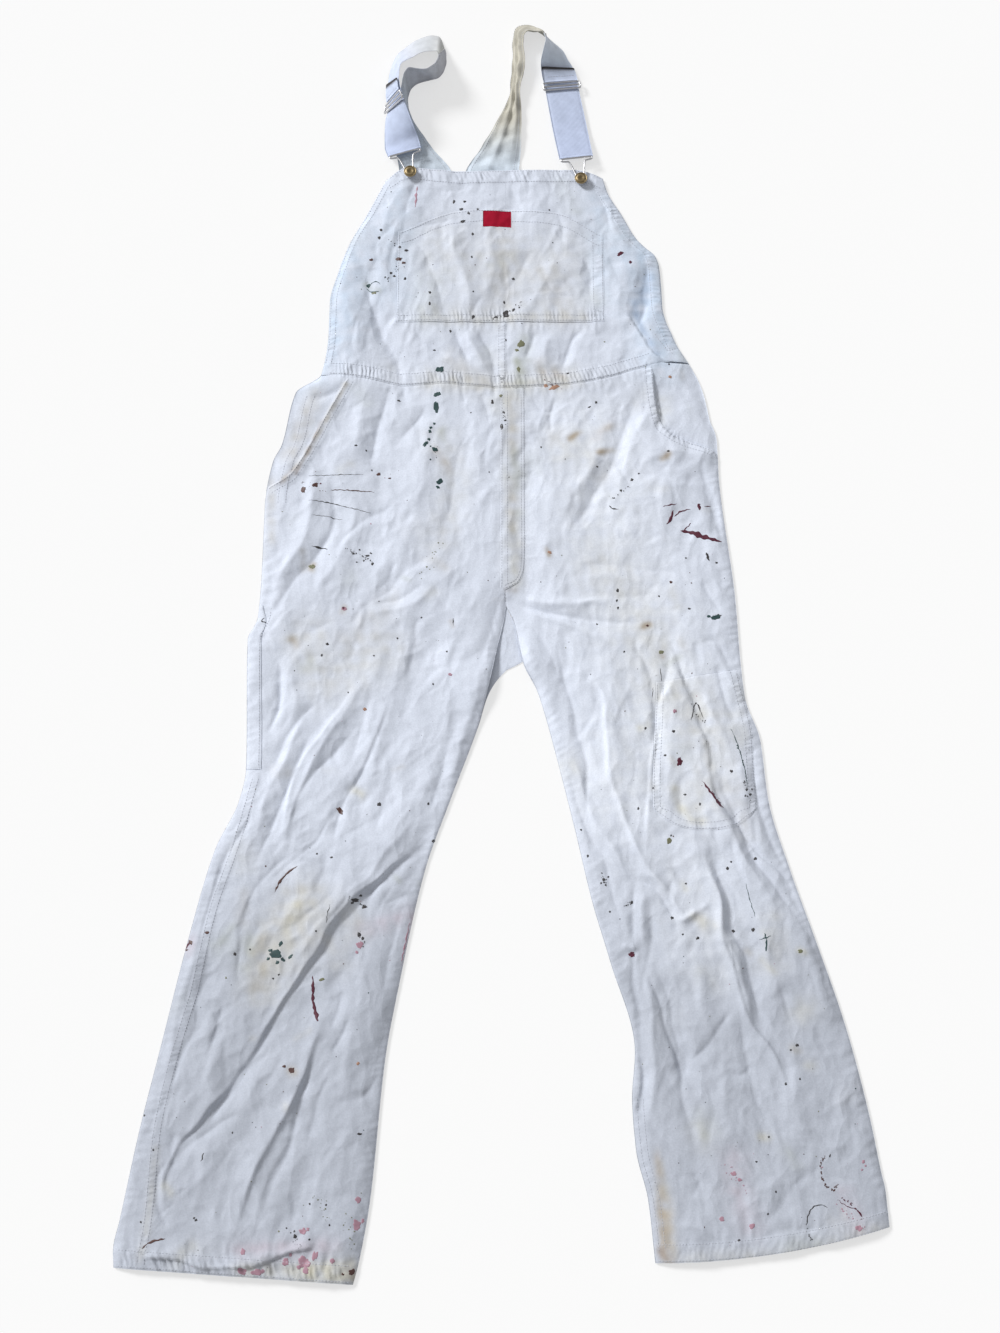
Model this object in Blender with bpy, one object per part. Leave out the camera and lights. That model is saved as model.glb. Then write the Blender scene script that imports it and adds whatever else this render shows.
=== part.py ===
"""Painter's bib overalls laid flat on a table, front up.

Metres, +Z up, +Y towards the straps. The origin is on the table, at the middle of the garment's
outline. Left and right are the viewer's, looking down on the front: left is -X.

The back panels lie flat on the table. The front panels lie on them as thin walls: their height
above the table comes from one field, the loft of the laid cloth plus its largest folds, so that
neighbouring panels meet at their seams and every patch follows the panel that carries it.
"""

import math
from collections import namedtuple

import bmesh
import bpy
import numpy as np
from mathutils import Vector
from mathutils.bvhtree import BVHTree

# ---------------------------------------------------------------- driving sizes

CLOTH = 0.0012  # one layer of cotton drill, with its nap
GAP = 0.0003  # between two pieces that are sewn or laid together
SEAM_TOP = 2 * CLOTH + GAP  # top of the front where it is sewn to the back
LOFT = 0.0055  # how far the laid front stands above its seams
EDGE_ROLL = 0.013  # how quickly it rises from an edge
FOLD_ROLL = 0.012  # folds fade out over this distance from an edge
FINEST_FOLD = 0.013  # the panels' grids can't draw a narrower fold
HEM_STEP = 0.0008  # a turned hem stands this much proud
FACING_DROP = 0.0012  # a pocket facing lies this far below the mouth

CENTRE_X = 0.0045  # centre front seam
CROTCH_Y = -0.013
WEBBING = 0.0016
STRAP_CLOTH = 0.0020
BUTTON_RADIUS = 0.0078
WIRE = 0.0011  # radius of the hook's and slider's wire
SLIDER_REACH = 0.0022  # how far the slider's ends stand outside the webbing
SLIDER_RISE = WEBBING + WIRE + 2 * GAP
# Half the hook's bar and shoulder: place across it, distance from the bar towards the button
HOOK_SHOULDER = ((0.0195, 0.0), (0.0185, 0.0035), (0.0090, 0.0045))
HOOK_RING_DEGREES = (50, 80, 110, 145, 180, 215, 250, 280, 310)  # round the button, from the bar's side
HOOK_RISE = 0.0022

# ---------------------------------------------------------------- outlines: y, x, from straps to hems

OUTER_LEFT = (
    (0.533, -0.141), (0.479, -0.1665), (0.445, -0.184), (0.404, -0.1975), (0.367, -0.206),
    (0.323, -0.2065), (0.271, -0.214), (0.249, -0.243), (0.182, -0.2575), (0.161, -0.267),
    (0.108, -0.2745), (0.023, -0.275), (-0.030, -0.2775), (-0.056, -0.288), (-0.207, -0.284),
    (-0.241, -0.290), (-0.297, -0.3145), (-0.390, -0.338), (-0.512, -0.3635), (-0.594, -0.3805),
    (-0.684, -0.396), (-0.712, -0.401), (-0.731, -0.3995),
)
OUTER_RIGHT = (
    (0.287, 0.2215), (0.264, 0.2325), (0.247, 0.238), (0.230, 0.2415), (0.211, 0.245), (0.198, 0.250),
    (0.185, 0.252), (0.151, 0.2525), (-0.008, 0.2665),
    (-0.080, 0.2695), (-0.126, 0.2735), (-0.172, 0.288), (-0.241, 0.2945), (-0.319, 0.315),
    (-0.395, 0.339), (-0.470, 0.362), (-0.522, 0.375), (-0.584, 0.3875), (-0.638, 0.396),
    (-0.654, 0.399), (-0.693, 0.401),
)
BIB_RIGHT = (
    (0.533, 0.124), (0.513, 0.130), (0.485, 0.1455), (0.4525, 0.1625), (0.439, 0.1745), (0.429, 0.185),
    (0.413, 0.190), (0.378, 0.192), (0.360, 0.1925), (0.342, 0.196), (0.325, 0.2025), (0.3095, 0.2085),
    (0.287, 0.2215),
)
BACK_RIGHT = (
    (0.528, 0.118), (0.485, 0.1440), (0.4525, 0.161), (0.439, 0.173), (0.429, 0.1835), (0.413, 0.1885),
    (0.378, 0.1905), (0.360, 0.191), (0.342, 0.1945), (0.325, 0.201), (0.3095, 0.207), (0.287, 0.2215),
)
CENTRE_SEAM = ((0.30, CENTRE_X),)  # straight down to the crotch
INSEAM_LEFT = (
    (CROTCH_Y, 0.0045), (-0.068, -0.0055), (-0.150, -0.0245), (-0.241, -0.057), (-0.319, -0.084),
    (-0.438, -0.1095), (-0.522, -0.124), (-0.664, -0.137), (-0.7285, -0.148), (-0.7475, -0.153),
)
INSEAM_RIGHT = (
    (CROTCH_Y, 0.0045), (-0.032, 0.013), (-0.085, 0.025), (-0.115, 0.0395), (-0.144, 0.0485),
    (-0.207, 0.0645), (-0.274, 0.0805), (-0.352, 0.098), (-0.417, 0.1165), (-0.512, 0.1415),
    (-0.563, 0.1375), (-0.614, 0.1405), (-0.664, 0.152), (-0.7265, 0.158),
)
# The back crotch shows below the front one: its edge follows the right inseam, then turns to the left one.
BACK_CROTCH = ((-0.090, 0.007), (-0.120, -0.015), (-0.156, -0.026))
MOUTH_LEFT = (
    (0.266, -0.182), (0.227, -0.202), (0.187, -0.222), (0.153, -0.240), (0.141, -0.249), (0.128, -0.272),
)
MOUTH_RIGHT = (
    (0.281, 0.178), (0.240, 0.181), (0.208, 0.187), (0.189, 0.209), (0.183, 0.2255), (0.173, 0.2485),
    (0.165, 0.2525),
)

# Cross seams: x, y, from left to right
BIB_TOP = (
    (-0.141, 0.532), (-0.115, 0.5465), (-0.050, 0.541), (0.020, 0.543), (0.092, 0.543), (0.124, 0.534),
)
WAIST = (
    (-0.214, 0.271), (-0.168, 0.266), (-0.1085, 0.256), (-0.073, 0.258), (0.004, 0.253),
    (0.069, 0.256), (0.116, 0.2635), (0.152, 0.274), (0.178, 0.2815), (0.200, 0.287),
)
POCKET_TOP = (
    (-0.150, 0.452), (-0.127, 0.458), (-0.057, 0.4855), (-0.006, 0.4895), (0.0625, 0.4855),
    (0.124, 0.454), (0.150, 0.448),
)
POCKET_BOTTOM_Y = 0.338
POCKET_LEFT_X = -0.126
POCKET_RIGHT_X = 0.123
LABEL_X = (-0.0227, 0.0114)
LABEL_Y = (0.4855, 0.4640)
LABEL_THICKNESS = 0.0008
LABEL_CLEARANCE = 0.0007  # above the curved pocket under it

# Leg rows: how far down the outer and inner sides each stretch of the grid reaches, and its rows
LegRow = namedtuple("LegRow", "outer inner rows")
LEFT_LEG_ROWS = (
    LegRow(0.266, 0.253, 0), LegRow(0.141, 0.139, 4), LegRow(0.128, 0.123, 1), LegRow(0.000, 0.004, 3),
    LegRow(-0.016, CROTCH_Y, 1), LegRow(-0.207, -0.222, 5), LegRow(-0.731, -0.7475, 12),
)
RIGHT_LEG_ROWS = (
    LegRow(0.281, 0.253, 0), LegRow(0.208, 0.190, 2), LegRow(0.173, 0.140, 3), LegRow(0.160, 0.122, 1),
    LegRow(0.000, 0.004, 3), LegRow(-0.016, CROTCH_Y, 1), LegRow(-0.090, -0.130, 2),
    LegRow(-0.276, -0.276, 4), LegRow(-0.691, -0.7265, 10),
)
# The back's rows, which share the places of the centre seam
BACK_ROWS_LEFT = (
    LegRow(0.2695, 0.253, 0), LegRow(CROTCH_Y, CROTCH_Y, 6), LegRow(-0.082, -0.082, 3),
    LegRow(-0.130, -0.130, 4), LegRow(-0.731, -0.7475, 12),
)
BACK_ROWS_RIGHT = (
    LegRow(0.2855, 0.253, 0), LegRow(CROTCH_Y, CROTCH_Y, 6), LegRow(-0.082, -0.082, 3),
    LegRow(-0.130, -0.130, 2), LegRow(-0.691, -0.7265, 12),
)
BACK_SHARED_Y = (CROTCH_Y, -0.036, -0.059, -0.082)
LEFT_FACING_ROWS = 5  # the rows of each leg that end at its pocket mouth
RIGHT_FACING_ROWS = 6
FACING_COLUMNS = 4
# How many grid columns each leg has from the outer edge inwards: the tool pocket's strip or inset,
# the pocket, the panel and the fly's lap
LEFT_LEG_COLUMNS = (1, 17, 1)
RIGHT_LEG_COLUMNS = (1, 6, 11, 1)
BACK_COLUMNS = (4,)
TOOL_ROWS_LEFT = slice(9, 15)
TOOL_ROWS_RIGHT = slice(12, 17)
TOOL_COLUMNS = slice(1, 8)
TOOL_MIDDLE_COLUMN = 4
TOOL_HALF_COLUMNS = 3
WAIST_BEND_ROWS = 4  # a leg's first rows, which bend to the waist seam
FLY_ROWS = slice(0, 9)
RIGHT_HEM_SAG = 0.009
# The bib's grid: columns from edge to pocket, seam, pocket and edge; rows above, in and below the pocket
BIB_COLUMNS = (4, 7, 7, 4)
BIB_ROWS = (2, 5, 4)
POCKET_ROWS = slice(2, 8)
POCKET_COLUMNS = slice(4, 19)
SEAM_COLUMN = 11
YOKE_HEIGHTS = (0.5265, 0.43, 0.29)  # the high back's top, its armhole and the waist
YOKE_ROWS = (3, 4)
FLY_LEFT = 0.0065  # the placket's reach to each side of the centre seam
FLY_RIGHT = 0.023
# The left tool pocket wraps to the front by this much: y, inset
TOOL_STRIP = ((0.281, 0.0165), (-0.016, 0.0040), (-0.056, 0.0155), (-0.207, 0.0170), (-0.731, 0.0165))
# Side edges of the right tool pocket: y, x
TOOL_LEFT = (
    (0.281, 0.092), (-0.016, 0.150), (-0.100, 0.1725), (-0.250, 0.1655), (-0.400, 0.210), (-0.691, 0.262),
)
TOOL_INSET = (
    (0.281, 0.018), (-0.016, 0.010), (-0.092, 0.005), (-0.250, 0.015), (-0.400, 0.022), (-0.691, 0.024),
)
TOOL_ROUND = 0.026  # how far its bottom corners are rounded up

# ---------------------------------------------------------------- folds

# rise is the fold's height, negative for a trough. The reaches are how far it spreads to the
# viewer's left and right of a path that runs towards the hems.
Fold = namedtuple("Fold", "name rise left right path")
FOLDS = (
    Fold("bib left trough", -0.0057, 0.009, 0.012, ((-0.171, 0.422), (-0.108, 0.220))),
    Fold("bib left swell", 0.0041, 0.014, 0.014, ((-0.189, 0.384), (-0.166, 0.295))),
    Fold("pocket left trough", -0.0041, 0.008, 0.007, ((-0.121, 0.468), (-0.083, 0.404), (-0.056, 0.323))),
    Fold("pocket left ridge", 0.0047, 0.007, 0.010, ((-0.065, 0.468), (-0.037, 0.344))),
    Fold("pocket middle trough", -0.0038, 0.009, 0.009, ((0.032, 0.430), (0.006, 0.378), (0.002, 0.347))),
    Fold("pocket right trough", -0.0038, 0.008, 0.006, ((0.090, 0.443), (0.111, 0.358))),
    Fold("below pocket, centre", -0.0043, 0.005, 0.006, ((-0.025, 0.330), (-0.007, 0.238))),
    Fold("below pocket, right", -0.0041, 0.007, 0.006, ((0.097, 0.331), (0.081, 0.312), (0.072, 0.276))),
    Fold("bib armhole hollow", -0.0050, 0.010, 0.006, ((0.176, 0.402), (0.171, 0.372), (0.163, 0.345))),
    Fold("bib side crease", 0.0041, 0.014, 0.005, ((0.146, 0.348), (0.162, 0.320), (0.178, 0.294))),
    Fold("bib right swell", 0.0041, 0.012, 0.012, ((0.146, 0.422), (0.136, 0.318))),
    Fold("hip left trough", -0.0054, 0.008, 0.011, ((-0.132, 0.253), (-0.155, 0.149))),
    Fold("hip left inner trough", -0.0041, 0.009, 0.010, ((-0.040, 0.199), (-0.071, 0.065))),
    Fold("side trough", -0.0057, 0.009, 0.009, ((-0.193, 0.141), (-0.198, 0.072), (-0.268, -0.030))),
    Fold("side ridge", 0.0061, 0.009, 0.012, ((-0.214, 0.151), (-0.226, 0.065), (-0.265, -0.003))),
    Fold("thigh left nick", -0.0049, 0.005, 0.006, ((-0.255, -0.082), (-0.248, -0.108), (-0.256, -0.156))),
    Fold("thigh left ridge", 0.0049, 0.006, 0.008, ((-0.219, -0.145), (-0.268, -0.281))),
    Fold("thigh left trough", -0.0049, 0.006, 0.006, ((-0.213, -0.167), (-0.269, -0.314))),
    Fold(
        "thigh left long ridge", 0.0061, 0.007, 0.008, ((-0.146, -0.094), (-0.223, -0.232), (-0.242, -0.299)),
    ),
    Fold(
        "thigh left long trough", -0.0049, 0.007, 0.009,
        ((-0.162, -0.152), (-0.225, -0.241), (-0.231, -0.281)),
    ),
    Fold("knee left trough", -0.0057, 0.007, 0.013, ((-0.059, -0.259), (-0.151, -0.352), (-0.231, -0.463))),
    Fold("knee left ridge", 0.0061, 0.014, 0.007, ((-0.085, -0.254), (-0.139, -0.303), (-0.250, -0.448))),
    Fold("shin left trough", -0.0057, 0.008, 0.010, ((-0.231, -0.463), (-0.285, -0.551), (-0.354, -0.628))),
    Fold("shin left hook", -0.0041, 0.004, 0.006, ((-0.354, -0.628), (-0.360, -0.662), (-0.340, -0.690))),
    Fold(
        "shin left ridge", 0.0075, 0.013, 0.008,
        ((-0.190, -0.472), (-0.210, -0.536), (-0.251, -0.622), (-0.279, -0.704)),
    ),
    Fold("shin left shade", -0.0047, 0.004, 0.010, ((-0.188, -0.514), (-0.245, -0.690))),
    Fold("hip right trough", -0.0057, 0.008, 0.010, ((0.161, 0.245), (0.126, 0.154), (0.079, 0.067))),
    Fold("hip right ridge", 0.0043, 0.010, 0.009, ((0.123, 0.202), (0.067, 0.089))),
    Fold("hip right outer ridge", 0.0041, 0.008, 0.012, ((0.173, 0.235), (0.140, 0.139))),
    Fold("mouth right trough", -0.0047, 0.006, 0.006, ((0.180, 0.261), (0.187, 0.238), (0.183, 0.189))),
    Fold(
        "mouth right swell", 0.0041, 0.009, 0.009,
        ((0.161, 0.154), (0.190, 0.174), (0.220, 0.169), (0.245, 0.151)),
    ),
    Fold("hip right side", -0.0043, 0.006, 0.005, ((0.232, 0.161), (0.260, 0.050))),
    Fold("inseam right roll", 0.0041, 0.005, 0.008, ((0.018, -0.039), (0.067, -0.182))),
    Fold("inseam right trough", -0.0054, 0.006, 0.009, ((0.057, -0.049), (0.089, -0.186), (0.101, -0.294))),
    Fold("thigh right trough", -0.0041, 0.006, 0.008, ((0.152, -0.056), (0.169, -0.131), (0.170, -0.186))),
    Fold("tool pocket edge", -0.0054, 0.005, 0.007, ((0.189, -0.056), (0.161, -0.254))),
    Fold("tool pocket crease", -0.0043, 0.006, 0.006, ((0.193, -0.070), (0.243, -0.186))),
    Fold("tool pocket ridge", 0.0038, 0.006, 0.008, ((0.212, -0.094), (0.252, -0.191))),
    Fold("outer crease", -0.0057, 0.006, 0.006, ((0.245, -0.191), (0.252, -0.254), (0.323, -0.378))),
    Fold("outer crease ridge", 0.0051, 0.009, 0.005, ((0.232, -0.198), (0.238, -0.259), (0.290, -0.349))),
    Fold("under layer", -0.0041, 0.006, 0.006, ((0.067, -0.207), (0.112, -0.319), (0.132, -0.395))),
    Fold("inseam long crease", -0.0041, 0.003, 0.005, ((0.139, -0.408), (0.148, -0.528), (0.137, -0.600))),
    Fold("shin right trough", -0.0054, 0.007, 0.009, ((0.170, -0.425), (0.203, -0.553))),
    Fold("shin right swell", 0.0038, 0.012, 0.012, ((0.203, -0.406), (0.224, -0.512))),
    Fold("shin right ridge", 0.0062, 0.009, 0.004, ((0.218, -0.283), (0.273, -0.506))),
    Fold(
        "shin right soft trough", -0.0046, 0.009, 0.009,
        ((0.207, -0.507), (0.193, -0.534), (0.190, -0.563), (0.206, -0.612)),
    ),
    Fold("shin right outer trough", -0.0038, 0.007, 0.008, ((0.253, -0.459), (0.278, -0.594))),
)
# The front's edge stands up here instead of lying on the back: x, y, reach, rise
LIFTS = ((-0.016, -0.108, 0.034, 0.007), (0.030, -0.085, 0.028, 0.004))

# Straps: the two edges, left and right of the strap's run from the back over to its hook. The
# sliders and tails are placed by their shares of that run.
StrapRow = namedtuple("StrapRow", "left_x left_y left_z right_x right_y right_z")
LEFT_STRAP = (
    StrapRow(-0.1250, 0.5290, 0.000, -0.0560, 0.5290, 0.000),
    StrapRow(-0.1260, 0.5480, 0.000, -0.0630, 0.5480, 0.000),
    StrapRow(-0.1310, 0.5755, 0.000, -0.0840, 0.5755, 0.000),
    StrapRow(-0.1360, 0.5980, 0.001, -0.0985, 0.5980, 0.000),
    StrapRow(-0.1370, 0.6210, 0.003, -0.1105, 0.6190, 0.000),
    StrapRow(-0.1290, 0.6370, 0.015, -0.1155, 0.6350, 0.000),
    StrapRow(-0.1215, 0.6480, 0.034, -0.1165, 0.6480, 0.000),
    StrapRow(-0.1190, 0.6580, 0.041, -0.1145, 0.6590, 0.000),
    StrapRow(-0.1130, 0.6650, 0.041, -0.1070, 0.6675, 0.000),
    StrapRow(-0.1037, 0.6644, 0.040, -0.0944, 0.6732, 0.000),
    StrapRow(-0.0927, 0.6643, 0.039, -0.0832, 0.6761, 0.000),
    StrapRow(-0.0858, 0.6684, 0.039, -0.0763, 0.6811, 0.000),
    StrapRow(-0.0812, 0.6743, 0.038, -0.0708, 0.6883, 0.000),
    StrapRow(-0.0789, 0.6816, 0.036, -0.0696, 0.7005, 0.000),
    StrapRow(-0.0780, 0.6874, 0.033, -0.0702, 0.7121, 0.000),
    StrapRow(-0.0787, 0.6947, 0.027, -0.0736, 0.7266, 0.000),
    StrapRow(-0.0810, 0.7010, 0.022, -0.0790, 0.7375, 0.000),
    StrapRow(-0.0860, 0.7025, 0.020, -0.0880, 0.7390, 0.000),
    StrapRow(-0.0938, 0.7005, 0.022, -0.0991, 0.7357, 0.000),
    StrapRow(-0.1019, 0.6963, 0.024, -0.1102, 0.7300, 0.000),
    StrapRow(-0.1098, 0.6897, 0.026, -0.1213, 0.7204, 0.000),
    StrapRow(-0.1180, 0.6831, 0.029, -0.1309, 0.7107, 0.000),
    StrapRow(-0.1245, 0.6736, 0.034, -0.1370, 0.6948, 0.001),
    StrapRow(-0.1260, 0.6560, 0.036, -0.1412, 0.6700, 0.003),
    StrapRow(-0.1248, 0.6440, 0.038, -0.1415, 0.6510, 0.004),
    StrapRow(-0.1217, 0.6305, 0.038, -0.1398, 0.6318, 0.004),
    StrapRow(-0.1156, 0.6137, 0.033, -0.1433, 0.6148, 0.004),
    StrapRow(-0.1085, 0.5970, 0.024, -0.1442, 0.5940, 0.003),
    StrapRow(-0.1025, 0.5850, 0.013, -0.1438, 0.5770, 0.003),
    StrapRow(-0.0990, 0.5725, 0.010, -0.1395, 0.5605, 0.009),
)
LEFT_JOIN = 0.500  # where the cloth is sewn to the webbing, as a share of the strap's rows
LEFT_SLIDER = (0.855, 0.878)
LEFT_TAIL = (0.803, 0.848)
RIGHT_CLOTH = (
    StrapRow(-0.0460, 0.5290, 0.000, 0.0220, 0.5290, 0.000),
    StrapRow(-0.0438, 0.5460, 0.000, 0.0213, 0.5450, 0.000),
    StrapRow(-0.0242, 0.5795, 0.000, 0.0240, 0.5785, 0.003),
    StrapRow(-0.0045, 0.6190, 0.000, 0.0247, 0.6160, 0.005),
    StrapRow(0.0105, 0.6530, 0.000, 0.0226, 0.6500, 0.009),
    StrapRow(0.0130, 0.6750, 0.000, 0.0255, 0.6710, 0.012),
    StrapRow(0.0143, 0.7030, 0.000, 0.0290, 0.6960, 0.014),
    StrapRow(0.0150, 0.7280, 0.000, 0.0272, 0.7170, 0.015),
    StrapRow(0.0160, 0.7430, 0.000, 0.0272, 0.7250, 0.017),
    StrapRow(0.0210, 0.7500, 0.000, 0.0295, 0.7290, 0.019),
    StrapRow(0.0290, 0.7510, 0.000, 0.0335, 0.7310, 0.021),
    StrapRow(0.0380, 0.7500, 0.000, 0.0400, 0.7295, 0.023),
    StrapRow(0.0475, 0.7440, 0.000, 0.0470, 0.7260, 0.026),
    StrapRow(0.0560, 0.7360, 0.000, 0.0510, 0.7235, 0.029),
)
RIGHT_WEBBING = (
    StrapRow(0.0575, 0.7340, 0.000, 0.0522, 0.7210, 0.031),
    StrapRow(0.0684, 0.7252, 0.000, 0.0545, 0.7100, 0.034),
    StrapRow(0.0771, 0.7165, 0.000, 0.0515, 0.6985, 0.028),
    StrapRow(0.0832, 0.7034, 0.000, 0.0489, 0.6890, 0.020),
    StrapRow(0.0885, 0.6935, 0.000, 0.0488, 0.6862, 0.014),
    StrapRow(0.0925, 0.6810, 0.001, 0.0508, 0.6745, 0.007),
    StrapRow(0.0950, 0.6680, 0.003, 0.0535, 0.6640, 0.004),
    StrapRow(0.0965, 0.6560, 0.004, 0.0553, 0.6520, 0.004),
    StrapRow(0.1045, 0.6100, 0.004, 0.0624, 0.6065, 0.004),
    StrapRow(0.1119, 0.5620, 0.009, 0.0708, 0.5570, 0.009),
)
RIGHT_SLIDER = (0.660, 0.760)
RIGHT_TAIL = (0.470, 0.640)
# The right cloth strap is crumpled lengthwise: place across it, height
CRUMPLE = ((-1, 0.0), (-0.5, 0.0010), (-0.1, 0.0045), (0.2, 0.0010), (0.6, 0.0040), (1, 0.0))
FLAT = ((-1, 0.0), (1, 0.0))
CRUMPLE_FADE = (0.15, math.pi - 0.4)  # the part of a sine by which it fades in and out along the run
CRUMPLE_COLUMNS = 8
WEBBING_COLUMNS = 5
# The webbing's pieces: their stretch of a strap's run, their grid rows, how many layers they stand
# for, and how far they stand off the run
Webbing = namedtuple("Webbing", "name run start end rows layers stand_off")
WEBBING_LAYERS = (
    Webbing("upper_left", LEFT_STRAP, LEFT_JOIN + 0.004, LEFT_SLIDER[1], 18, 1, 0.0),
    Webbing("front_left", LEFT_STRAP, LEFT_SLIDER[1] + 0.004, 1.0, 7, 2, 0.0),
    Webbing("tail_left", LEFT_STRAP, *LEFT_TAIL, 4, 1, 2 * WEBBING),
    Webbing("upper_right", RIGHT_WEBBING, 0.01, RIGHT_SLIDER[1], 12, 1, 0.0),
    Webbing("front_right", RIGHT_WEBBING, RIGHT_SLIDER[1] + 0.015, 1.0, 5, 2, 0.0),
    Webbing("tail_right", RIGHT_WEBBING, *RIGHT_TAIL, 4, 1, 2 * WEBBING),
)
BUTTONS = {"left": (-0.1115, 0.5370), "right": (0.0967, 0.5278)}
# A button's profile: shares of its radius, heights above its foot
BUTTON_PROFILE = (
    (0.0, 0.0), (0.35, 0.0), (0.35, 0.0040), (0.9, 0.0040), (1.0, 0.0048), (0.93, 0.0060), (0.7, 0.0063),
    (0.55, 0.0058), (0.0, 0.0064),
)

# ---------------------------------------------------------------- helpers


def smooth(table, at):
    """Reads a table of (place, value) rows at any places, on a curve that never overshoots its rows."""
    rows = sorted(table)
    place = np.array([row[0] for row in rows])
    value = np.array([row[1] for row in rows])
    step = np.diff(place)
    slope = np.diff(value) / step
    tangent = np.zeros(len(rows))
    tangent[0], tangent[-1] = slope[0], slope[-1]
    same = slope[:-1] * slope[1:] > 0
    mean = 2 * slope[:-1] * slope[1:] / np.where(same, slope[:-1] + slope[1:], 1)
    tangent[1:-1] = np.where(same, mean, 0)
    at = np.clip(np.asarray(at, float), place[0], place[-1])
    k = np.clip(np.searchsorted(place, at) - 1, 0, len(step) - 1)
    t = (at - place[k]) / step[k]
    h00, h10 = 2 * t**3 - 3 * t**2 + 1, t**3 - 2 * t**2 + t
    h01, h11 = 3 * t**2 - 2 * t**3, t**3 - t**2
    ends = h00 * value[k] + h01 * value[k + 1]
    return ends + step[k] * (h10 * tangent[k] + h11 * tangent[k + 1])


def join_tables(*tables):
    """One table out of several that follow each other, with the first one's row kept where two meet."""
    rows = {}
    for table in tables:
        for place, value in table:
            rows.setdefault(place, value)
    return tuple(rows.items())


def spread(knots, counts):
    """Places from knot to knot, with the given number of equal steps in each stretch."""
    pieces = [np.array([knots[0]])]
    for start, end, count in zip(knots[:-1], knots[1:], counts):
        pieces.append(start + (end - start) * np.arange(1, count + 1) / count)
    return np.concatenate(pieces)


def edge_distance(x, y):
    """How far a point of the laid garment is from the nearest side edge or inseam."""
    left = x - smooth(OUTER_LEFT, y)
    right = smooth(join_tables(BIB_RIGHT, OUTER_RIGHT), y) - x
    crotch = np.hypot(x - CENTRE_X, y - CROTCH_Y)
    inner = np.where(x < CENTRE_X, smooth(INSEAM_LEFT, y) - x, x - smooth(INSEAM_RIGHT, y))
    inner = np.where(y < CROTCH_Y, inner, crotch)
    return np.maximum(np.minimum(np.minimum(left, right), inner), 0)


def fold_shape(fold, x, y):
    """A fold's height at each point: its rise on the path, falling off to each side and to its ends."""
    path = np.array(fold.path)
    lengths = np.linalg.norm(np.diff(path, axis=0), axis=1)
    total = lengths.sum()
    nearest = np.full(x.shape, np.inf)
    shape = np.zeros(x.shape)
    walked = 0.0
    for start, end, length in zip(path[:-1], path[1:], lengths):
        along = (end - start) / length
        dx, dy = x - start[0], y - start[1]
        t = np.clip(dx * along[0] + dy * along[1], 0, length)
        off_x, off_y = dx - t * along[0], dy - t * along[1]
        off = np.hypot(off_x, off_y)
        side = along[0] * dy - along[1] * dx
        reach = np.maximum(np.where(side > 0, fold.right, fold.left), FINEST_FOLD)
        taper = 0.3 + 0.7 * np.sin(math.pi * (walked + t) / total)
        here = fold.rise * taper * np.exp(-((off / reach) ** 2))
        shape = np.where(off < nearest, here, shape)
        nearest = np.minimum(off, nearest)
        walked += length
    return shape


def cloth_top(x, y):
    """Height of the front's upper side above the table."""
    away = edge_distance(x, y)
    top = SEAM_TOP + LOFT * (1 - np.exp(-away / EDGE_ROLL))
    folds = sum(fold_shape(fold, x, y) for fold in FOLDS)
    top = top + folds * (1 - np.exp(-((away / FOLD_ROLL) ** 2)))
    for lift_x, lift_y, reach, rise in LIFTS:
        top = top + rise * np.exp(-(((x - lift_x) / reach) ** 2) - ((y - lift_y) / reach) ** 2)
    return np.maximum(top, SEAM_TOP)


def steepness(x, y):
    """How much longer the cloth is than its plan, so that a wall keeps its thickness on a slope."""
    d = 0.004
    slope_x = (cloth_top(x + d, y) - cloth_top(x - d, y)) / (2 * d)
    slope_y = (cloth_top(x, y + d) - cloth_top(x, y - d)) / (2 * d)
    return np.sqrt(1 + slope_x**2 + slope_y**2)


# ---------------------------------------------------------------- meshes


def material(name, colour, roughness, metallic=0.0):
    """A plain Principled material, made once for each name."""
    found = bpy.data.materials.get(name)
    if found:
        return found
    made = bpy.data.materials.new(name)
    made.use_nodes = True
    shader = made.node_tree.nodes["Principled BSDF"]
    shader.inputs["Base Color"].default_value = (*colour, 1.0)
    shader.inputs["Roughness"].default_value = roughness
    shader.inputs["Metallic"].default_value = metallic
    return made


def drill(name):
    return material("drill_" + name, (0.66, 0.68, 0.72), 0.85)


def stained_drill(name):
    return material("stained_drill_" + name, (0.62, 0.61, 0.55), 0.85)


def webbing(name):
    return material("webbing_" + name, (0.56, 0.58, 0.70), 0.6)


def wire(name):
    return material("wire_" + name, (0.55, 0.55, 0.56), 0.3, 1.0)


def brass(name):
    return material("brass_" + name, (0.36, 0.27, 0.15), 0.4, 1.0)


def add_object(name, mesh_data, finish, parent):
    """Links a bmesh as a named object under the layout's empty."""
    bmesh.ops.recalc_face_normals(mesh_data, faces=mesh_data.faces)
    mesh = bpy.data.meshes.new(name)
    mesh_data.to_mesh(mesh)
    mesh_data.free()
    mesh.materials.append(finish)
    obj = bpy.data.objects.new(name, mesh)
    bpy.context.scene.collection.objects.link(obj)
    obj.parent = parent
    return obj


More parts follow.
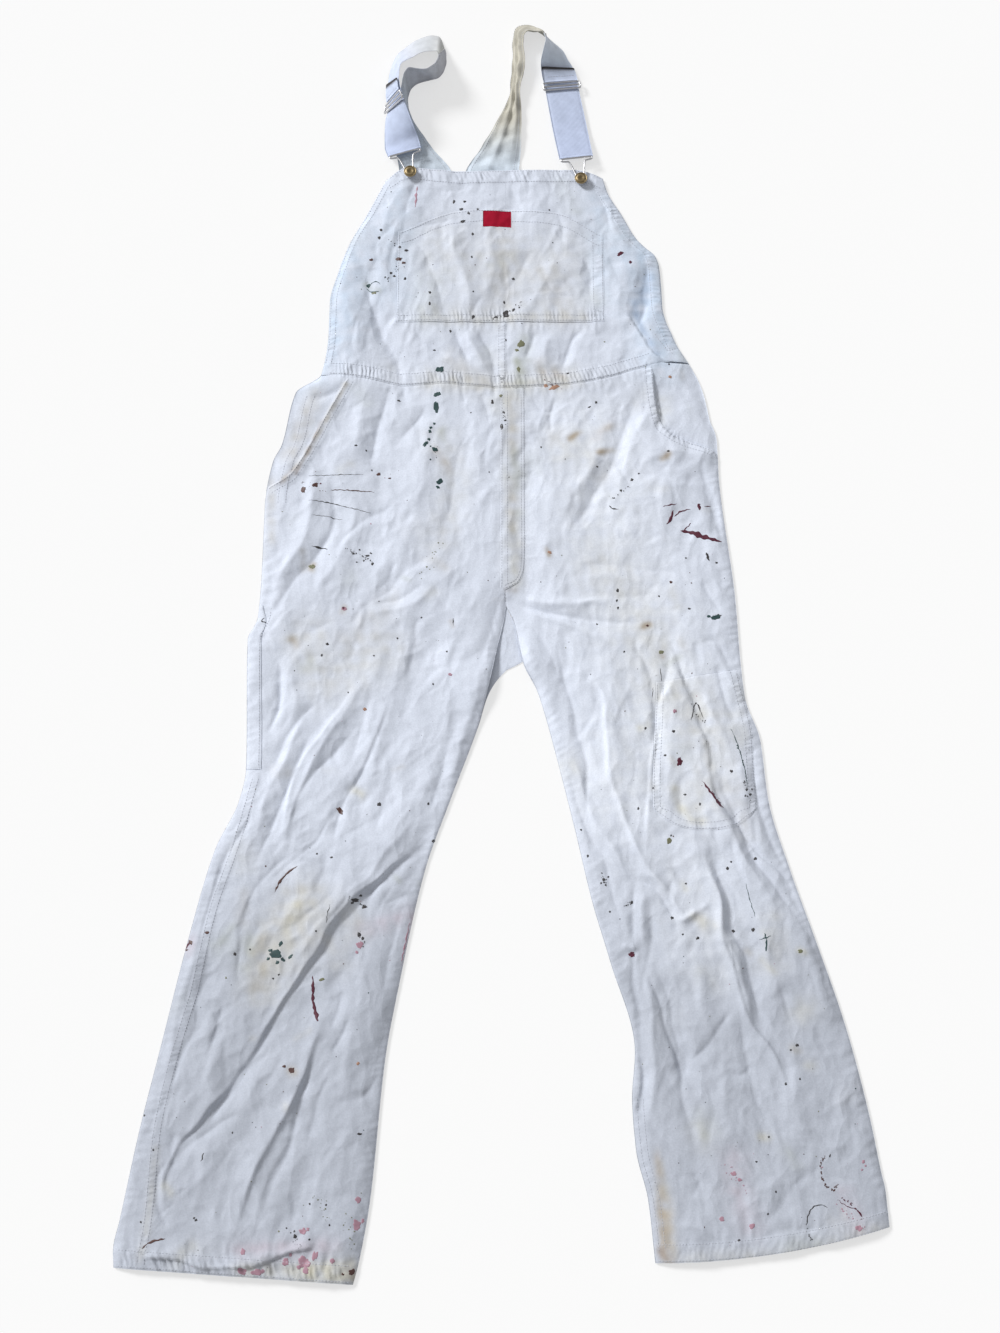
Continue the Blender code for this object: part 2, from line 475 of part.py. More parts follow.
def wall(name, top, bottom, finish, parent):
    """A closed wall between two grids of points, each an array of rows, columns and xyz."""
    rows, columns = top.shape[:2]
    made = bmesh.new()
    upper = [[made.verts.new(top[j, i]) for i in range(columns)] for j in range(rows)]
    lower = [[made.verts.new(bottom[j, i]) for i in range(columns)] for j in range(rows)]
    for j in range(rows - 1):
        for i in range(columns - 1):
            for grid in (upper, lower):
                a, b, c, d = grid[j][i], grid[j][i + 1], grid[j + 1][i + 1], grid[j + 1][i]
                made.faces.new((a, b, c))
                made.faces.new((a, c, d))
    rim = [(0, i) for i in range(columns)] + [(j, columns - 1) for j in range(1, rows)]
    rim += [(rows - 1, i) for i in range(columns - 2, -1, -1)] + [(j, 0) for j in range(rows - 2, 0, -1)]
    for (j, i), (l, k) in zip(rim, rim[1:] + rim[:1]):
        made.faces.new((upper[j][i], upper[l][k], lower[l][k], lower[j][i]))
    obj = add_object(name, made, finish, parent)
    obj.data.shade_smooth()
    obj.data.set_sharp_from_angle(angle=math.radians(50))
    return obj


def panel(name, x, y, finish, parent, extra=0.0, drop=0.0):
    """A front panel over a plan of points: its top is the cloth's height, plus extra, less drop."""
    top_z = cloth_top(x, y) + extra - drop
    top_z = np.maximum(top_z, SEAM_TOP)
    bottom_z = np.maximum(top_z - CLOTH * steepness(x, y) - extra, CLOTH + GAP)
    wall(name, np.dstack([x, y, top_z]), np.dstack([x, y, bottom_z]), finish, parent)
    return top_z


def patch(name, x, y, under_z, thickness, finish, parent):
    """A piece sewn on a panel: the panel's own points, moved out by the gap and then the cloth."""
    slant = steepness(x, y)
    bottom_z = under_z + GAP * slant
    top_z = bottom_z + thickness * slant
    wall(name, np.dstack([x, y, top_z]), np.dstack([x, y, bottom_z]), finish, parent)
    return top_z


def flat_panel(name, x, y, finish, parent):
    """A back panel: one layer of cloth flat on the table."""
    wall(name, np.dstack([x, y, 0 * x + CLOTH]), np.dstack([x, y, 0 * x]), finish, parent)


def strap_edges(rows, shares):
    """The strap's left and right edges, and its upward or outward normal, at shares of its run of rows."""
    place = np.linspace(0, 1, len(rows))

    def read(at):
        columns = [smooth(list(zip(place, column)), at) for column in zip(*rows)]
        return np.column_stack(columns[:3]), np.column_stack(columns[3:])

    left, right = read(shares)
    before, after = read(np.clip(shares - 0.01, 0, 1)), read(np.clip(shares + 0.01, 0, 1))
    heading = (after[0] + after[1]) - (before[0] + before[1])
    normal = np.cross(right - left, heading)
    return left, right, normal / np.linalg.norm(normal, axis=1)[:, None]


def ribbon(
    name, run, start, end, rows, thickness, finish, parent,
    crumple=FLAT, columns=WEBBING_COLUMNS, stand_off=0.0,
):
    """A strap of even thickness along part of its run, lifted by crumple's (place across, height) rows."""
    left, right, normal = strap_edges(run, np.linspace(start, end, rows))
    across = np.linspace(0, 1, columns)[:, None]
    middle = left[:, None] + (right - left)[:, None] * across
    fade = np.sin(np.linspace(*CRUMPLE_FADE, rows))[:, None]
    arch = fade * smooth(crumple, np.linspace(-1, 1, columns)) + stand_off
    middle = middle + normal[:, None] * arch[:, :, None]
    outer = middle + normal[:, None] * thickness / 2
    inner = middle - normal[:, None] * thickness / 2
    lowest = np.minimum(outer[:, :, 2], inner[:, :, 2]).min(axis=1)
    lift = np.maximum(np.minimum(left[:, 2], right[:, 2]) - lowest, 0)
    for side in (outer, inner):
        side[:, :, 2] += lift[:, None]
    wall(name, outer, inner, finish, parent)


# ---------------------------------------------------------------- plans of the panels


def leg_plan(outer_table, inner_table, rows, column_knots, counts, sag=0.0):
    """x and y of a leg panel's grid, outer column first, its rows running across the leg."""
    outer_y = spread([row.outer for row in rows], [row.rows for row in rows[1:]])
    inner_y = spread([row.inner for row in rows], [row.rows for row in rows[1:]])
    outer_x = smooth(outer_table, outer_y)
    inner_x = smooth(inner_table, inner_y)
    down = np.linspace(0, 1, len(outer_y))
    x = np.empty((len(outer_y), sum(counts) + 1))
    y = np.empty_like(x)
    for j in range(len(outer_y)):
        share = spread(column_knots(outer_x[j], inner_x[j], outer_y[j]), counts)
        x[j] = outer_x[j] + (inner_x[j] - outer_x[j]) * share
        y[j] = outer_y[j] + (inner_y[j] - outer_y[j]) * share
        y[j] -= sag * 4 * share * (1 - share) * down[j] ** 8
    # The first rows bend to the waist seam.
    straight = y[0].copy()
    follow = smooth(WAIST, x[0]) - GAP - straight
    for j in range(WAIST_BEND_ROWS):
        y[j] += follow * (1 - j / WAIST_BEND_ROWS)
    return x, y


def hem_extra(y):
    """The turned hem's step on the last row of a leg."""
    extra = np.zeros_like(y)
    extra[-1] = HEM_STEP
    return extra


def hip_outer(mouth, outer):
    """A front leg's outer edge: the pocket mouth, then the garment's outline."""
    end = min(row[0] for row in mouth)
    return join_tables(mouth, tuple(row for row in outer if row[0] < end))


def left_leg_plan():
    def knots(outer_x, inner_x, y):
        width = inner_x - outer_x
        return [0, smooth(TOOL_STRIP, y) / width, 1 - FLY_LEFT / width, 1]

    outer = hip_outer(MOUTH_LEFT, OUTER_LEFT)
    x, y = leg_plan(outer, join_tables(CENTRE_SEAM, INSEAM_LEFT), LEFT_LEG_ROWS, knots, LEFT_LEG_COLUMNS)
    x[:, -1] -= GAP / 2
    return x, y


def right_leg_plan():
    def knots(outer_x, inner_x, y):
        width = outer_x - inner_x
        inset = smooth(TOOL_INSET, y) / width
        pocket = (outer_x - smooth(TOOL_LEFT, y)) / width
        return [0, inset, pocket, 1 - FLY_RIGHT / width, 1]

    outer = hip_outer(MOUTH_RIGHT, OUTER_RIGHT)
    inner = join_tables(CENTRE_SEAM, INSEAM_RIGHT)
    x, y = leg_plan(outer, inner, RIGHT_LEG_ROWS, knots, RIGHT_LEG_COLUMNS, RIGHT_HEM_SAG)
    x[:, -1] += GAP / 2
    # The rows near the tool pocket's bottom bend up at its corners.
    bottom = TOOL_ROWS_RIGHT.stop - 1
    column = np.arange(x.shape[1])
    corner = TOOL_ROUND * np.clip(np.abs(column - TOOL_MIDDLE_COLUMN) / TOOL_HALF_COLUMNS, 0, 1) ** 3
    for j in range(bottom - 1, bottom + 2):
        y[j] += corner * (1 - abs(j - bottom) / 2)
    return x, y


def bib_plan():
    """x and y of the whole bib's grid."""
    rough = spread([0.54, 0.47, POCKET_BOTTOM_Y, 0.262], BIB_ROWS)
    edges = zip(smooth(OUTER_LEFT, rough), smooth(BIB_RIGHT, rough))
    x = np.array([
        spread([left, POCKET_LEFT_X, CENTRE_X, POCKET_RIGHT_X, right], BIB_COLUMNS) for left, right in edges
    ])
    y = np.empty_like(x)
    for i in range(x.shape[1]):
        top, bottom = smooth(BIB_TOP, x[0, i]), smooth(WAIST, x[-1, i]) + GAP
        pocket_top = float(smooth(POCKET_TOP, x[POCKET_ROWS.start, i]))
        y[:, i] = spread([top, pocket_top, POCKET_BOTTOM_Y, bottom], BIB_ROWS)
    # The side edges are read again at their own heights.
    x[:, 0] = smooth(OUTER_LEFT, y[:, 0])
    x[:, -1] = smooth(BIB_RIGHT, y[:, -1])
    return x, y


# ---------------------------------------------------------------- pieces


def build_front_legs(parent):
    left_x, left_y = left_leg_plan()
    right_x, right_y = right_leg_plan()
    left_z = panel("front_leg_left", left_x, left_y, drill("front_leg_left"), parent, hem_extra(left_y))
    right_z = panel("front_leg_right", right_x, right_y, drill("front_leg_right"), parent, hem_extra(right_y))
    build_fly(left_x, left_y, left_z, right_x, right_y, right_z, parent)
    build_facing("hip_facing_left", left_x, left_y, LEFT_FACING_ROWS, OUTER_LEFT, -1, parent)
    build_facing("hip_facing_right", right_x, right_y, RIGHT_FACING_ROWS, OUTER_RIGHT, 1, parent)
    strip = (TOOL_ROWS_LEFT, slice(0, 2))
    finish = drill("tool_pocket_left")
    patch("tool_pocket_left", left_x[strip], left_y[strip], left_z[strip], CLOTH, finish, parent)
    pocket = (TOOL_ROWS_RIGHT, TOOL_COLUMNS)
    finish = stained_drill("tool_pocket_right")
    patch("tool_pocket_right", right_x[pocket], right_y[pocket], right_z[pocket], CLOTH, finish, parent)


def build_fly(left_x, left_y, left_z, right_x, right_y, right_z, parent):
    """The placket bridges the centre seam, on the two legs' columns next to it."""
    rows = FLY_ROWS
    middle = [(a[rows, -1] + b[rows, -1]) / 2 for a, b in ((left_x, right_x), (left_y, right_y))]
    middle_z = np.maximum(left_z[rows, -1], right_z[rows, -1])
    x = np.column_stack([left_x[rows, -2], middle[0], right_x[rows, -2]])
    y = np.column_stack([left_y[rows, -2], middle[1], right_y[rows, -2]])
    z = np.column_stack([left_z[rows, -2], middle_z, right_z[rows, -2]])
    patch("fly_placket", x, y, z, CLOTH, stained_drill("fly_placket"), parent)


def build_facing(name, leg_x, leg_y, rows, outline, side, parent):
    """The pocket facing that shows between a leg's slanted mouth, its first rows, and the outline."""
    y = np.repeat(leg_y[:rows, :1], FACING_COLUMNS, axis=1)
    mouth = leg_x[:rows, 0] + side * 2 * GAP
    width = smooth(outline, y[:, 0]) - mouth
    x = mouth[:, None] + width[:, None] * np.linspace(0, 1, FACING_COLUMNS)
    y[0] = smooth(WAIST, x[0]) - GAP / 2
    panel(name, x, y, drill(name), parent, drop=FACING_DROP)


def build_back(parent):
    """The back: two legs with the crotch that shows below the front's, and the high back."""
    right_inner = join_tables(CENTRE_SEAM, INSEAM_RIGHT)
    shared = tuple((y, float(smooth(right_inner, y))) for y in BACK_SHARED_Y)
    below_crotch = tuple(row for row in INSEAM_LEFT if row[0] < -0.2)
    left_inner = join_tables(CENTRE_SEAM, shared, BACK_CROTCH, below_crotch)

    def knots(outer_x, inner_x, y):
        return [0, 1]

    left_x, left_y = leg_plan(OUTER_LEFT, left_inner, BACK_ROWS_LEFT, knots, BACK_COLUMNS)
    right_x, right_y = leg_plan(OUTER_RIGHT, right_inner, BACK_ROWS_RIGHT, knots, BACK_COLUMNS, RIGHT_HEM_SAG)
    left_x[:, -1] -= GAP / 2
    right_x[:, -1] += GAP / 2
    flat_panel("back_leg_left", left_x, left_y, drill("back_leg_left"), parent)
    flat_panel("back_leg_right", right_x, right_y, drill("back_leg_right"), parent)
    # The high back stands on the legs' own top rows.
    foot = np.concatenate([left_x[0, :-1], [CENTRE_X], right_x[0, -2::-1]])
    seam = np.concatenate([left_y[0], right_y[0, -2::-1]]) + GAP
    share = (foot - foot[0]) / (foot[-1] - foot[0])
    y_rows = spread(YOKE_HEIGHTS, YOKE_ROWS)
    left, right = smooth(OUTER_LEFT, y_rows), smooth(BACK_RIGHT, y_rows)
    x = np.vstack([left[:, None] + (right - left)[:, None] * share, foot])
    y = np.vstack([np.repeat(y_rows[:, None], len(foot), axis=1), seam])
    flat_panel("back_upper", x, y, drill("back_upper"), parent)


def build_bib(parent):
    """The bib's two halves, sewn down the middle, and the pocket on both of them."""
    x, y = bib_plan()
    extra = np.zeros_like(x)
    extra[0] = HEM_STEP
    left, right = np.s_[:, : SEAM_COLUMN + 1], np.s_[:, SEAM_COLUMN:]
    left_x, right_x = x[left].copy(), x[right].copy()
    left_x[:, -1] -= GAP / 2
    right_x[:, 0] += GAP / 2
    left_z = panel("bib_left", left_x, y[left], drill("bib_left"), parent, extra[left])
    right_z = panel("bib_right", right_x, y[right], drill("bib_right"), parent, extra[right])
    z = np.column_stack([left_z[:, :-1], np.maximum(left_z[:, -1], right_z[:, 0]), right_z[:, 1:]])
    block = (POCKET_ROWS, POCKET_COLUMNS)
    patch("bib_pocket", x[block], y[block], z[block], CLOTH, stained_drill("bib_pocket"), parent)


def surface_height(name, x, y):
    """Height of the named piece's upper side at a point, or 0 beside it."""
    mesh = bpy.data.objects[name].data
    tree = BVHTree.FromPolygons([v.co for v in mesh.vertices], [p.vertices for p in mesh.polygons])
    hit = tree.ray_cast(Vector((x, y, 1.0)), Vector((0, 0, -1)))
    return hit[0].z if hit[0] else 0.0


def build_label(parent):
    """A woven label at the top of the bib pocket, left plain."""
    x, y = np.meshgrid(np.linspace(*LABEL_X, 4), np.linspace(*LABEL_Y, 3))
    under = [[surface_height("bib_pocket", px, py) for px, py in zip(*row)] for row in zip(x, y)]
    bottom = np.array(under) + LABEL_CLEARANCE
    top = bottom + LABEL_THICKNESS
    finish = material("woven_label", (0.55, 0.01, 0.05), 0.6)
    wall("label", np.dstack([x, y, top]), np.dstack([x, y, bottom]), finish, parent)


def build_straps(parent):
    """Cloth from the back, then webbing: one layer down to the slider, two from there round the hook."""
    name = "strap_cloth_left"
    ribbon(name, LEFT_STRAP, 0.0, LEFT_JOIN, 22, STRAP_CLOTH, drill(name), parent)
    name = "strap_cloth_right"
    finish = stained_drill(name)
    ribbon(name, RIGHT_CLOTH, 0.0, 1.0, 16, STRAP_CLOTH, finish, parent, CRUMPLE, CRUMPLE_COLUMNS)
    for layer in WEBBING_LAYERS:
        name = "strap_web_" + layer.name
        thickness = layer.layers * WEBBING
        ribbon(
            name, layer.run, layer.start, layer.end, layer.rows, thickness, webbing(name), parent,
            stand_off=layer.stand_off,
        )


def wire_loop(name, points, radius, finish, parent):
    """A closed loop of round wire through the given points."""
    curve = bpy.data.curves.new(name, "CURVE")
    curve.dimensions = "3D"
    curve.bevel_depth = radius
    curve.bevel_resolution = 1
    spline = curve.splines.new("POLY")
    spline.points.add(len(points) - 1)
    for point, place in zip(spline.points, points):
        point.co = (*place, 1.0)
    spline.use_cyclic_u = True
    curve.materials.append(finish)
    obj = bpy.data.objects.new(name, curve)
    bpy.context.scene.collection.objects.link(obj)
    obj.parent = parent


def build_slider(name, rows, shares, parent):
    """A rectangular wire frame over the webbing, its ends just outside the webbing's edges."""
    left, right, normal = strap_edges(rows, np.array(shares))
    left, right = left + normal * SLIDER_RISE, right + normal * SLIDER_RISE
    across = (right - left) / np.linalg.norm(right - left, axis=1)[:, None]
    left, right = left - across * SLIDER_REACH, right + across * SLIDER_REACH
    middle = (left + right) / 2
    wire_loop(name, [left[0], middle[0], right[0], right[1], middle[1], left[1]], WIRE, wire(name), parent)


def build_hook_and_button(side, rows, parent):
    """A wire hook: a bar at the webbing's end, and a keyhole loop round the button's neck."""
    (left,), (right,), _ = strap_edges(rows, np.array([1.0]))
    bx, by = BUTTONS[side]
    reach = 0.75 * BUTTON_RADIUS
    around = [(dx, dy) for dx in (-reach, 0, reach) for dy in (-reach, -0.001)]
    seat = max(surface_height("bib_" + side, bx + dx, by + dy) for dx, dy in around)
    button = np.array([bx, by, seat + HOOK_RISE])
    bar = (left + right) / 2
    bar[2] = max(bar[2] + WEBBING, seat + HOOK_RISE)
    across = (right - left) / np.linalg.norm(right - left)
    away = np.cross(across, (0, 0, 1))
    away *= np.sign(away @ (button - bar))
    bar = bar + away * (WIRE + 2 * GAP)
    points = []
    for place, depth in HOOK_SHOULDER:
        points.append(bar + across * place + away * depth)
    for degrees in HOOK_RING_DEGREES:
        turn = math.radians(degrees)
        points.append(button + across * reach * math.sin(turn) - away * reach * math.cos(turn))
    for place, depth in reversed(HOOK_SHOULDER):
        points.append(bar - across * place + away * depth)
    wire_loop("hook_" + side, points, WIRE, wire("hook_" + side), parent)
    build_button("button_" + side, bx, by, seat + GAP, parent)


def build_button(name, x, y, base, parent):
    """A tack button: a neck, a flat rim and a shallow dome with a dished middle, turned about its axis."""
    made = bmesh.new()
    points = [made.verts.new((share * BUTTON_RADIUS, 0, height)) for share, height in BUTTON_PROFILE]
    edges = [made.edges.new(pair) for pair in zip(points, points[1:])]
    bmesh.ops.spin(
        made, geom=points + edges, axis=(0, 0, 1), cent=(0, 0, 0), angle=2 * math.pi, steps=12, use_merge=True
    )
    bmesh.ops.remove_doubles(made, verts=made.verts, dist=1e-6)
    obj = add_object(name, made, brass(name), parent)
    obj.location = (x, y, base)
    obj.data.shade_smooth()
    obj.data.set_sharp_from_angle(angle=math.radians(40))


def main():
    for obj in list(bpy.data.objects):
        bpy.data.objects.remove(obj, do_unlink=True)
    layout = bpy.data.objects.new("overalls", None)
    bpy.context.scene.collection.objects.link(layout)
    build_back(layout)
    build_front_legs(layout)
    build_bib(layout)
    build_label(layout)
    build_straps(layout)
    build_slider("slider_left", LEFT_STRAP, LEFT_SLIDER, layout)
    build_slider("slider_right", RIGHT_WEBBING, RIGHT_SLIDER, layout)
    build_hook_and_button("left", LEFT_STRAP, layout)
    build_hook_and_button("right", RIGHT_WEBBING, layout)


main()
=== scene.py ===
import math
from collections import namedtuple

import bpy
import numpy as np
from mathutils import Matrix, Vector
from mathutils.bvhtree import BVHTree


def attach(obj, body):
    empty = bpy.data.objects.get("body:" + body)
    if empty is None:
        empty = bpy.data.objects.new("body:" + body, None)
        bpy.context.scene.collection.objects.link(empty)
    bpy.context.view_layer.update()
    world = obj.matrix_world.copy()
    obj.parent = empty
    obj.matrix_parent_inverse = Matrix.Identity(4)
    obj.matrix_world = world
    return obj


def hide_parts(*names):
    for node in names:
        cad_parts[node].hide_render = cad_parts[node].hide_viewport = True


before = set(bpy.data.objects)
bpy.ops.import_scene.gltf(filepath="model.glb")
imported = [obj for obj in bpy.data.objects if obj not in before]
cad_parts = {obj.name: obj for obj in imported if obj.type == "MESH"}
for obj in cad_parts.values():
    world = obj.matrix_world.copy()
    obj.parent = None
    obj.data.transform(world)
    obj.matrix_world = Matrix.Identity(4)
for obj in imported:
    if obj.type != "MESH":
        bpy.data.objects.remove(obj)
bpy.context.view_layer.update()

# The looks of the painter's bib overalls laid flat, front up. Metres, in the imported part's frame: +Z up off
# the table, +Y towards the straps, left is the viewer's left. Tables whose names end in _MM are millimetres.
#
# One height field gives the front's upper side everywhere: the loft of the laid cloth, its folds, and the
# bands and puckers of its seams. Each panel is a thin shell over its own plan, and what lies on it, pocket,
# stitch or paint, follows the same field.

MM = 0.001

# ---------------------------------------------------------------- driving sizes

CLOTH = 0.0011  # one layer of cotton drill
SEAM_TOP = 0.0027  # top of the front where it is sewn to the back
LOFT = 0.0055  # how far the laid front stands above its seams
EDGE_ROLL = 0.013  # how quickly it rises from an edge
FOLD_ROLL = 0.008  # folds fade out over this distance from an edge
FOLD_SCALE = 1.25  # the folds' rises, against the table's
FOLD_EVEN = 0.72  # the power that brings the largest rises nearer to the smaller
CREASE_TIP = 0.0003  # a crease is rounded this much at its sharpest
STEP = 0.0018  # spacing of the front's grids
BACK_STEP = 0.005  # and of the back's, which is hardly seen
UNDER_EVERY = 4  # an underside takes one of this many rows and columns
RIM = 0.0022  # a panel's edge rounds off over this width
UNDER_LOWEST = 0.0014  # the front's underside stays this far above the table
THINNEST = 0.0004  # no panel of the front is thinner than this
WAIST_BEND = 0.045  # a leg's upper rows bend to the waist over this length
FACING_DROP = 0.0018
FACING_TUCK = 0.010  # a pocket facing runs this far in under its mouth
BIB_OVER = 0.0003  # the bib's lower edge lies this far above the legs
PATCH_RISE = 0.0012  # what is sewn on a panel stands this far above it
PATCH_SUNK = 0.0004  # and reaches this far into it
BACK_CREASE_LEAST = 2.9  # the back takes the front's folds that rise more than this, in millimetres
BACK_CREASE_MOST = 0.0022

CENTRE_X = 0.0045
CROTCH_Y = -0.013
WEBBING = 0.0016
STRAP_CLOTH = 0.0020
STRAP_COLUMNS = 21
STRAP_STEP = 0.0022
SMALLEST_SHEET = 0.0105
BUTTON_RADIUS = 0.0078
BUTTON_TURNS = 48
WIRE = 0.0011  # radius of the hooks' and sliders' wire
WIRE_GAP = 0.0006  # between the wire and the webbing
SLIDER_REACH = 0.0022
HOOK_HALF = 0.0195
HOOK_NECK = 0.0090
HOOK_RISE = 0.0022
HOOK_RING = 0.75 * BUTTON_RADIUS  # radius of the hook's loop round the button's neck
SLIDER_CORNER = 0.0022

THREAD = 0.00032  # radius of a stitch
STITCH_PITCH = 0.0034
STITCH_LENGTH = 0.0026
STITCH_STEP = 0.0017  # between the places where a stitched line meets the cloth
SHORTEST_STITCH = 1e-5
# A stitch's tips and rings: place along it, girth, and lift in thread radii
STITCH_SHAPE = ((-1, 0, -0.6), (-0.72, 0.85, 0.15), (0, 1, 0.62), (0.72, 0.85, 0.15), (1, 0, -0.6))

PAINT_RISE = 0.00022
PAINT_EDGE = 0.00006
PAINT_SUNK = 0.0005
DRIBBLE_STEP = 0.0008
BLOB_STEP = 0.0009
SPECKS = {"dark": 130, "brown": 50, "olive": 70, "pink": 30, "green": 12}
RAY_FROM = 0.2  # rays that look for the cloth start at this height

CAMERA_PLACE = (-0.002, -0.6383, 1.9225)
CAMERA_TARGET = (-0.002, -0.087, 0)
SUN_FROM = (-1.0, 0.70, 0.82)
SUN_STRENGTH = 3.1
WORLD_STRENGTH = 0.42
FLOOR_HALF = 6.0
FLOOR_Z = -0.0003
FLOOR_GLOW = 0.6  # how far the floor is lifted towards white where the camera sees it

# ---------------------------------------------------------------- outlines: y, x, from straps to hems

OUTER_LEFT = (
    (0.533, -0.141), (0.479, -0.1665), (0.445, -0.184), (0.404, -0.1975), (0.367, -0.206), (0.323, -0.2065),
    (0.271, -0.214), (0.249, -0.243), (0.182, -0.2575), (0.161, -0.267), (0.108, -0.2745), (0.023, -0.275),
    (-0.03, -0.2775), (-0.056, -0.288), (-0.207, -0.284), (-0.241, -0.29), (-0.297, -0.3145),
    (-0.39, -0.338), (-0.512, -0.3635), (-0.594, -0.3805), (-0.684, -0.396), (-0.712, -0.401),
    (-0.731, -0.3995),
)
OUTER_RIGHT = (
    (0.287, 0.2215), (0.264, 0.2325), (0.247, 0.238), (0.23, 0.2415), (0.211, 0.245), (0.198, 0.25),
    (0.185, 0.252), (0.151, 0.2525), (-0.008, 0.2665), (-0.08, 0.2695), (-0.126, 0.2735), (-0.172, 0.288),
    (-0.241, 0.2945), (-0.319, 0.315), (-0.395, 0.339), (-0.47, 0.362), (-0.522, 0.375), (-0.584, 0.3875),
    (-0.638, 0.396), (-0.654, 0.399), (-0.693, 0.401),
)
BIB_RIGHT = (
    (0.533, 0.124), (0.513, 0.13), (0.485, 0.1455), (0.4525, 0.1625), (0.439, 0.1745), (0.429, 0.185),
    (0.413, 0.19), (0.378, 0.192), (0.36, 0.1925), (0.342, 0.196), (0.325, 0.2025), (0.3095, 0.2085),
    (0.287, 0.2215),
)
BACK_RIGHT = (
    (0.528, 0.118), (0.485, 0.144), (0.4525, 0.161), (0.439, 0.173), (0.429, 0.1835), (0.413, 0.1885),
    (0.378, 0.1905), (0.36, 0.191), (0.342, 0.1945), (0.325, 0.201), (0.3095, 0.207), (0.287, 0.2215),
)
INSEAM_LEFT = (
    (CROTCH_Y, 0.0045), (-0.068, -0.0055), (-0.15, -0.0245), (-0.241, -0.057), (-0.319, -0.084),
    (-0.438, -0.1095), (-0.522, -0.124), (-0.664, -0.137), (-0.7285, -0.148), (-0.7475, -0.153),
)
INSEAM_RIGHT = (
    (CROTCH_Y, 0.0045), (-0.032, 0.013), (-0.085, 0.025), (-0.115, 0.0395), (-0.144, 0.0485),
    (-0.207, 0.0645), (-0.274, 0.0805), (-0.352, 0.098), (-0.417, 0.1165), (-0.512, 0.1415),
    (-0.563, 0.1375), (-0.614, 0.1405), (-0.664, 0.152), (-0.7265, 0.158),
)
BACK_CROTCH = ((-0.090, 0.007), (-0.120, -0.015), (-0.156, -0.026))
MOUTH_LEFT = (
    (0.266, -0.182), (0.227, -0.202), (0.187, -0.222), (0.153, -0.24), (0.141, -0.249), (0.128, -0.272),
)
MOUTH_RIGHT = (
    (0.281, 0.178), (0.24, 0.181), (0.208, 0.187), (0.189, 0.209), (0.183, 0.2255), (0.173, 0.2485),
    (0.165, 0.2525),
)
# The left leg's side seam, which lies inside its outline from the thigh down
LEFT_FELLED = (
    (-0.216, -0.272), (-0.295, -0.292), (-0.36, -0.312), (-0.453, -0.33), (-0.527, -0.349),
    (-0.604, -0.362), (-0.687, -0.366), (-0.724, -0.371),
)

# Cross seams: x, y, from left to right
BIB_TOP = (
    (-0.141, 0.532), (-0.115, 0.5465), (-0.05, 0.541), (0.02, 0.543), (0.092, 0.543), (0.124, 0.534),
)
WAIST = (
    (-0.214, 0.271), (-0.168, 0.266), (-0.1085, 0.256), (-0.073, 0.258), (0.004, 0.253), (0.069, 0.256),
    (0.116, 0.2635), (0.152, 0.274), (0.178, 0.2815), (0.2, 0.287),
)
POCKET_TOP = (
    (-0.15, 0.452), (-0.127, 0.458), (-0.057, 0.4855), (-0.006, 0.4895), (0.0625, 0.4855), (0.124, 0.454),
    (0.15, 0.448),
)
POCKET_BOTTOM_Y = 0.338
POCKET_LEFT_X = -0.126
POCKET_RIGHT_X = 0.123
LABEL = ((-0.0227, 0.465), (0.0114, 0.4895))
BACK_TOP_Y = 0.5265

# Matching places down a leg's outer and inner sides
LEFT_LEG = (
    (0.266, 0.253), (0.141, 0.139), (0.128, 0.123), (0, 0.004), (-0.016, CROTCH_Y), (-0.207, -0.222),
    (-0.731, -0.7475),
)
RIGHT_LEG = (
    (0.281, 0.253), (0.208, 0.19), (0.173, 0.14), (0.16, 0.122), (0, 0.004), (-0.016, CROTCH_Y),
    (-0.09, -0.13), (-0.276, -0.276), (-0.691, -0.7265),
)
LEFT_BACK = (
    (0.2695, 0.253), (CROTCH_Y, CROTCH_Y), (-0.13, -0.13), (-0.731, -0.7475),
)
RIGHT_BACK = (
    (0.2855, 0.253), (CROTCH_Y, CROTCH_Y), (-0.13, -0.13), (-0.691, -0.7265),
)
RIGHT_HEM_SAG = 0.009
HEM = 0.018  # height of the turned hems
FLY_LEFT = 0.0065
FLY_RIGHT = 0.023
FLY_END_Y = 0.002
FLY_TOPSTITCH = ((0.25, 0.031), (0.06, 0.031), (0.0, 0.02))
FLY_BESIDE = ((-0.006, 0.245), (-0.006, 0.0), (-0.003, -0.02))  # x, y: the puckers on the fly's left
TOOL_STRIP = (
    (-0.016, 0.004), (-0.056, 0.0155), (-0.207, 0.017),
)
TOOL_STRIP_Y = (-0.016, -0.207)
TOOL_LEFT = (
    (-0.016, 0.15), (-0.1, 0.1725), (-0.25, 0.1655), (-0.4, 0.21),
)
TOOL_INSET = (
    (-0.016, 0.01), (-0.092, 0.005), (-0.25, 0.015), (-0.4, 0.022),
)
TOOL_TOP = (
    (0.15, -0.11), (0.1725, -0.107), (0.27, -0.091),
)
TOOL_INSET_Y = (-0.016, -0.092, -0.170, -0.250, -0.300)  # where the pocket's right side is read
TOOL_BOTTOM_Y = -0.276
TOOL_ROUND = 0.026

# ---------------------------------------------------------------- folds, in millimetres

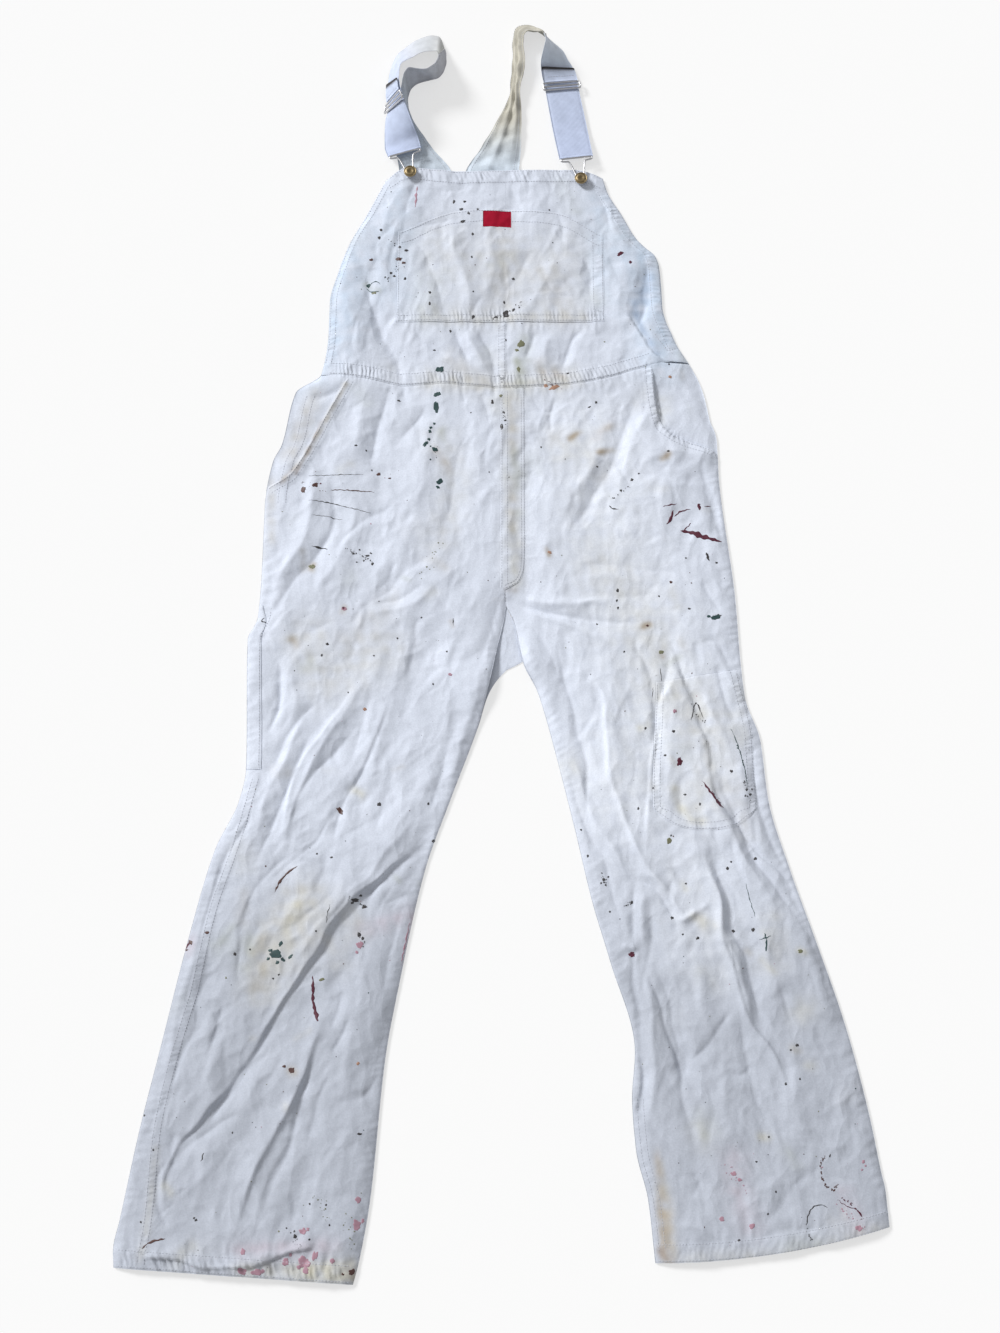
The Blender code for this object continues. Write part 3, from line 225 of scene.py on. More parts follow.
# Each row is a fold: its rise, which is negative for a trough, how far it spreads to the viewer's left and
# to the right of its path, and the path's points, which run towards the hems.
FOLDS_MM = (
    # the bib and its pocket
    (-6, 9, 12, (-171, 422), (-159, 371), (-117, 261), (-108, 220)), (3, 14, 14, (-189, 384), (-166, 295)),
    (-3, 8, 7, (-121, 468), (-99, 438), (-83, 404), (-73, 367), (-56, 323)),
    (3.5, 7, 10, (-65, 468), (-42, 384), (-37, 344)),
    (-2.8, 9, 9, (32, 430), (20, 400), (6, 378), (2, 347)), (2.2, 12, 12, (66, 422), (32, 347)),
    (-2.8, 8, 6, (90, 443), (104, 403), (111, 358)), (-3.8, 6, 6, (-105, 330), (-66, 289)),
    (-4.8, 5, 6, (-25, 330), (-15, 300), (-7, 238)), (-4.6, 7, 6, (97, 331), (81, 312), (72, 276)),
    (-8, 12, 4, (175, 417), (176, 393), (176, 369), (170, 349), (161, 331)),
    (3, 12, 12, (146, 422), (136, 318)),
    # the left hip and thigh
    (-4, 8, 11, (-132, 253), (-151, 180), (-155, 149)), (2.6, 9, 9, (-160, 243), (-179, 151)),
    (-2.6, 6, 7, (-92, 227), (-118, 182)), (-3, 9, 10, (-40, 199), (-55, 151), (-58, 114), (-71, 65)),
    (2.2, 14, 14, (-84, 189), (-100, 89)), (-3.6, 5, 8, (-193, 141), (-198, 72), (-211, 45), (-268, -30)),
    (4.5, 9, 12, (-214, 151), (-226, 65), (-265, -3)),
    (2.5, 8, 12, (-169, 114), (-173, 70), (-190, 33), (-217, 2)),
    (-3.6, 5, 6, (-255, -82), (-248, -108), (-249, -133), (-256, -156)),
    (2.2, 9, 9, (-237, -89), (-230, -126), (-235, -154)),
    (-3, 6, 6, (-206, -129), (-226, -152), (-243, -179), (-255, -207)),
    (3.6, 6, 8, (-219, -145), (-261, -247), (-268, -281)), (-3.6, 6, 6, (-213, -167), (-269, -314)),
    (4, 7, 8, (-146, -94), (-223, -232), (-242, -299)),
    (-3.6, 7, 9, (-162, -152), (-183, -186), (-225, -241), (-231, -281)),
    (-2.4, 6, 6, (-57, -182), (-79, -254)), (2.4, 8, 8, (-20, -84), (-62, -241)),
    (-2.2, 9, 9, (-166, -220), (-189, -270)), (-2.2, 9, 8, (-189, -263), (-208, -292), (-255, -334)),
    # the left knee and shin
    (-4.8, 7, 13, (-59, -259), (-151, -352), (-231, -463)),
    (4, 14, 7, (-79, -254), (-129, -303), (-203, -393), (-242, -448)),
    (-4.4, 8, 10, (-231, -463), (-299, -569), (-354, -628)),
    (-3, 4, 6, (-354, -628), (-361, -644), (-360, -662), (-351, -680), (-340, -690)),
    (5, 13, 3, (-190, -472), (-210, -536), (-261, -648), (-279, -704)),
    (-1.4, 3, 8, (-198, -514), (-241, -660), (-255, -690)),
    (2.2, 14, 14, (-140, -395), (-161, -522), (-175, -584)),
    (2.2, 7, 8, (-303, -297), (-323, -373), (-361, -563)),
    (-2.4, 5, 6, (-270, -241), (-314, -347), (-326, -400)),
    (-2.4, 6, 6, (-221, -297), (-251, -319), (-274, -347), (-282, -384)),
    (2.2, 8, 8, (-262, -325), (-280, -357), (-288, -395), (-286, -429)),
    (2.6, 6, 5, (-367, -720), (-334, -718), (-304, -729), (-274, -729), (-218, -713), (-194, -710)),
    # the right hip, crotch and thigh
    (-3.2, 8, 10, (161, 245), (126, 154), (79, 67)), (3.2, 10, 9, (123, 202), (108, 161), (67, 89)),
    (3, 8, 12, (173, 235), (140, 139)), (-3.5, 6, 6, (180, 261), (187, 238), (183, 189)),
    (-3, 5, 6, (191, 210), (209, 189), (246, 172)),
    (3, 9, 9, (161, 154), (190, 174), (220, 169), (245, 151)),
    (-3.2, 6, 5, (232, 161), (238, 126), (260, 50)), (2.2, 12, 12, (68, 139), (54, 89), (49, 45)),
    (-1, 6, 6, (88, 26), (113, 32), (176, 26), (217, 16)), (-2.4, 6, 6, (227, 16), (251, -30)),
    (-2.6, 5, 5, (11, -14), (119, -37), (153, -39)), (2.4, 6, 6, (16, -8), (89, -15), (126, -8)),
    (2.2, 6, 6, (16, -20), (130, -63)), (3, 5, 8, (18, -39), (67, -182)),
    (-4, 6, 9, (57, -49), (89, -186), (101, -294)), (2.6, 14, 14, (114, -56), (124, -126), (133, -263)),
    (-3, 6, 8, (152, -56), (163, -94), (169, -131), (170, -186)), (-4, 5, 7, (189, -56), (161, -254)),
    (2.6, 9, 9, (196, -126), (187, -218)), (-3.2, 6, 6, (193, -70), (243, -186)),
    (2.8, 6, 8, (212, -94), (242, -159), (252, -191)),
    (-4.5, 6, 6, (245, -191), (246, -225), (252, -254), (323, -378)),
    (3.4, 9, 5, (234, -198), (235, -229), (241, -259), (292, -349)), (2.6, 8, 7, (263, -195), (270, -254)),
    (-2.8, 5, 5, (275, -173), (287, -259), (315, -334)), (-2.4, 7, 7, (200, -207), (194, -274)),
    (-3, 6, 6, (67, -207), (112, -319), (132, -395)), (2.6, 5, 6, (72, -186), (125, -310), (144, -334)),
    # the right knee and shin
    (-2.6, 4, 5, (144, -323), (162, -338), (191, -377)), (2.4, 5, 4, (151, -316), (185, -352), (196, -369)),
    (-2.6, 5, 5, (147, -330), (139, -399)), (2.2, 5, 6, (157, -341), (149, -399)),
    (-2.2, 5, 6, (163, -352), (158, -416), (148, -459)), (-3, 3, 5, (139, -408), (148, -528), (137, -600)),
    (2.4, 5, 6, (154, -416), (161, -501), (159, -543), (151, -594)),
    (-4, 7, 9, (170, -425), (193, -528), (203, -553)), (2.8, 12, 12, (203, -406), (224, -512)),
    (4.2, 9, 4, (218, -283), (273, -506)), (-2.6, 3, 8, (227, -288), (281, -501)),
    (-2.4, 5, 5, (300, -321), (330, -380), (341, -412)),
    (-3.4, 9, 9, (207, -507), (193, -534), (190, -563), (206, -612)),
    (-2.8, 7, 8, (253, -459), (268, -563), (278, -594)),
    (2.6, 14, 14, (236, -532), (232, -573), (239, -614)), (2.2, 12, 12, (306, -522), (319, -614)),
    (-1.8, 7, 7, (324, -630), (285, -676), (269, -700)), (2, 8, 6, (180, -688), (211, -692), (238, -708)),
    # smaller ones, on the bib
    (2.5, 12, 12, (-167, 485), (-194, 371)),
    (1.6, 8, 8, (-153, 499), (-177, 445), (-192, 398), (-198, 347)),
    (-2, 5, 5, (66, 484), (75, 462), (78, 438)), (-1.6, 5, 5, (-109, 462), (-60, 476)),
    (1.8, 12, 12, (-19, 451), (-12, 411), (-16, 371)), (-1.3, 4, 4, (-24, 371), (-38, 339)),
    (-1.2, 4, 4, (52, 398), (65, 376), (84, 371)), (-3.4, 5, 5, (-62, 331), (-38, 289)),
    (-3.4, 5, 5, (42, 331), (29, 289)), (3, 7, 7, (-43, 329), (-28, 302), (-21, 271)),
    (3.2, 8, 8, (58, 326), (52, 297), (53, 269)), (2, 7, 7, (124, 503), (141, 457), (162, 422)),
    (-1.5, 6, 6, (115, 512), (134, 462)), (-2.2, 6, 8, (-105, 523), (-119, 476)),
    (1.6, 10, 10, (-124, 517), (-139, 485), (-150, 451)), (-1.6, 6, 6, (143, 305), (124, 315), (113, 331)),
    # on the left hip and thigh
    (-1.8, 5, 5, (-48, 271), (-41, 227)), (-1.8, 5, 6, (-24, 248), (-14, 202)),
    (-1.7, 5, 5, (-125, 108), (-176, 70), (-189, 50)), (-2.5, 5, 5, (-187, 261), (-221, 233)),
    (-1.6, 8, 8, (-71, 55), (-184, -46)), (1.5, 9, 9, (-36, 40), (-82, 2), (-154, -70)),
    (-1.4, 4, 4, (-119, 40), (-128, 16), (-142, 4)), (-1.6, 5, 4, (-89, 6), (-149, -20)),
    (1.4, 4, 6, (-84, -3), (-143, -30)), (1.8, 5, 5, (-161, -11), (-159, -30), (-163, -46)),
    (-1.6, 6, 6, (-92, -25), (-105, -105)), (1.8, 12, 12, (-111, -56), (-136, -186), (-143, -247)),
    (-1.4, 6, 6, (-146, -126), (-161, -167), (-169, -207)),
    (-1.5, 7, 7, (-115, -207), (-130, -241), (-138, -280)), (1.8, 12, 12, (-162, -229), (-184, -310)),
    # on the left shin and knee
    (-2.6, 4, 4, (-265, -526), (-309, -588)), (-2, 5, 5, (-97, -345), (-113, -384), (-131, -464)),
    (-1.6, 5, 5, (-171, -448), (-184, -491)), (-1.8, 5, 5, (-117, -524), (-152, -563)),
    (-1.6, 4, 4, (-119, -491), (-127, -522), (-129, -548)), (1.8, 12, 12, (-158, -573), (-179, -674)),
    (-1.8, 5, 5, (-313, -416), (-350, -568)), (-1.8, 5, 5, (-283, -395), (-284, -422), (-276, -448)),
    (1.4, 4, 4, (-223, -314), (-214, -332), (-203, -343)),
    (2, 12, 12, (-199, -319), (-218, -352), (-245, -384)), (-2, 8, 8, (-292, -404), (-271, -434)),
    (-1.8, 7, 7, (-296, -459), (-314, -526)), (2, 14, 14, (-270, -459), (-323, -559)),
    (2, 10, 10, (-306, -604), (-321, -684)), (-1.8, 6, 6, (-340, -594), (-346, -614), (-340, -636)),
    (-2, 5, 5, (-276, -576), (-299, -588), (-335, -622)),
    (-1.8, 4, 4, (-183, -522), (-167, -496), (-160, -475)), (-1.6, 6, 6, (-182, -532), (-205, -614)),
    # on the right hip and thigh
    (-1.8, 4, 4, (131, 161), (147, 131)), (2, 12, 12, (161, 139), (193, 124), (226, 129)),
    (-1.8, 4, 4, (33, 243), (45, 225), (57, 220), (64, 243)), (-1.8, 4, 4, (57, 220), (60, 197)),
    (-1.4, 4, 4, (35, 170), (26, 114)), (0.8, 7, 7, (85, 12), (117, 18), (181, 10)),
    (-0.9, 5, 5, (102, 2), (135, -6), (180, -5)), (-2, 7, 7, (32, -37), (52, -68), (66, -108)),
    (-1.5, 6, 6, (-2, -8), (-22, -84)), (-1.8, 4, 5, (227, -65), (238, -59), (249, -70), (256, -89)),
    (-1.8, 4, 5, (242, -84), (241, -108), (269, -152)), (2.2, 11, 11, (226, -241), (226, -308)),
    # on the right knee and shin
    (2, 4, 4, (193, -376), (222, -354)), (-1.8, 5, 5, (186, -330), (181, -349), (189, -368)),
    (1.8, 3, 4, (127, -401), (134, -407), (143, -403)), (-2, 4, 4, (246, -283), (264, -334)),
    (2.2, 12, 12, (272, -352), (298, -459)), (-1.8, 5, 5, (293, -438), (312, -491)),
    (2, 10, 10, (323, -384), (340, -438), (352, -491)), (-1.4, 3, 4, (244, -532), (255, -536), (265, -528)),
    (-1.6, 7, 7, (192, -634), (207, -644), (196, -664)),
    (1.6, 10, 10, (248, -644), (279, -654), (311, -646)),
    (-1.5, 6, 6, (262, -710), (292, -694), (330, -690)),
    # crisp lines, steep on one side
    (-2.2, 4, 2, (-253, -97), (-249, -126), (-262, -170)),
    (2.4, 2, 6, (-159, -108), (-194, -161), (-231, -216), (-242, -287)),
    (-2, 2, 6, (-123, -128), (-144, -188), (-178, -256), (-188, -298)),
    (3, 7, 2, (-60, -264), (-109, -306), (-154, -342), (-198, -405), (-245, -476), (-282, -540)),
    (2.6, 7, 2, (-282, -540), (-316, -584), (-344, -621), (-355, -646), (-349, -679)),
    (-1.2, 2, 8, (-195, -488), (-208, -538), (-219, -583), (-254, -687)),
    (3.2, 3, 7, (95, -86), (115, -140), (121, -218), (161, -319), (189, -373)),
    (2, 3, 5, (189, -373), (199, -374), (209, -361)),
    (3, 2, 7, (197, -92), (176, -145), (164, -218), (160, -299)),
    (-2.8, 2, 7, (184, -44), (203, -98), (216, -134), (247, -258), (280, -298), (314, -339), (348, -442)),
    (2.8, 6, 2, (231, -319), (239, -379), (255, -456), (287, -522), (304, -559)),
    (-2.4, 2, 6, (159, -427), (176, -494), (194, -546)), (-2, 3, 5, (245, -468), (223, -498), (200, -527)),
    (-2.6, 2, 3, (140, -412), (141, -475), (147, -537), (136, -606)),
)
# A ledge is cloth that overhangs what is beside it: the path's left side stands this much higher, and
# settles over this reach.
LEDGES_MM = (
    # over the left hem
    (3, 16, (-190, -712), (-214, -715), (-240, -725), (-262, -731), (-284, -731), (-304, -732),
        (-336, -723), (-371, -721)),
    # left mouth
    (2.4, 6, (-272, 128), (-249, 141), (-222, 187), (-202, 227), (-182, 266)),
    # right side crease
    (3, 12, (149, 351), (165, 323), (179, 298), (195, 285)),
    # right side opening
    (1.2, 8, (195, 285), (210, 267), (226, 247), (233, 217), (240, 190)),
    # right mouth
    (1.4, 9, (178, 281), (181, 240), (187, 208), (209, 189), (225, 183), (252, 165)),
)
# Rumples: soft waves of this size, so much longer along the leg than across it, whose zero lines are creases,
# with their rise and a seed.
RUMPLES_MM = ((105, 2.6, 1.5, 101), (62, 2.2, -1.0, 102), (36, 1.8, 0.50, 103), (22, 1.5, -0.30, 104))
LEAN_LEFT, LEAN_RIGHT = -28, 28  # degrees that the legs' rumples lean from the upright
LIFTS = ((-0.016, -0.108, 0.034, 0.007), (0.030, -0.085, 0.028, 0.004))  # x, y, reach, rise

# ---------------------------------------------------------------- straps and their places

# Each row is the left and the right edge of a strap, as xyz and xyz, left and right of its run from the back
# over to its hook.
LEFT_STRAP = (
    (-0.125, 0.529, 0, -0.056, 0.529, 0), (-0.126, 0.548, 0, -0.063, 0.548, 0),
    (-0.131, 0.5755, 0, -0.084, 0.5755, 0), (-0.136, 0.598, 0.001, -0.0985, 0.598, 0),
    (-0.137, 0.621, 0.003, -0.1105, 0.619, 0), (-0.129, 0.637, 0.015, -0.1155, 0.635, 0),
    (-0.1215, 0.648, 0.034, -0.1165, 0.648, 0), (-0.119, 0.658, 0.041, -0.1145, 0.659, 0),
    (-0.113, 0.665, 0.041, -0.107, 0.6675, 0), (-0.1037, 0.6644, 0.04, -0.0944, 0.6732, 0),
    (-0.0927, 0.6643, 0.039, -0.0832, 0.6761, 0), (-0.0858, 0.6684, 0.039, -0.0763, 0.6811, 0),
    (-0.0812, 0.6743, 0.038, -0.0708, 0.6883, 0), (-0.0789, 0.6816, 0.036, -0.0696, 0.7005, 0),
    (-0.078, 0.6874, 0.033, -0.0702, 0.7121, 0), (-0.0787, 0.6947, 0.027, -0.0736, 0.7266, 0),
    (-0.081, 0.701, 0.022, -0.079, 0.7375, 0), (-0.086, 0.7025, 0.02, -0.088, 0.739, 0),
    (-0.0938, 0.7005, 0.022, -0.0991, 0.7357, 0), (-0.1019, 0.6963, 0.024, -0.1102, 0.73, 0),
    (-0.1098, 0.6897, 0.026, -0.1213, 0.7204, 0), (-0.118, 0.6831, 0.029, -0.1309, 0.7107, 0),
    (-0.1245, 0.6736, 0.034, -0.137, 0.6948, 0.001), (-0.126, 0.656, 0.036, -0.1412, 0.67, 0.003),
    (-0.1248, 0.644, 0.038, -0.1415, 0.651, 0.004), (-0.1217, 0.6305, 0.038, -0.1398, 0.6318, 0.004),
    (-0.1156, 0.6137, 0.033, -0.1433, 0.6148, 0.004), (-0.1085, 0.597, 0.024, -0.1442, 0.594, 0.003),
    (-0.1025, 0.585, 0.013, -0.1438, 0.577, 0.003), (-0.099, 0.5725, 0.01, -0.1395, 0.5605, 0.009),
)
RIGHT_CLOTH = (
    (-0.046, 0.529, 0, 0.022, 0.529, 0), (-0.0438, 0.546, 0, 0.0213, 0.545, 0),
    (-0.0242, 0.5795, 0, 0.024, 0.5785, 0.003), (-0.0045, 0.619, 0, 0.0247, 0.616, 0.005),
    (0.0105, 0.653, 0, 0.0226, 0.65, 0.009), (0.013, 0.675, 0, 0.0255, 0.671, 0.012),
    (0.0143, 0.703, 0, 0.029, 0.696, 0.014), (0.015, 0.728, 0, 0.0272, 0.717, 0.015),
    (0.016, 0.743, 0, 0.0272, 0.725, 0.017), (0.021, 0.75, 0, 0.0295, 0.729, 0.019),
    (0.029, 0.751, 0, 0.0335, 0.731, 0.021), (0.038, 0.75, 0, 0.04, 0.7295, 0.023),
    (0.0475, 0.744, 0, 0.047, 0.726, 0.026), (0.056, 0.736, 0, 0.051, 0.7235, 0.029),
)
RIGHT_WEBBING = (
    (0.0575, 0.734, 0, 0.0522, 0.721, 0.031), (0.0684, 0.7252, 0, 0.0545, 0.71, 0.034),
    (0.0771, 0.7165, 0, 0.0515, 0.6985, 0.028), (0.0832, 0.7034, 0, 0.0489, 0.689, 0.02),
    (0.0885, 0.6935, 0, 0.0488, 0.6862, 0.014), (0.0925, 0.681, 0.001, 0.0508, 0.6745, 0.007),
    (0.095, 0.668, 0.003, 0.0535, 0.664, 0.004), (0.0965, 0.656, 0.004, 0.0553, 0.652, 0.004),
    (0.1045, 0.61, 0.004, 0.0624, 0.6065, 0.004), (0.1119, 0.562, 0.009, 0.0708, 0.557, 0.009),
)
# Shares of a strap's run
LEFT_JOIN = 0.500  # where the cloth is sewn to the webbing
LEFT_SLIDER = (0.855, 0.878)
LEFT_TAIL = (0.803, 0.848)
RIGHT_SLIDER = (0.660, 0.760)
RIGHT_TAIL = (0.470, 0.640)
FLAT = ((-1, 0), (1, 0))  # heights across a strap, from edge to edge
CRUMPLE = (
    (-1, 0), (-0.78, 0.0022), (-0.55, 0.0006), (-0.32, 0.0036), (-0.12, 0.0045), (0.02, 0.0008),
    (0.22, 0.001), (0.38, 0.0036), (0.6, 0.004), (0.74, 0.0008), (1, 0),
)
BUTTONS = {"left": (-0.1115, 0.5370), "right": (0.0967, 0.5278)}

# ---------------------------------------------------------------- colours

CLEAN = (0.695, 0.742, 0.845)
CREAM = (0.575, 0.560, 0.500)
YELLOW = (0.600, 0.570, 0.430)
BEIGE = (0.480, 0.440, 0.360)
BROWN = (0.330, 0.270, 0.230)
BLEACHED = (0.775, 0.815, 0.890)
TAN = (0.420, 0.345, 0.255)
GREY = (0.440, 0.470, 0.540)
# painted shade: bluer and darker than the clean drill, for the bib's sides where the cloth falls away from
# the light
SHADE_BLUE = (0.560, 0.670, 0.815)
# painted shade: the deeper blue of the hollow beside the bib's right armhole hem
HOLLOW_SHADE_BLUE = (0.360, 0.465, 0.640)
PALE_BLUE = (0.615, 0.690, 0.775)  # the back and the straps' feet
PINK = (0.560, 0.400, 0.450)
OLIVE = (0.400, 0.430, 0.350)
THREAD_COLOUR = (0.50, 0.52, 0.58)
SHIN_GREY = 0.735  # the legs grow greyer towards the hems, down to this share of the clean colour
# Cloth straps: the colour above their feet, and the height where it sets in. The left's grey is painted
# shade, for the lower band of its loop that stands in shade; the right's is the cloth's soiled cream.
STRAP_TINTS = {"left": ((0.52, 0.53, 0.58), 0.66), "right": ((0.500, 0.480, 0.415), 0.595)}
# The webbing's colours along a strap's run: share of the run, red, green, blue. The left's grey cream at the
# join is the webbing's own colour; its paler rows up the standing loop to the slider, and the right's paler
# rows over its twisted upper webbing, are painted light.
WEB_BLUE = (0.550, 0.625, 0.830)
WEB_TINTS = {
    "left": (
        (0.50, 0.58, 0.59, 0.57), (0.56, 0.64, 0.655, 0.67), (0.66, 0.65, 0.68, 0.74),
        (0.76, 0.61, 0.67, 0.81), (0.85, 0.56, 0.63, 0.80), (1.00, *WEB_BLUE),
    ),
    "right": (
        (0.00, 0.72, 0.76, 0.84), (0.30, 0.66, 0.74, 0.86), (0.50, 0.61, 0.68, 0.84), (1.00, *WEB_BLUE),
    ),
}
# painted shadow, nearly black, for the shade under the tail's sewn end and where the front webbing leaves the
# slider
PAINTED_SHADOW = (0.060, 0.055, 0.060)
SHADOWED_ROWS = {"upper": 0, "front": 1, "tail": 2}  # how many rows at the start of a webbing piece carry the painted shadow
# Each row, a stain or a patch of painted shade, gives its colour, its strength, its half width, and its path.
# The blue rows and the grey row down from the crotch are painted shade; the others are stains.
STAINS_AND_SHADE_MM = (
    # bleached, under the others
    (BLEACHED, 0.85, 60, (103, 185), (124, 37)), (BLEACHED, 1, 65, (156, -47), (177, -129), (136, -220)),
    (BLEACHED, 0.6, 50, (204, -331), (224, -396)),
    # the fly
    (CREAM, 0.34, 13, (12, 243), (12, 148), (14, 13)), (BEIGE, 0.35, 7, (12, 237), (11, 173)),
    (OLIVE, 0.3, 6, (15, 171), (17, 123)), (BEIGE, 0.38, 6, (10, 136), (13, 74)),
    (YELLOW, 0.22, 7, (16, 74), (15, 7)), (BROWN, 0.35, 3, (5, 2), (16, 1)),
    # the bib, its pocket and the waist
    (CREAM, 0.45, 14, (-86, 346), (-2, 343), (93, 346)), (OLIVE, 0.22, 22, (-86, 387), (-92, 353)),
    (BEIGE, 0.3, 18, (0, 467), (4, 367)), (BEIGE, 0.28, 20, (52, 400), (76, 353)),
    (CREAM, 0.3, 45, (-74, 433), (-2, 407), (82, 420)), (OLIVE, 0.38, 11, (28, 314), (22, 256)),
    (BEIGE, 0.35, 12, (-61, 291), (-37, 265)), (CREAM, 0.55, 15, (-85, 262), (-2, 257), (81, 265)),
    # the blue rows are painted shade, bluer and darker, on the bib's sides where its cloth falls away from
    # the light
    (BEIGE, 0.32, 12, (45, 282), (69, 256)), (SHADE_BLUE, 0.75, 38, (-196, 460), (-205, 340), (-239, 288)),
    (SHADE_BLUE, 0.75, 34, (164, 447), (184, 380), (190, 301)), (SHADE_BLUE, 0.4, 26, (-124, 501), (-128, 380)),
    (SHADE_BLUE, 0.4, 20, (120, 501), (118, 367)), (GREY, 0.25, 14, (-106, 515), (-99, 481)),
    (OLIVE, 0.16, 12, (71, 526), (89, 488)),
    # the left hip and thigh
    (BEIGE, 0.6, 4, (-184, 257), (-213, 198), (-235, 158), (-252, 138)),
    (BROWN, 0.75, 1.8, (-211, 211), (-228, 167), (-239, 143)), (BROWN, 0.45, 4, (-238, 153), (-255, 133)),
    (BEIGE, 0.42, 12, (-220, 243), (-236, 198), (-247, 167)), (BEIGE, 0.35, 7, (-267, 136), (-266, 62)),
    (CREAM, 0.3, 22, (-72, 186), (-54, 136), (-71, 62)),
    (CREAM, 0.4, 30, (-217, -58), (-193, -105), (-137, -70)), (BEIGE, 0.22, 16, (-172, -58), (-127, -11)),
    (BEIGE, 0.35, 6, (-236, -54), (-232, -61)),
    # the right hip and thigh
    (CREAM, 0.3, 18, (68, 186), (103, 167)), (BEIGE, 0.55, 4, (80, 187), (92, 195)),
    (BEIGE, 0.5, 3.5, (115, 171), (129, 174)), (BEIGE, 0.5, 3, (185, 161), (194, 163)),
    (CREAM, 0.3, 26, (112, 37), (157, -35), (177, -117)),
    (CREAM, 0.45, 26, (211, -128), (236, -197), (218, -242)),
    # the left knee and shin
    (CREAM, 0.5, 22, (-219, -353), (-244, -396), (-257, -444)),
    (CREAM, 0.5, 28, (-208, -364), (-233, -407)), (YELLOW, 0.3, 7, (-221, -358), (-229, -380)),
    (BEIGE, 0.45, 8, (-255, -420), (-263, -444)), (OLIVE, 0.2, 12, (-271, -407), (-276, -423)),
    (YELLOW, 0.5, 6, (-162, -231), (-155, -236)), (BEIGE, 0.28, 7, (-250, -210), (-239, -210)),
    (GREY, 0.5, 12, (-149, -342), (-164, -369), (-175, -391)),
    (PINK, 0.25, 10, (-151, -385), (-132, -380), (-99, -366)), (PINK, 0.5, 4, (-95, -374), (-103, -420)),
    (PINK, 0.3, 6, (-333, -394), (-338, -409)), (YELLOW, 0.5, 5, (-350, -650), (-345, -657)),
    (BEIGE, 0.4, 5, (-223, -533), (-221, -536)), (CREAM, 0.6, 9, (-268, -735), (-207, -733), (-156, -729)),
    (YELLOW, 0.7, 8, (-207, -735), (-154, -738)), (BROWN, 0.4, 5, (-156, -735), (-150, -741)),
    (PINK, 0.25, 11, (-269, -713), (-208, -712), (-177, -709)),
    (CREAM, 0.35, 5, (-361, -614), (-366, -687), (-371, -721)),
    (GREY, 0.3, 8, (-306, -295), (-329, -360), (-349, -453), (-366, -527), (-381, -604)),
    (GREY, 0.35, 30, (-324, -654), (-356, -624)),
    # the right shin, and the crotch
    (CREAM, 0.5, 7, (168, -654), (175, -725)), (BEIGE, 0.5, 5, (165, -629), (169, -704)),
    (PINK, 0.22, 14, (242, -624), (245, -654), (256, -689)), (PINK, 0.2, 10, (356, -659), (369, -694)),
    (BEIGE, 0.3, 8, (212, -374), (216, -381)), (CREAM, 0.4, 9, (193, -725), (286, -721), (390, -694)),
    # the grey row from the crotch down is painted shade between the legs, darkening the legs' inner edges
    (GREY, 0.45, 12, (4, -11), (7, -58)), (BEIGE, 0.22, 14, (257, -231), (267, -276)),
    # spots on the right leg
    (BEIGE, 0.55, 3.5, (162, -39), (168, -41)), (YELLOW, 0.5, 5, (154, -160), (162, -157)),
    (BEIGE, 0.3, 4, (181, -69), (183, -72)), (BEIGE, 0.22, 6, (201, -58), (206, -70)),
    (BEIGE, 0.3, 4, (164, -223), (167, -229)), (YELLOW, 0.5, 6, (192, -231), (201, -256), (218, -267)),
    (YELLOW, 0.42, 6, (210, -372), (227, -382)), (BEIGE, 0.35, 4, (264, -408), (267, -410)),
    (YELLOW, 0.55, 4, (320, -407), (325, -410)), (BEIGE, 0.35, 5, (309, -509), (314, -514)),
    (YELLOW, 0.4, 5, (270, -601), (278, -602)), (YELLOW, 0.35, 4, (197, -334), (200, -341)),
    (TAN, 0.45, 4, (161, -615), (165, -664), (167, -718)), (TAN, 0.5, 8, (168, -669), (171, -719)),
    (BROWN, 0.6, 5, (164, -715), (174, -727)),
    # spots on the left leg and the bib
    (BEIGE, 0.5, 3.5, (-218, 30), (-216, 25)), (BEIGE, 0.35, 3, (-180, -18), (-178, -25)),
    (BEIGE, 0.3, 5, (-239, -58), (-235, -62)), (OLIVE, 0.3, 3, (-114, 16), (-105, 13)),
    (OLIVE, 0.35, 5, (-71, 198), (-69, 186)), (BROWN, 0.35, 5, (-276, 206), (-280, 196)),
    (BEIGE, 0.45, 7, (-258, -396), (-264, -409)), (OLIVE, 0.5, 4, (-163, 388), (-148, 380)),
    (TAN, 0.5, 4, (-222, -533), (-218, -536)),
    # tan spots
    (TAN, 0.95, 3.6, (79, 188), (88, 193)), (TAN, 0.8, 3.4, (113, 169), (123, 173)),
    (TAN, 0.85, 3.8, (187, 162), (195, 168)), (TAN, 0.8, 3.2, (51, 50), (54, 43)),
    (TAN, 0.95, 4, (161, -43), (167, -38)), (TAN, 0.8, 3.2, (180, -74), (182, -77)),
    (TAN, 0.75, 3.4, (-219, 27), (-215, 33)), (TAN, 0.6, 3.2, (-182, -25), (-178, -20)),
    (TAN, 0.45, 2.6, (-58, -36), (-55, -42)), (TAN, 0.35, 6, (-77, 171), (-62, 151)),
    (TAN, 0.4, 6, (110, 190), (129, 206)), (TAN, 0.45, 4, (-237, -58), (-232, -65)),
    (TAN, 0.45, 5, (51, 271), (71, 269)), (OLIVE, 0.5, 5, (18, 288), (24, 260)),
    # the bib's right side, where the deep blue rows are painted shade in the hollow beside its armhole hem
    (HOLLOW_SHADE_BLUE, 0.6, 9, (176, 395), (168, 375), (161, 355)),
    (HOLLOW_SHADE_BLUE, 0.5, 4, (161, 348), (170, 324), (184, 297)), (GREY, 0.3, 6, (53, 494), (61, 482)),
)
PAINTS = {
    "dark": (0.045, 0.042, 0.045),
    "brown": (0.085, 0.038, 0.032),
    "red": (0.090, 0.014, 0.032),
    "green": (0.022, 0.060, 0.062),
    "olive": (0.180, 0.185, 0.110),
    "orange": (0.400, 0.230, 0.160),
    "pink": (0.400, 0.230, 0.290),
}
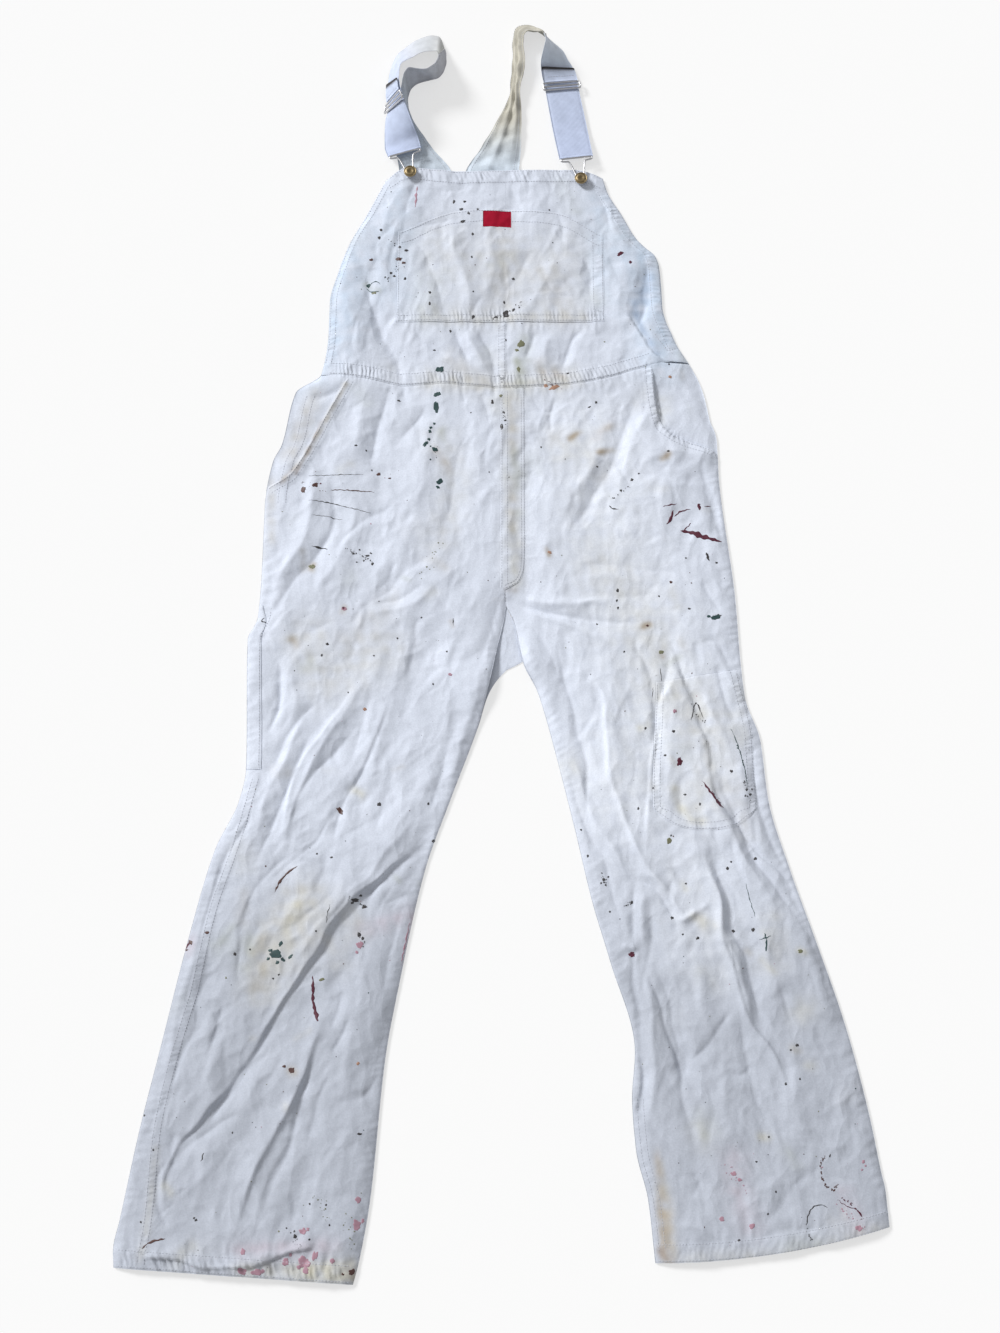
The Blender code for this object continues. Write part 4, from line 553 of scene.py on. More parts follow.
# Each row is a spot of paint: x, y, its size across and along where it is more than a speck, and the turn of
# its long side in degrees.
MARKS_MM = {
    "dark": (
        (-47, 471, 7.2, 3.2, 24), (-58, 499, 3.4, 4.5), (-45, 499, 3.4, 3.4), (-49, 488, 4.5, 4.5),
        (-40, 482, 3.4, 3.4), (-29, 488, 3.4, 3.4), (-35, 454, 3.4, 3.4), (-146, 460, 3.4, 3.4),
        (-148, 450, 3.4, 4.5), (-123, 437, 3.4, 3.4), (-115, 433, 4.5, 3.4), (-133, 403, 3.4, 3.4),
        (-129, 399, 3.4, 2.8), (-140, 397), (-116, 395, 3.4, 3.4), (-86, 376, 3.4, 3.4),
        (-86, 361, 2.8, 4.5), (-34, 344, 3.9, 5), (5, 348, 8.2, 8.6, -20), (14, 353, 4.5, 3.4, 20),
        (3, 364, 2.2, 4.5), (14, 395, 3.4, 3.4), (-7, 344, 5.6), (21, 356), (-34, 376),
        (-36, 423, 2.2, 3.4), (58, 488), (78, 271, 3.4), (-80, 302, 3.4, 2.2, 20), (-61, 326, 2.8, 3.4),
        (5, 314, 1.8, 3.4), (-121, 237, 4.5, 2.2, -20), (-170, 178, 3.4), (-158, 173), (-151, 148),
        (-163, 50), (-170, 45, 3.4), (-154, 43, 5.6, 2.2, 20), (-158, 37), (-150, 46, 3.4, 1.7, -40),
        (-148, 33, 3.4, 3.4), (-166, 35, 2.2, 1.7), (-11, 234, 3.4, 5, 15), (0, 202, 3.4, 7.8),
        (3, 220, 1.8), (4, 210, 3.4), (46, 177), (111, 234, 3.4, 2.8), (103, 228, 4.5, 1.7, 30), (111, 152),
        (151, 136, 3.4, 3.4), (159, 143), (138, 123, 3.4), (194, 171, 3.4), (198, 283),
        (236, 42, 3.2, 9.5, 8), (211, 40), (246, 35, 3.4), (213, -21, 3.4), (132, 1, 2.9, 4.5),
        (131, -11, 2.2, 3.4), (132, -20, 2.2, 3.4), (179, -6), (138, -72), (108, -39),
        (160, -161, 2.2, 3.4), (191, -165, 3.4, 3.4), (181, -192, 3.4), (167, -229), (202, -236, 3.4),
        (218, -247, 2.2, 3.4), (270, -231, 2.2, 3.4), (274, -236, 3.4), (276, -230), (268, -238),
        (254, -210, 3.4, 3.4), (150, -252, 2.2, 3.4), (87, -275), (94, -304, 2.2, 3.4),
        (-197, -63, 3.4, 3.4), (-203, -76, 2.2, 3.4), (-118, -56), (-144, -77), (-62, -72), (-77, -110),
        (-135, -247, 4.5, 4.5), (-81, -246, 2.2, 3.4), (-75, -287, 3.4, 3.4), (-186, -306, 3.4),
        (-202, -302), (-159, -353, 9, 3.4, -10), (-149, -360, 5.6, 3.4), (-153, -348, 3.4),
        (-162, -356, 3.4), (-200, -387), (-239, -433), (-245, -437), (-154, -390, 4.5, 4.5),
        (-150, -394, 3.4, 3.4), (-287, -411, 3.4, 3.4), (-271, -406), (246, -318, 3.4, 3.4), (250, -311),
        (277, -307, 3.4, 3.4), (111, -330, 3.4, 3.4), (116, -327), (108, -334), (113, -336),
        (141, -355, 3.4, 3.4), (117, -365), (184, -372, 3.4, 3.4), (195, -390), (211, -394, 3.4, 3.4),
        (271, -385, 3.4, 4.5), (250, -386, 3.4, 3.4), (200, -335), (-364, -614), (-376, -579),
        (-149, -598, 5.6, 2.2, 10), (-316, -684, 3.4), (-318, -682), (-373, -686), (-213, -700, 3.4, 4.5),
        (-214, -695), (-198, -703), (-178, -689), (-199, -668), (-182, -669), (313, -507, 3.4, 3.4),
        (306, -512), (299, -547, 2.2, 3.4), (314, -542), (279, -601), (265, -626), (284, -656), (275, -678),
        (244, -704, 3.4), (342, -620, 1.6, 3.4, -20),
    ),
    "brown": (
        (-157, 420, 4.5, 3.4), (-124, 421, 6.7, 5, -20), (-118, 416, 4.5, 3.4), (-143, 143, 5.6, 3.4),
        (-130, 138, 3.4), (-230, 124, 5.6, 7.5), (-216, 129, 7, 5.2, 30), (193, 11, 3.4, 3.4),
        (165, -41, 3, 2.6), (-178, -254, 4.5, 10.1, 25), (-318, -388, 4.5, 3.4),
        (-336, -398, 6.7, 3.4, -30), (-340, -406, 3.4), (-222, -533, 6.7, 5.6), (-230, -529, 3.4, 3.4),
        (-154, -735, 6.7, 5.6), (-163, -737, 3.4),
    ),
    "red": (
        (143, 428, 8.5, 4.2, 25), (155, 417, 3.4, 4.5), (228, 106, 3.4), (197, -200, 6.7, 6.7),
        (197, -198, 4.2, 8.2, 10), (140, -411, 6.7, 5.6), (-180, -20, 3.4, 3.4), (-210, 131),
    ),
    "green": (
        (-160, 387, 5.6, 4.5), (-73, 276, 9, 8.2, 15), (-76, 244, 9, 5.2, 25), (-77, 228, 6, 14),
        (-79, 207, 3.4, 2.8), (-83, 202, 3.4, 3.4), (-84, 197, 4, 3.8), (-85, 187, 3.4, 3.4, 40),
        (-89, 181, 8, 4.2, 35), (-78, 174, 6.8, 5.4, -20), (-83, 178), (-83, 161), (-72, 134, 8.4, 5.8, 15),
        (-74, 127, 4.5, 3.4), (243, -31, 10.1, 6.2, 10), (235, -30, 4.5, 3.4), (-243, -411, 11, 10.5),
        (-238, -400, 3.4, 6.7, -30), (-249, -407, 4.5, 3.4, 30), (-235, -417, 5.6, 3.4, -30),
        (-251, -416, 3.4, 3.4), (-241, -420, 3.4, 4.5), (-227, -414, 5.6, 3.4, 30),
    ),
    "olive": (
        (-153, 377, 5.6, 3.4), (23, 309, 7.3, 10.1), (20, 276, 3.4, 7.8), (180, -72, 5.6, 4.5),
        (183, -288, 4.5, 7.8, -25), (-193, -438, 5.6, 3.4), (321, -408, 5.6, 3.9), (-1, 242, 4.5, 3.4),
        (18, 301, 4.5, 3.4), (-217, 30, 6.7, 5.6),
    ),
    "orange": (
        (62, 253, 12.3, 5, 8), (52, 255, 4.5, 4.5), (55, 46, 4.5, 3.4), (199, 267, 4.5, 3.4),
        (-153, -139, 4.5, 3.4), (-152, -526, 3.4, 3.4),
    ),
    "pink": (
        (-179, -21, 5.6, 4.5), (-58, -99, 4.5, 3.4), (-153, -401, 6.7, 7.8, 20), (-156, -409, 3.4, 3.4),
        (-266, -715, 5.6, 5.6), (-149, -664, 5.6, 6.7), (-150, -689, 7.8, 10.1),
        (-144, -685, 3.4, 4.5, -30), (-205, -695, 6.7, 6.7), (-200, -693, 3.4, 3.4), (-222, -725, 6.7, 7.8),
        (-203, -725, 11.2, 11.2), (-201, -733, 6.7, 6.7), (-208, -730, 4.5, 4.5), (-192, -719, 5.6, 9, -15),
        (-174, -724, 4.5, 5.6, -10), (-266, -734, 9, 6.7), (-251, -735, 10.1, 6.7, 5),
        (-245, -734, 3.4, 4.5), (-217, -718, 3.4, 3.4), (193, -142, 4.5, 4.5), (227, -683, 5.6, 4.5),
        (258, -690, 5.6, 5.6), (368, -692, 6.7, 5.6), (377, -626, 3.4, 3.4), (379, -630), (375, -634),
        (241, -638, 5.6, 4.5), (247, -644, 4.5, 3.4),
    ),
}
# Each row is a run of paint: its width and its path.
STREAKS_MM = {
    "dark": (
        (0.8, (-224, 141), (-194, 142), (-161, 143)),
        (1.1, (-223, 110), (-199, 108), (-175, 101), (-151, 95)), (0.8, (-219, 92), (-202, 91), (-184, 87)),
        (1.7, (-218, 54), (-210, 53), (-200, 51)), (1.9, (124, 104), (128, 100), (135, 99)),
        (1.6, (211, -152), (218, -131), (225, -149)), (1.1, (-55, -32), (-55, -41)),
        (1.1, (-186, -358), (-188, -368), (-189, -378)), (1.3, (-311, -617), (-313, -626)),
        (1.6, (337, -671), (328, -669), (318, -676), (314, -689)), (0.9, (178, -91), (180, -106)),
        (0.9, (170, -113), (169, -125)), (1.8, (-270, -31), (-272, -35), (-267, -37)),
    ),
    "brown": (
        (1.5, (-198, 124), (-176, 123), (-148, 121)),
        (3.2, (-223, -316), (-233, -322), (-241, -332), (-247, -344)),
        (2.9, (-370, -712), (-363, -706), (-356, -704), (-347, -702)),
    ),
    "red": (
        (3.4, (190, 81), (195, 88), (198, 98)), (1.6, (186, 102), (202, 106)), (2.8, (227, 107), (229, 99)),
        (1.3, (234, 104), (242, 105)), (2.2, (199, 91), (207, 97), (218, 100)),
        (6.4, (206, 74), (220, 71), (233, 66), (243, 63), (253, 61)), (1.8, (210, 74), (218, 83)),
        (2.4, (221, -221), (232, -237), (244, -252)), (2.6, (232, -233), (236, -244), (242, -252)),
        (2.9, (-203, -434), (-202, -449), (-202, -462), (-199, -468)),
        (5, (-202, -460), (-199, -471), (-196, -482)), (0.9, (347, -664), (359, -671), (368, -674)),
        (2.4, (366, -672), (372, -681)), (2.2, (-336, -397), (-342, -405)), (1.5, (-230, 128), (-232, 121)),
    ),
    "green": (
        (1.8, (-162, 383), (-155, 378), (-147, 379)), (1.3, (-158, 388), (-151, 392), (-146, 388)),
        (1.2, (255, -162), (262, -180), (268, -203), (271, -228)),
        (0.9, (265, -335), (269, -353), (274, -371)), (2.6, (283, -389), (285, -398), (284, -408)),
        (1.4, (277, -396), (290, -392)),
    ),
    "pink": (
        (3, (-103, 520), (-104, 508), (-105, 492)), (2, (-100, -377), (-104, -398), (-108, -418)),
    ),
}
# Each row is a scatter of specks along a path: colour, how many, how far they stray from it, and the path.
TRAILS_MM = (
    ("brown", 70, 1.2, (337, -619), (332, -630), (333, -642), (338, -652), (344, -654), (349, -648)),
    ("dark", 14, 1.1, (314, -687), (316, -696), (319, -704)),
    ("red", 14, 1, (348, -660), (366, -672), (371, -683)),
    ("dark", 26, 1.8, (-179, 51), (-162, 43), (-149, 36)), ("dark", 16, 2.2, (-166, -351), (-147, -360)),
    ("dark", 20, 2.9, (269, -223), (273, -242)), ("green", 16, 1.3, (257, -169), (266, -195), (271, -226)),
    ("dark", 14, 2.5, (109, -323), (114, -338)), ("dark", 10, 2.2, (134, -358), (143, -353)),
    ("dark", 14, 4, (-133, 447), (-122, 417), (-139, 393)), ("dark", 12, 3.4, (-220, -692), (-208, -710)),
    ("dark", 20, 2.7, (-12, 340), (8, 351), (24, 363)), ("red", 12, 3.9, (51, 262), (71, 252)),
    ("dark", 10, 2, (-1, 234), (5, 205)), ("pink", 16, 4.5, (229, -629), (255, -656)),
    ("pink", 14, 3.9, (345, -669), (375, -692)), ("dark", 12, 2.7, (-256, -402), (-230, -420)),
    ("olive", 18, 5.6, (-193, -654), (-177, -689)), ("olive", 14, 5.6, (-162, -679), (-154, -709)),
    ("dark", 10, 2.2, (-156, -385), (-148, -402)), ("pink", 12, 1.8, (-95, -374), (-104, -420)),
    ("dark", 12, 2.5, (211, -132), (225, -154)), ("red", 12, 2.2, (222, -223), (244, -249)),
    ("dark", 12, 2.2, (238, -32), (248, -27)), ("olive", 16, 6.7, (-71, 62), (-93, 13)),
    ("dark", 8, 2.2, (-84, 205), (-72, 148)), ("brown", 10, 3.4, (-234, 136), (-205, 123)),
    ("dark", 10, 2.8, (126, 111), (146, 128)),
)

Fold = namedtuple("Fold", "rise left right path")
Ledge = namedtuple("Ledge", "rise reach path")
StainAndShade = namedtuple("StainAndShade", "colour strength wide path")
Mark = namedtuple("Mark", "x y wide tall turn", defaults=(2.2, 2.2, 0))
# A band is cloth of several layers that stands a little proud: half its width, its rise and its middle.
Band = namedtuple("Band", "half rise path")
# A pucker is a row of small ripples along a seam: slant turns them across it.
Pucker = namedtuple("Pucker", "reach rise pitch slant path")

# ---------------------------------------------------------------- reading tables and paths


def smooth(table, at):
    """Reads a table of (place, value) rows at any places, on a curve that never overshoots its rows."""
    rows = sorted(table)
    place = np.array([row[0] for row in rows])
    value = np.array([row[1] for row in rows])
    step = np.diff(place)
    slope = np.diff(value) / step
    tangent = np.zeros(len(rows))
    tangent[0], tangent[-1] = slope[0], slope[-1]
    same = slope[:-1] * slope[1:] > 0
    mean = 2 * slope[:-1] * slope[1:] / np.where(same, slope[:-1] + slope[1:], 1)
    tangent[1:-1] = np.where(same, mean, 0)
    at = np.clip(np.asarray(at, float), place[0], place[-1])
    k = np.clip(np.searchsorted(place, at) - 1, 0, len(step) - 1)
    t = (at - place[k]) / step[k]
    h00, h10 = 2 * t**3 - 3 * t**2 + 1, t**3 - 2 * t**2 + t
    h01, h11 = 3 * t**2 - 2 * t**3, t**3 - t**2
    return h00 * value[k] + h10 * step[k] * tangent[k] + h01 * value[k + 1] + h11 * step[k] * tangent[k + 1]


def reader(table):
    """The table as a function of the place."""
    return lambda at: smooth(table, at)


def level(value):
    """The same value at every place."""
    return lambda at: value + 0 * np.asarray(at, float)


def join_tables(*tables):
    """One table out of several that follow each other, with the first one's row kept where two meet."""
    rows = {}
    for table in tables:
        for place, value in table:
            rows.setdefault(place, value)
    return tuple(rows.items())


def run_of(line):
    """How far along a line each of its points is."""
    return np.concatenate([[0], np.cumsum(np.linalg.norm(np.diff(line, axis=0), axis=1))])


def walk(path, spacing):
    """Evenly spaced points along a smooth curve through the path's points."""
    path = np.array(path, float)
    run = run_of(path)
    at = np.linspace(0, run[-1], max(2, int(round(run[-1] / spacing)) + 1))
    return np.column_stack([smooth(list(zip(run, column)), at) for column in path.T])


def sideways(path):
    """The unit vector to the viewer's left of a path that runs down, at each of its points."""
    run = np.gradient(path, axis=0)
    run /= np.linalg.norm(run, axis=1)[:, None]
    return np.column_stack([run[:, 1], -run[:, 0]])


def path_field(path, x, y):
    """Distance to a path, its side (+ is the viewer's right of a path that runs down), how far along it, and
    the path's length."""
    best = np.full(x.shape, np.inf)
    side = np.zeros(x.shape)
    along = np.zeros(x.shape)
    walked = 0.0
    for start, end in zip(path[:-1], path[1:]):
        length = np.linalg.norm(end - start)
        ux, uy = (end - start) / length
        dx, dy = x - start[0], y - start[1]
        t = np.clip(dx * ux + dy * uy, 0, length)
        off = np.hypot(dx - t * ux, dy - t * uy)
        nearer = off < best
        best = np.where(nearer, off, best)
        side = np.where(nearer, ux * dy - uy * dx, side)
        along = np.where(nearer, walked + t, along)
        walked += length
    return best, np.where(side > 0, 1.0, -1.0), along, walked


def fields(rows, reach_of, x, y, spacing=None):
    """For each row whose path comes near some of the points: its number, the row, those points, and their
    path_field. With a spacing, the path is in millimetres and is walked first."""
    for number, row in enumerate(rows):
        path = np.array(row.path) if spacing is None else walk(np.array(row.path) * MM, spacing)
        reach = reach_of(row)
        low, high = path.min(axis=0) - reach, path.max(axis=0) + reach
        near = (x > low[0]) & (x < high[0]) & (y > low[1]) & (y < high[1])
        if near.any():
            yield number, row, near, *path_field(path, x[near], y[near])


def ease(t):
    """A smooth step from 0 to 1."""
    t = np.clip(t, 0, 1)
    return t * t * (3 - 2 * t)


def crossing_waves(x, y, size, seed, count, pitches):
    """Sine waves in all directions, their pitches between these shares of the size."""
    rng = np.random.default_rng(seed)
    total = np.zeros(np.shape(x))
    for _ in range(count):
        turn, phase = rng.uniform(0, 2 * math.pi, 2)
        pitch = size * rng.uniform(*pitches)
        total += np.sin(2 * math.pi * (x * math.cos(turn) + y * math.sin(turn)) / pitch + phase)
    return total / math.sqrt(count)


def ripple(x, y, size, seed):
    """Soft irregular waves of about this size, from -1 to 1."""
    return crossing_waves(x, y, size, seed, 10, (0.7, 1.6))


# ---------------------------------------------------------------- the height field


def inseam_distance(x, y):
    """How far inside its leg's inner edge a point is. Above the crotch it is the distance to that."""
    crotch = np.hypot(x - CENTRE_X, y - CROTCH_Y)
    inner = np.where(x < CENTRE_X, smooth(INSEAM_LEFT, y) - x, x - smooth(INSEAM_RIGHT, y))
    return np.where(y < CROTCH_Y, inner, crotch)


def edge_distance(x, y):
    """How far a point of the laid garment is from the nearest side edge or inseam."""
    left = x - smooth(OUTER_LEFT, y)
    right = smooth(join_tables(BIB_RIGHT, OUTER_RIGHT), y) - x
    return np.maximum(np.minimum(np.minimum(left, right), inseam_distance(x, y)), 0)


def table_folds():
    return [Fold(*row[:3], row[3:]) for row in FOLDS_MM]


def small_creases():
    """Seeded short creases all over, most of them running down the garment."""
    rng = np.random.default_rng(11)
    made = []
    for _ in range(760):
        x, y = rng.uniform(-390, 390), rng.uniform(-740, 540)
        heading = -math.pi / 2 + rng.normal(0, 0.6) + 0.45 * x / 390
        length = rng.uniform(12, 70)
        bend = rng.normal(0, 0.25)
        path = [(x, y)]
        for _ in range(3):
            heading += bend
            x, y = x + math.cos(heading) * length / 3, y + math.sin(heading) * length / 3
            path.append((x, y))
        rise = rng.choice((-1, 1)) * rng.uniform(0.15, 0.75)
        made.append(Fold(rise, rng.uniform(1.6, 6), rng.uniform(1.6, 6), path))
    return made


def leaning_waves(x, y, size, stretch, seed, lean):
    """Soft waves from -1 to 1 whose crests run along the lean, longer along it than across."""
    turn = math.radians(lean)
    across_lean = x * math.cos(turn) + y * math.sin(turn)
    along_lean = (y * math.cos(turn) - x * math.sin(turn)) / stretch
    return math.sqrt(2) * crossing_waves(across_lean, along_lean, size * MM, seed, 9, (0.75, 1.7))


def add_rumples(top, x, y, fade):
    """Crisp rumples all over: creases where soft waves cross zero, stronger in some places than in others."""
    right = ease((x + 0.06) / 0.12) * ease((0.12 - y) / 0.20)
    left = ease((0.06 - x) / 0.12) * ease((0.12 - y) / 0.20)
    for size, stretch, rise, seed in RUMPLES_MM:
        strength = 0.75 + 0.45 * ripple(x, y, 0.16, seed + 50)
        both = np.zeros(np.shape(x))
        for share, lean in ((left, LEAN_LEFT), (right, LEAN_RIGHT), (1 - left - right, 0)):
            both += share * leaning_waves(x, y, size, stretch, seed, lean)
        crest = np.sqrt(both**2 + 0.006) - 0.75
        top += fade * np.clip(strength, 0.15, 1.4) * rise * MM * np.clip(crest, -1, 1)


def add_ledges(top, x, y):
    ledges = [Ledge(*row[:2], row[2:]) for row in LEDGES_MM]
    reached = fields(ledges, lambda ledge: 4 * MM * ledge.reach, x, y, spacing=0.006)
    for _, ledge, near, off, side, along, total in reached:
        ends = ease(np.minimum(along, total - along) / 0.012)
        inside = ease((0.0006 - off * side) / 0.0016)
        top[near] += ledge.rise * MM * ends * inside * np.exp(-off / (ledge.reach * MM))


def add_folds(top, x, y, folds, scale, fade):
    """Adds each fold's height: full along most of its path, falling off to its sides and ends."""
    reached = fields(folds, lambda fold: 4 * MM * max(fold.left, fold.right), x, y, spacing=0.008)
    for _, fold, near, off, side, along, total in reached:
        rise = math.copysign(abs(fold.rise) ** FOLD_EVEN, fold.rise) * MM * scale
        width = np.where(side > 0, fold.right, fold.left) * MM
        ends = ease(np.minimum(along, total - along) / (0.22 * total)) * 0.85 + 0.15
        sharp = 1.25 if fold.rise > 0 else 1.05
        off = np.sqrt(off**2 + CREASE_TIP**2) - CREASE_TIP
        top[near] += rise * ends * np.exp(-((off / width) ** sharp)) * fade[near]


def cloth_top(x, y):
    """Height of the front's upper side above the table, without its seams."""
    x, y = np.asarray(x, float), np.asarray(y, float)
    away = edge_distance(x, y)
    top = SEAM_TOP + LOFT * (1 - np.exp(-away / EDGE_ROLL))
    fade = 1 - np.exp(-((away / FOLD_ROLL) ** 2))
    bent_x = x + 0.0022 * ripple(x, y, 0.055, 1)
    bent_y = y + 0.0022 * ripple(x, y, 0.055, 2)
    add_folds(top, bent_x, bent_y, table_folds(), FOLD_SCALE, fade)
    add_folds(top, bent_x, bent_y, small_creases(), 1.0, fade)
    add_rumples(top, bent_x, bent_y, fade)
    add_ledges(top, x, y)
    for lift_x, lift_y, reach, rise in LIFTS:
        top = top + rise * np.exp(-(((x - lift_x) / reach) ** 2) - ((y - lift_y) / reach) ** 2)
    return np.maximum(top, SEAM_TOP)


# ---------------------------------------------------------------- seams: bands and puckers


def offset_path(path, off):
    """The path moved sideways by this much, to the viewer's left of a path that runs down where positive."""
    path = np.array(path, float)
    return path + off * sideways(path)


def down(table, start, end, inset=0.0):
    """A path from start to end height along a (y, x) table, moved in x by the inset."""
    y = np.linspace(start, end, max(3, int(abs(start - end) / 0.01) + 2))
    return np.column_stack([smooth(table, y) + inset, y])


def across(table, start, end, raise_by=0.0):
    """A path from start to end x along an (x, y) table, raised in y."""
    x = np.linspace(start, end, max(3, int(abs(start - end) / 0.01) + 2))
    return np.column_stack([x, smooth(table, x) + raise_by])


def upright(x, top, bottom):
    return [(x, top), (x, bottom)]


def mouth_path(table, inset=0.0):
    """A pocket mouth's path, moved in x by the inset."""
    return [(x + inset, y) for y, x in table]


def hem_path(inner_table, outer_x, outer_y, inner_y, sag, raise_by):
    """A path along a trouser hem, from the outer side to the inner, raised above its edge."""
    share = np.linspace(0.01, 0.99, 26)
    inner_x = smooth(inner_table, inner_y)
    x = outer_x + (inner_x - outer_x) * share
    y = outer_y + (inner_y - outer_y) * share - sag * 4 * share * (1 - share)
    return np.column_stack([x, y + raise_by])


def left_hem(raise_by):
    return hem_path(INSEAM_LEFT, -0.3995, -0.731, -0.7475, 0, raise_by)


def right_hem(raise_by):
    return hem_path(INSEAM_RIGHT, 0.401, -0.693, -0.7265, RIGHT_HEM_SAG, raise_by)


def pocket_bottom(raise_by):
    y = POCKET_BOTTOM_Y + raise_by
    return np.array([(POCKET_LEFT_X, y), (POCKET_RIGHT_X, y)])


def bib_centre(inset):
    return upright(CENTRE_X + inset, 0.336, 0.256)


def tool_right_table():
    return tuple((y, float(smooth(OUTER_RIGHT, y) - smooth(TOOL_INSET, y))) for y in TOOL_INSET_Y)


def tool_outline(inset):
    """The right tool pocket's outline inside its edge: down the left side, round the bottom, up the right."""
    left = down(TOOL_LEFT, -0.108, TOOL_BOTTOM_Y + TOOL_ROUND, inset)
    right = down(tool_right_table(), TOOL_BOTTOM_Y + TOOL_ROUND, -0.094, -inset)
    low = left[-1][0] + (right[0][0] - left[-1][0]) * np.linspace(0, 1, 11)
    rise = TOOL_ROUND * np.abs(np.linspace(-1, 1, 11)) ** 3
    bottom = np.column_stack([low, TOOL_BOTTOM_Y + inset + rise])
    return np.vstack([left, bottom[1:-1], right])


def fly_edge():
    """The placket's right edge, which turns in to the centre seam at its foot."""
    x = CENTRE_X + FLY_RIGHT
    return np.array([(x, 0.250), (x, 0.060), (x - 0.001, 0.030), (x - 0.007, 0.012), (CENTRE_X, FLY_END_Y)])


def bands():
    return {
        "bib top hem": Band(0.0085, 0.0006, across(BIB_TOP, -0.138, 0.121, -0.0085)),
        "bib left hem": Band(0.0045, 0.0004, down(OUTER_LEFT, 0.525, 0.285, 0.0045)),
        "bib right hem": Band(0.0065, 0.0005, down(BIB_RIGHT, 0.525, 0.295, -0.0065)),
        "waist band": Band(0.0070, 0.0005, across(WAIST, -0.205, 0.175, 0.0085)),
        "bib centre seam": Band(0.0040, 0.0005, bib_centre(-0.004)),
        "left mouth": Band(0.0060, 0.0004, offset_path(mouth_path(MOUTH_LEFT), -0.006)),
        "right mouth": Band(0.0060, 0.0004, offset_path(mouth_path(MOUTH_RIGHT), 0.006)),
        "crotch seam": Band(0.0045, 0.0004, upright(CENTRE_X, FLY_END_Y, CROTCH_Y)),
        "left hem": Band(HEM / 2, 0.0006, left_hem(HEM / 2)),
        "right hem": Band(HEM / 2, 0.0006, right_hem(HEM / 2)),
        "left side seam": Band(0.0045, 0.0006, down(OUTER_LEFT, 0.245, 0.105, 0.0200)),
        "left felled seam": Band(0.0045, 0.0005, down(LEFT_FELLED, -0.216, -0.728)),
    }


def puckers():
    return {
        "bib top hem": Pucker(0.008, 0.00055, 0.0100, 0.5, across(BIB_TOP, -0.135, 0.120, -0.0100)),
        "bib left hem": Pucker(0.006, 0.00035, 0.0110, 0.3, down(OUTER_LEFT, 0.520, 0.290, 0.0050)),
        "bib right hem": Pucker(0.007, 0.00030, 0.0110, -0.3, down(BIB_RIGHT, 0.520, 0.295, -0.0075)),
        "waist band": Pucker(0.009, 0.00045, 0.0085, 0.3, across(WAIST, -0.205, 0.175, 0.0090)),
        "under the waist": Pucker(0.006, 0.00030, 0.0090, 0.0, across(WAIST, -0.175, 0.170, -0.0060)),
        "under the pocket": Pucker(0.006, 0.00040, 0.0090, 0.0, pocket_bottom(-0.006)),
        "centre seam": Pucker(0.006, 0.00035, 0.0095, 0.2, bib_centre(-0.004)),
        "left hem": Pucker(0.009, 0.00110, 0.0108, 0.8, left_hem(0.0095)),
        "over the left hem": Pucker(0.008, 0.00040, 0.0110, 0.2, left_hem(0.0240)),
        "right hem": Pucker(0.009, 0.00030, 0.0100, -0.8, right_hem(0.0095)),
        "over the right hem": Pucker(0.008, 0.00025, 0.0110, -0.2, right_hem(0.0240)),
        "left mouth": Pucker(0.006, 0.00040, 0.0095, 0.3, mouth_path(MOUTH_LEFT, 0.006)),
        "right mouth": Pucker(0.006, 0.00040, 0.0095, 0.3, mouth_path(MOUTH_RIGHT, -0.006)),
        "left outseam": Pucker(0.007, 0.00040, 0.0110, 0.2, down(OUTER_LEFT, 0.120, -0.725, 0.0060)),
        "right outseam": Pucker(0.007, 0.00040, 0.0110, 0.2, down(OUTER_RIGHT, 0.150, -0.685, -0.0060)),
        "left inseam": Pucker(0.007, 0.00022, 0.0105, 0.3, down(INSEAM_LEFT, -0.030, -0.740, -0.0060)),
        "right inseam": Pucker(0.007, 0.00028, 0.0105, 0.3, down(INSEAM_RIGHT, -0.030, -0.720, 0.0060)),
        "fly": Pucker(0.006, 0.00012, 0.0110, 0.2, down(FLY_TOPSTITCH, 0.25, 0.02)),
        "left of the fly": Pucker(0.006, 0.00008, 0.0110, 0.2, FLY_BESIDE),
    }


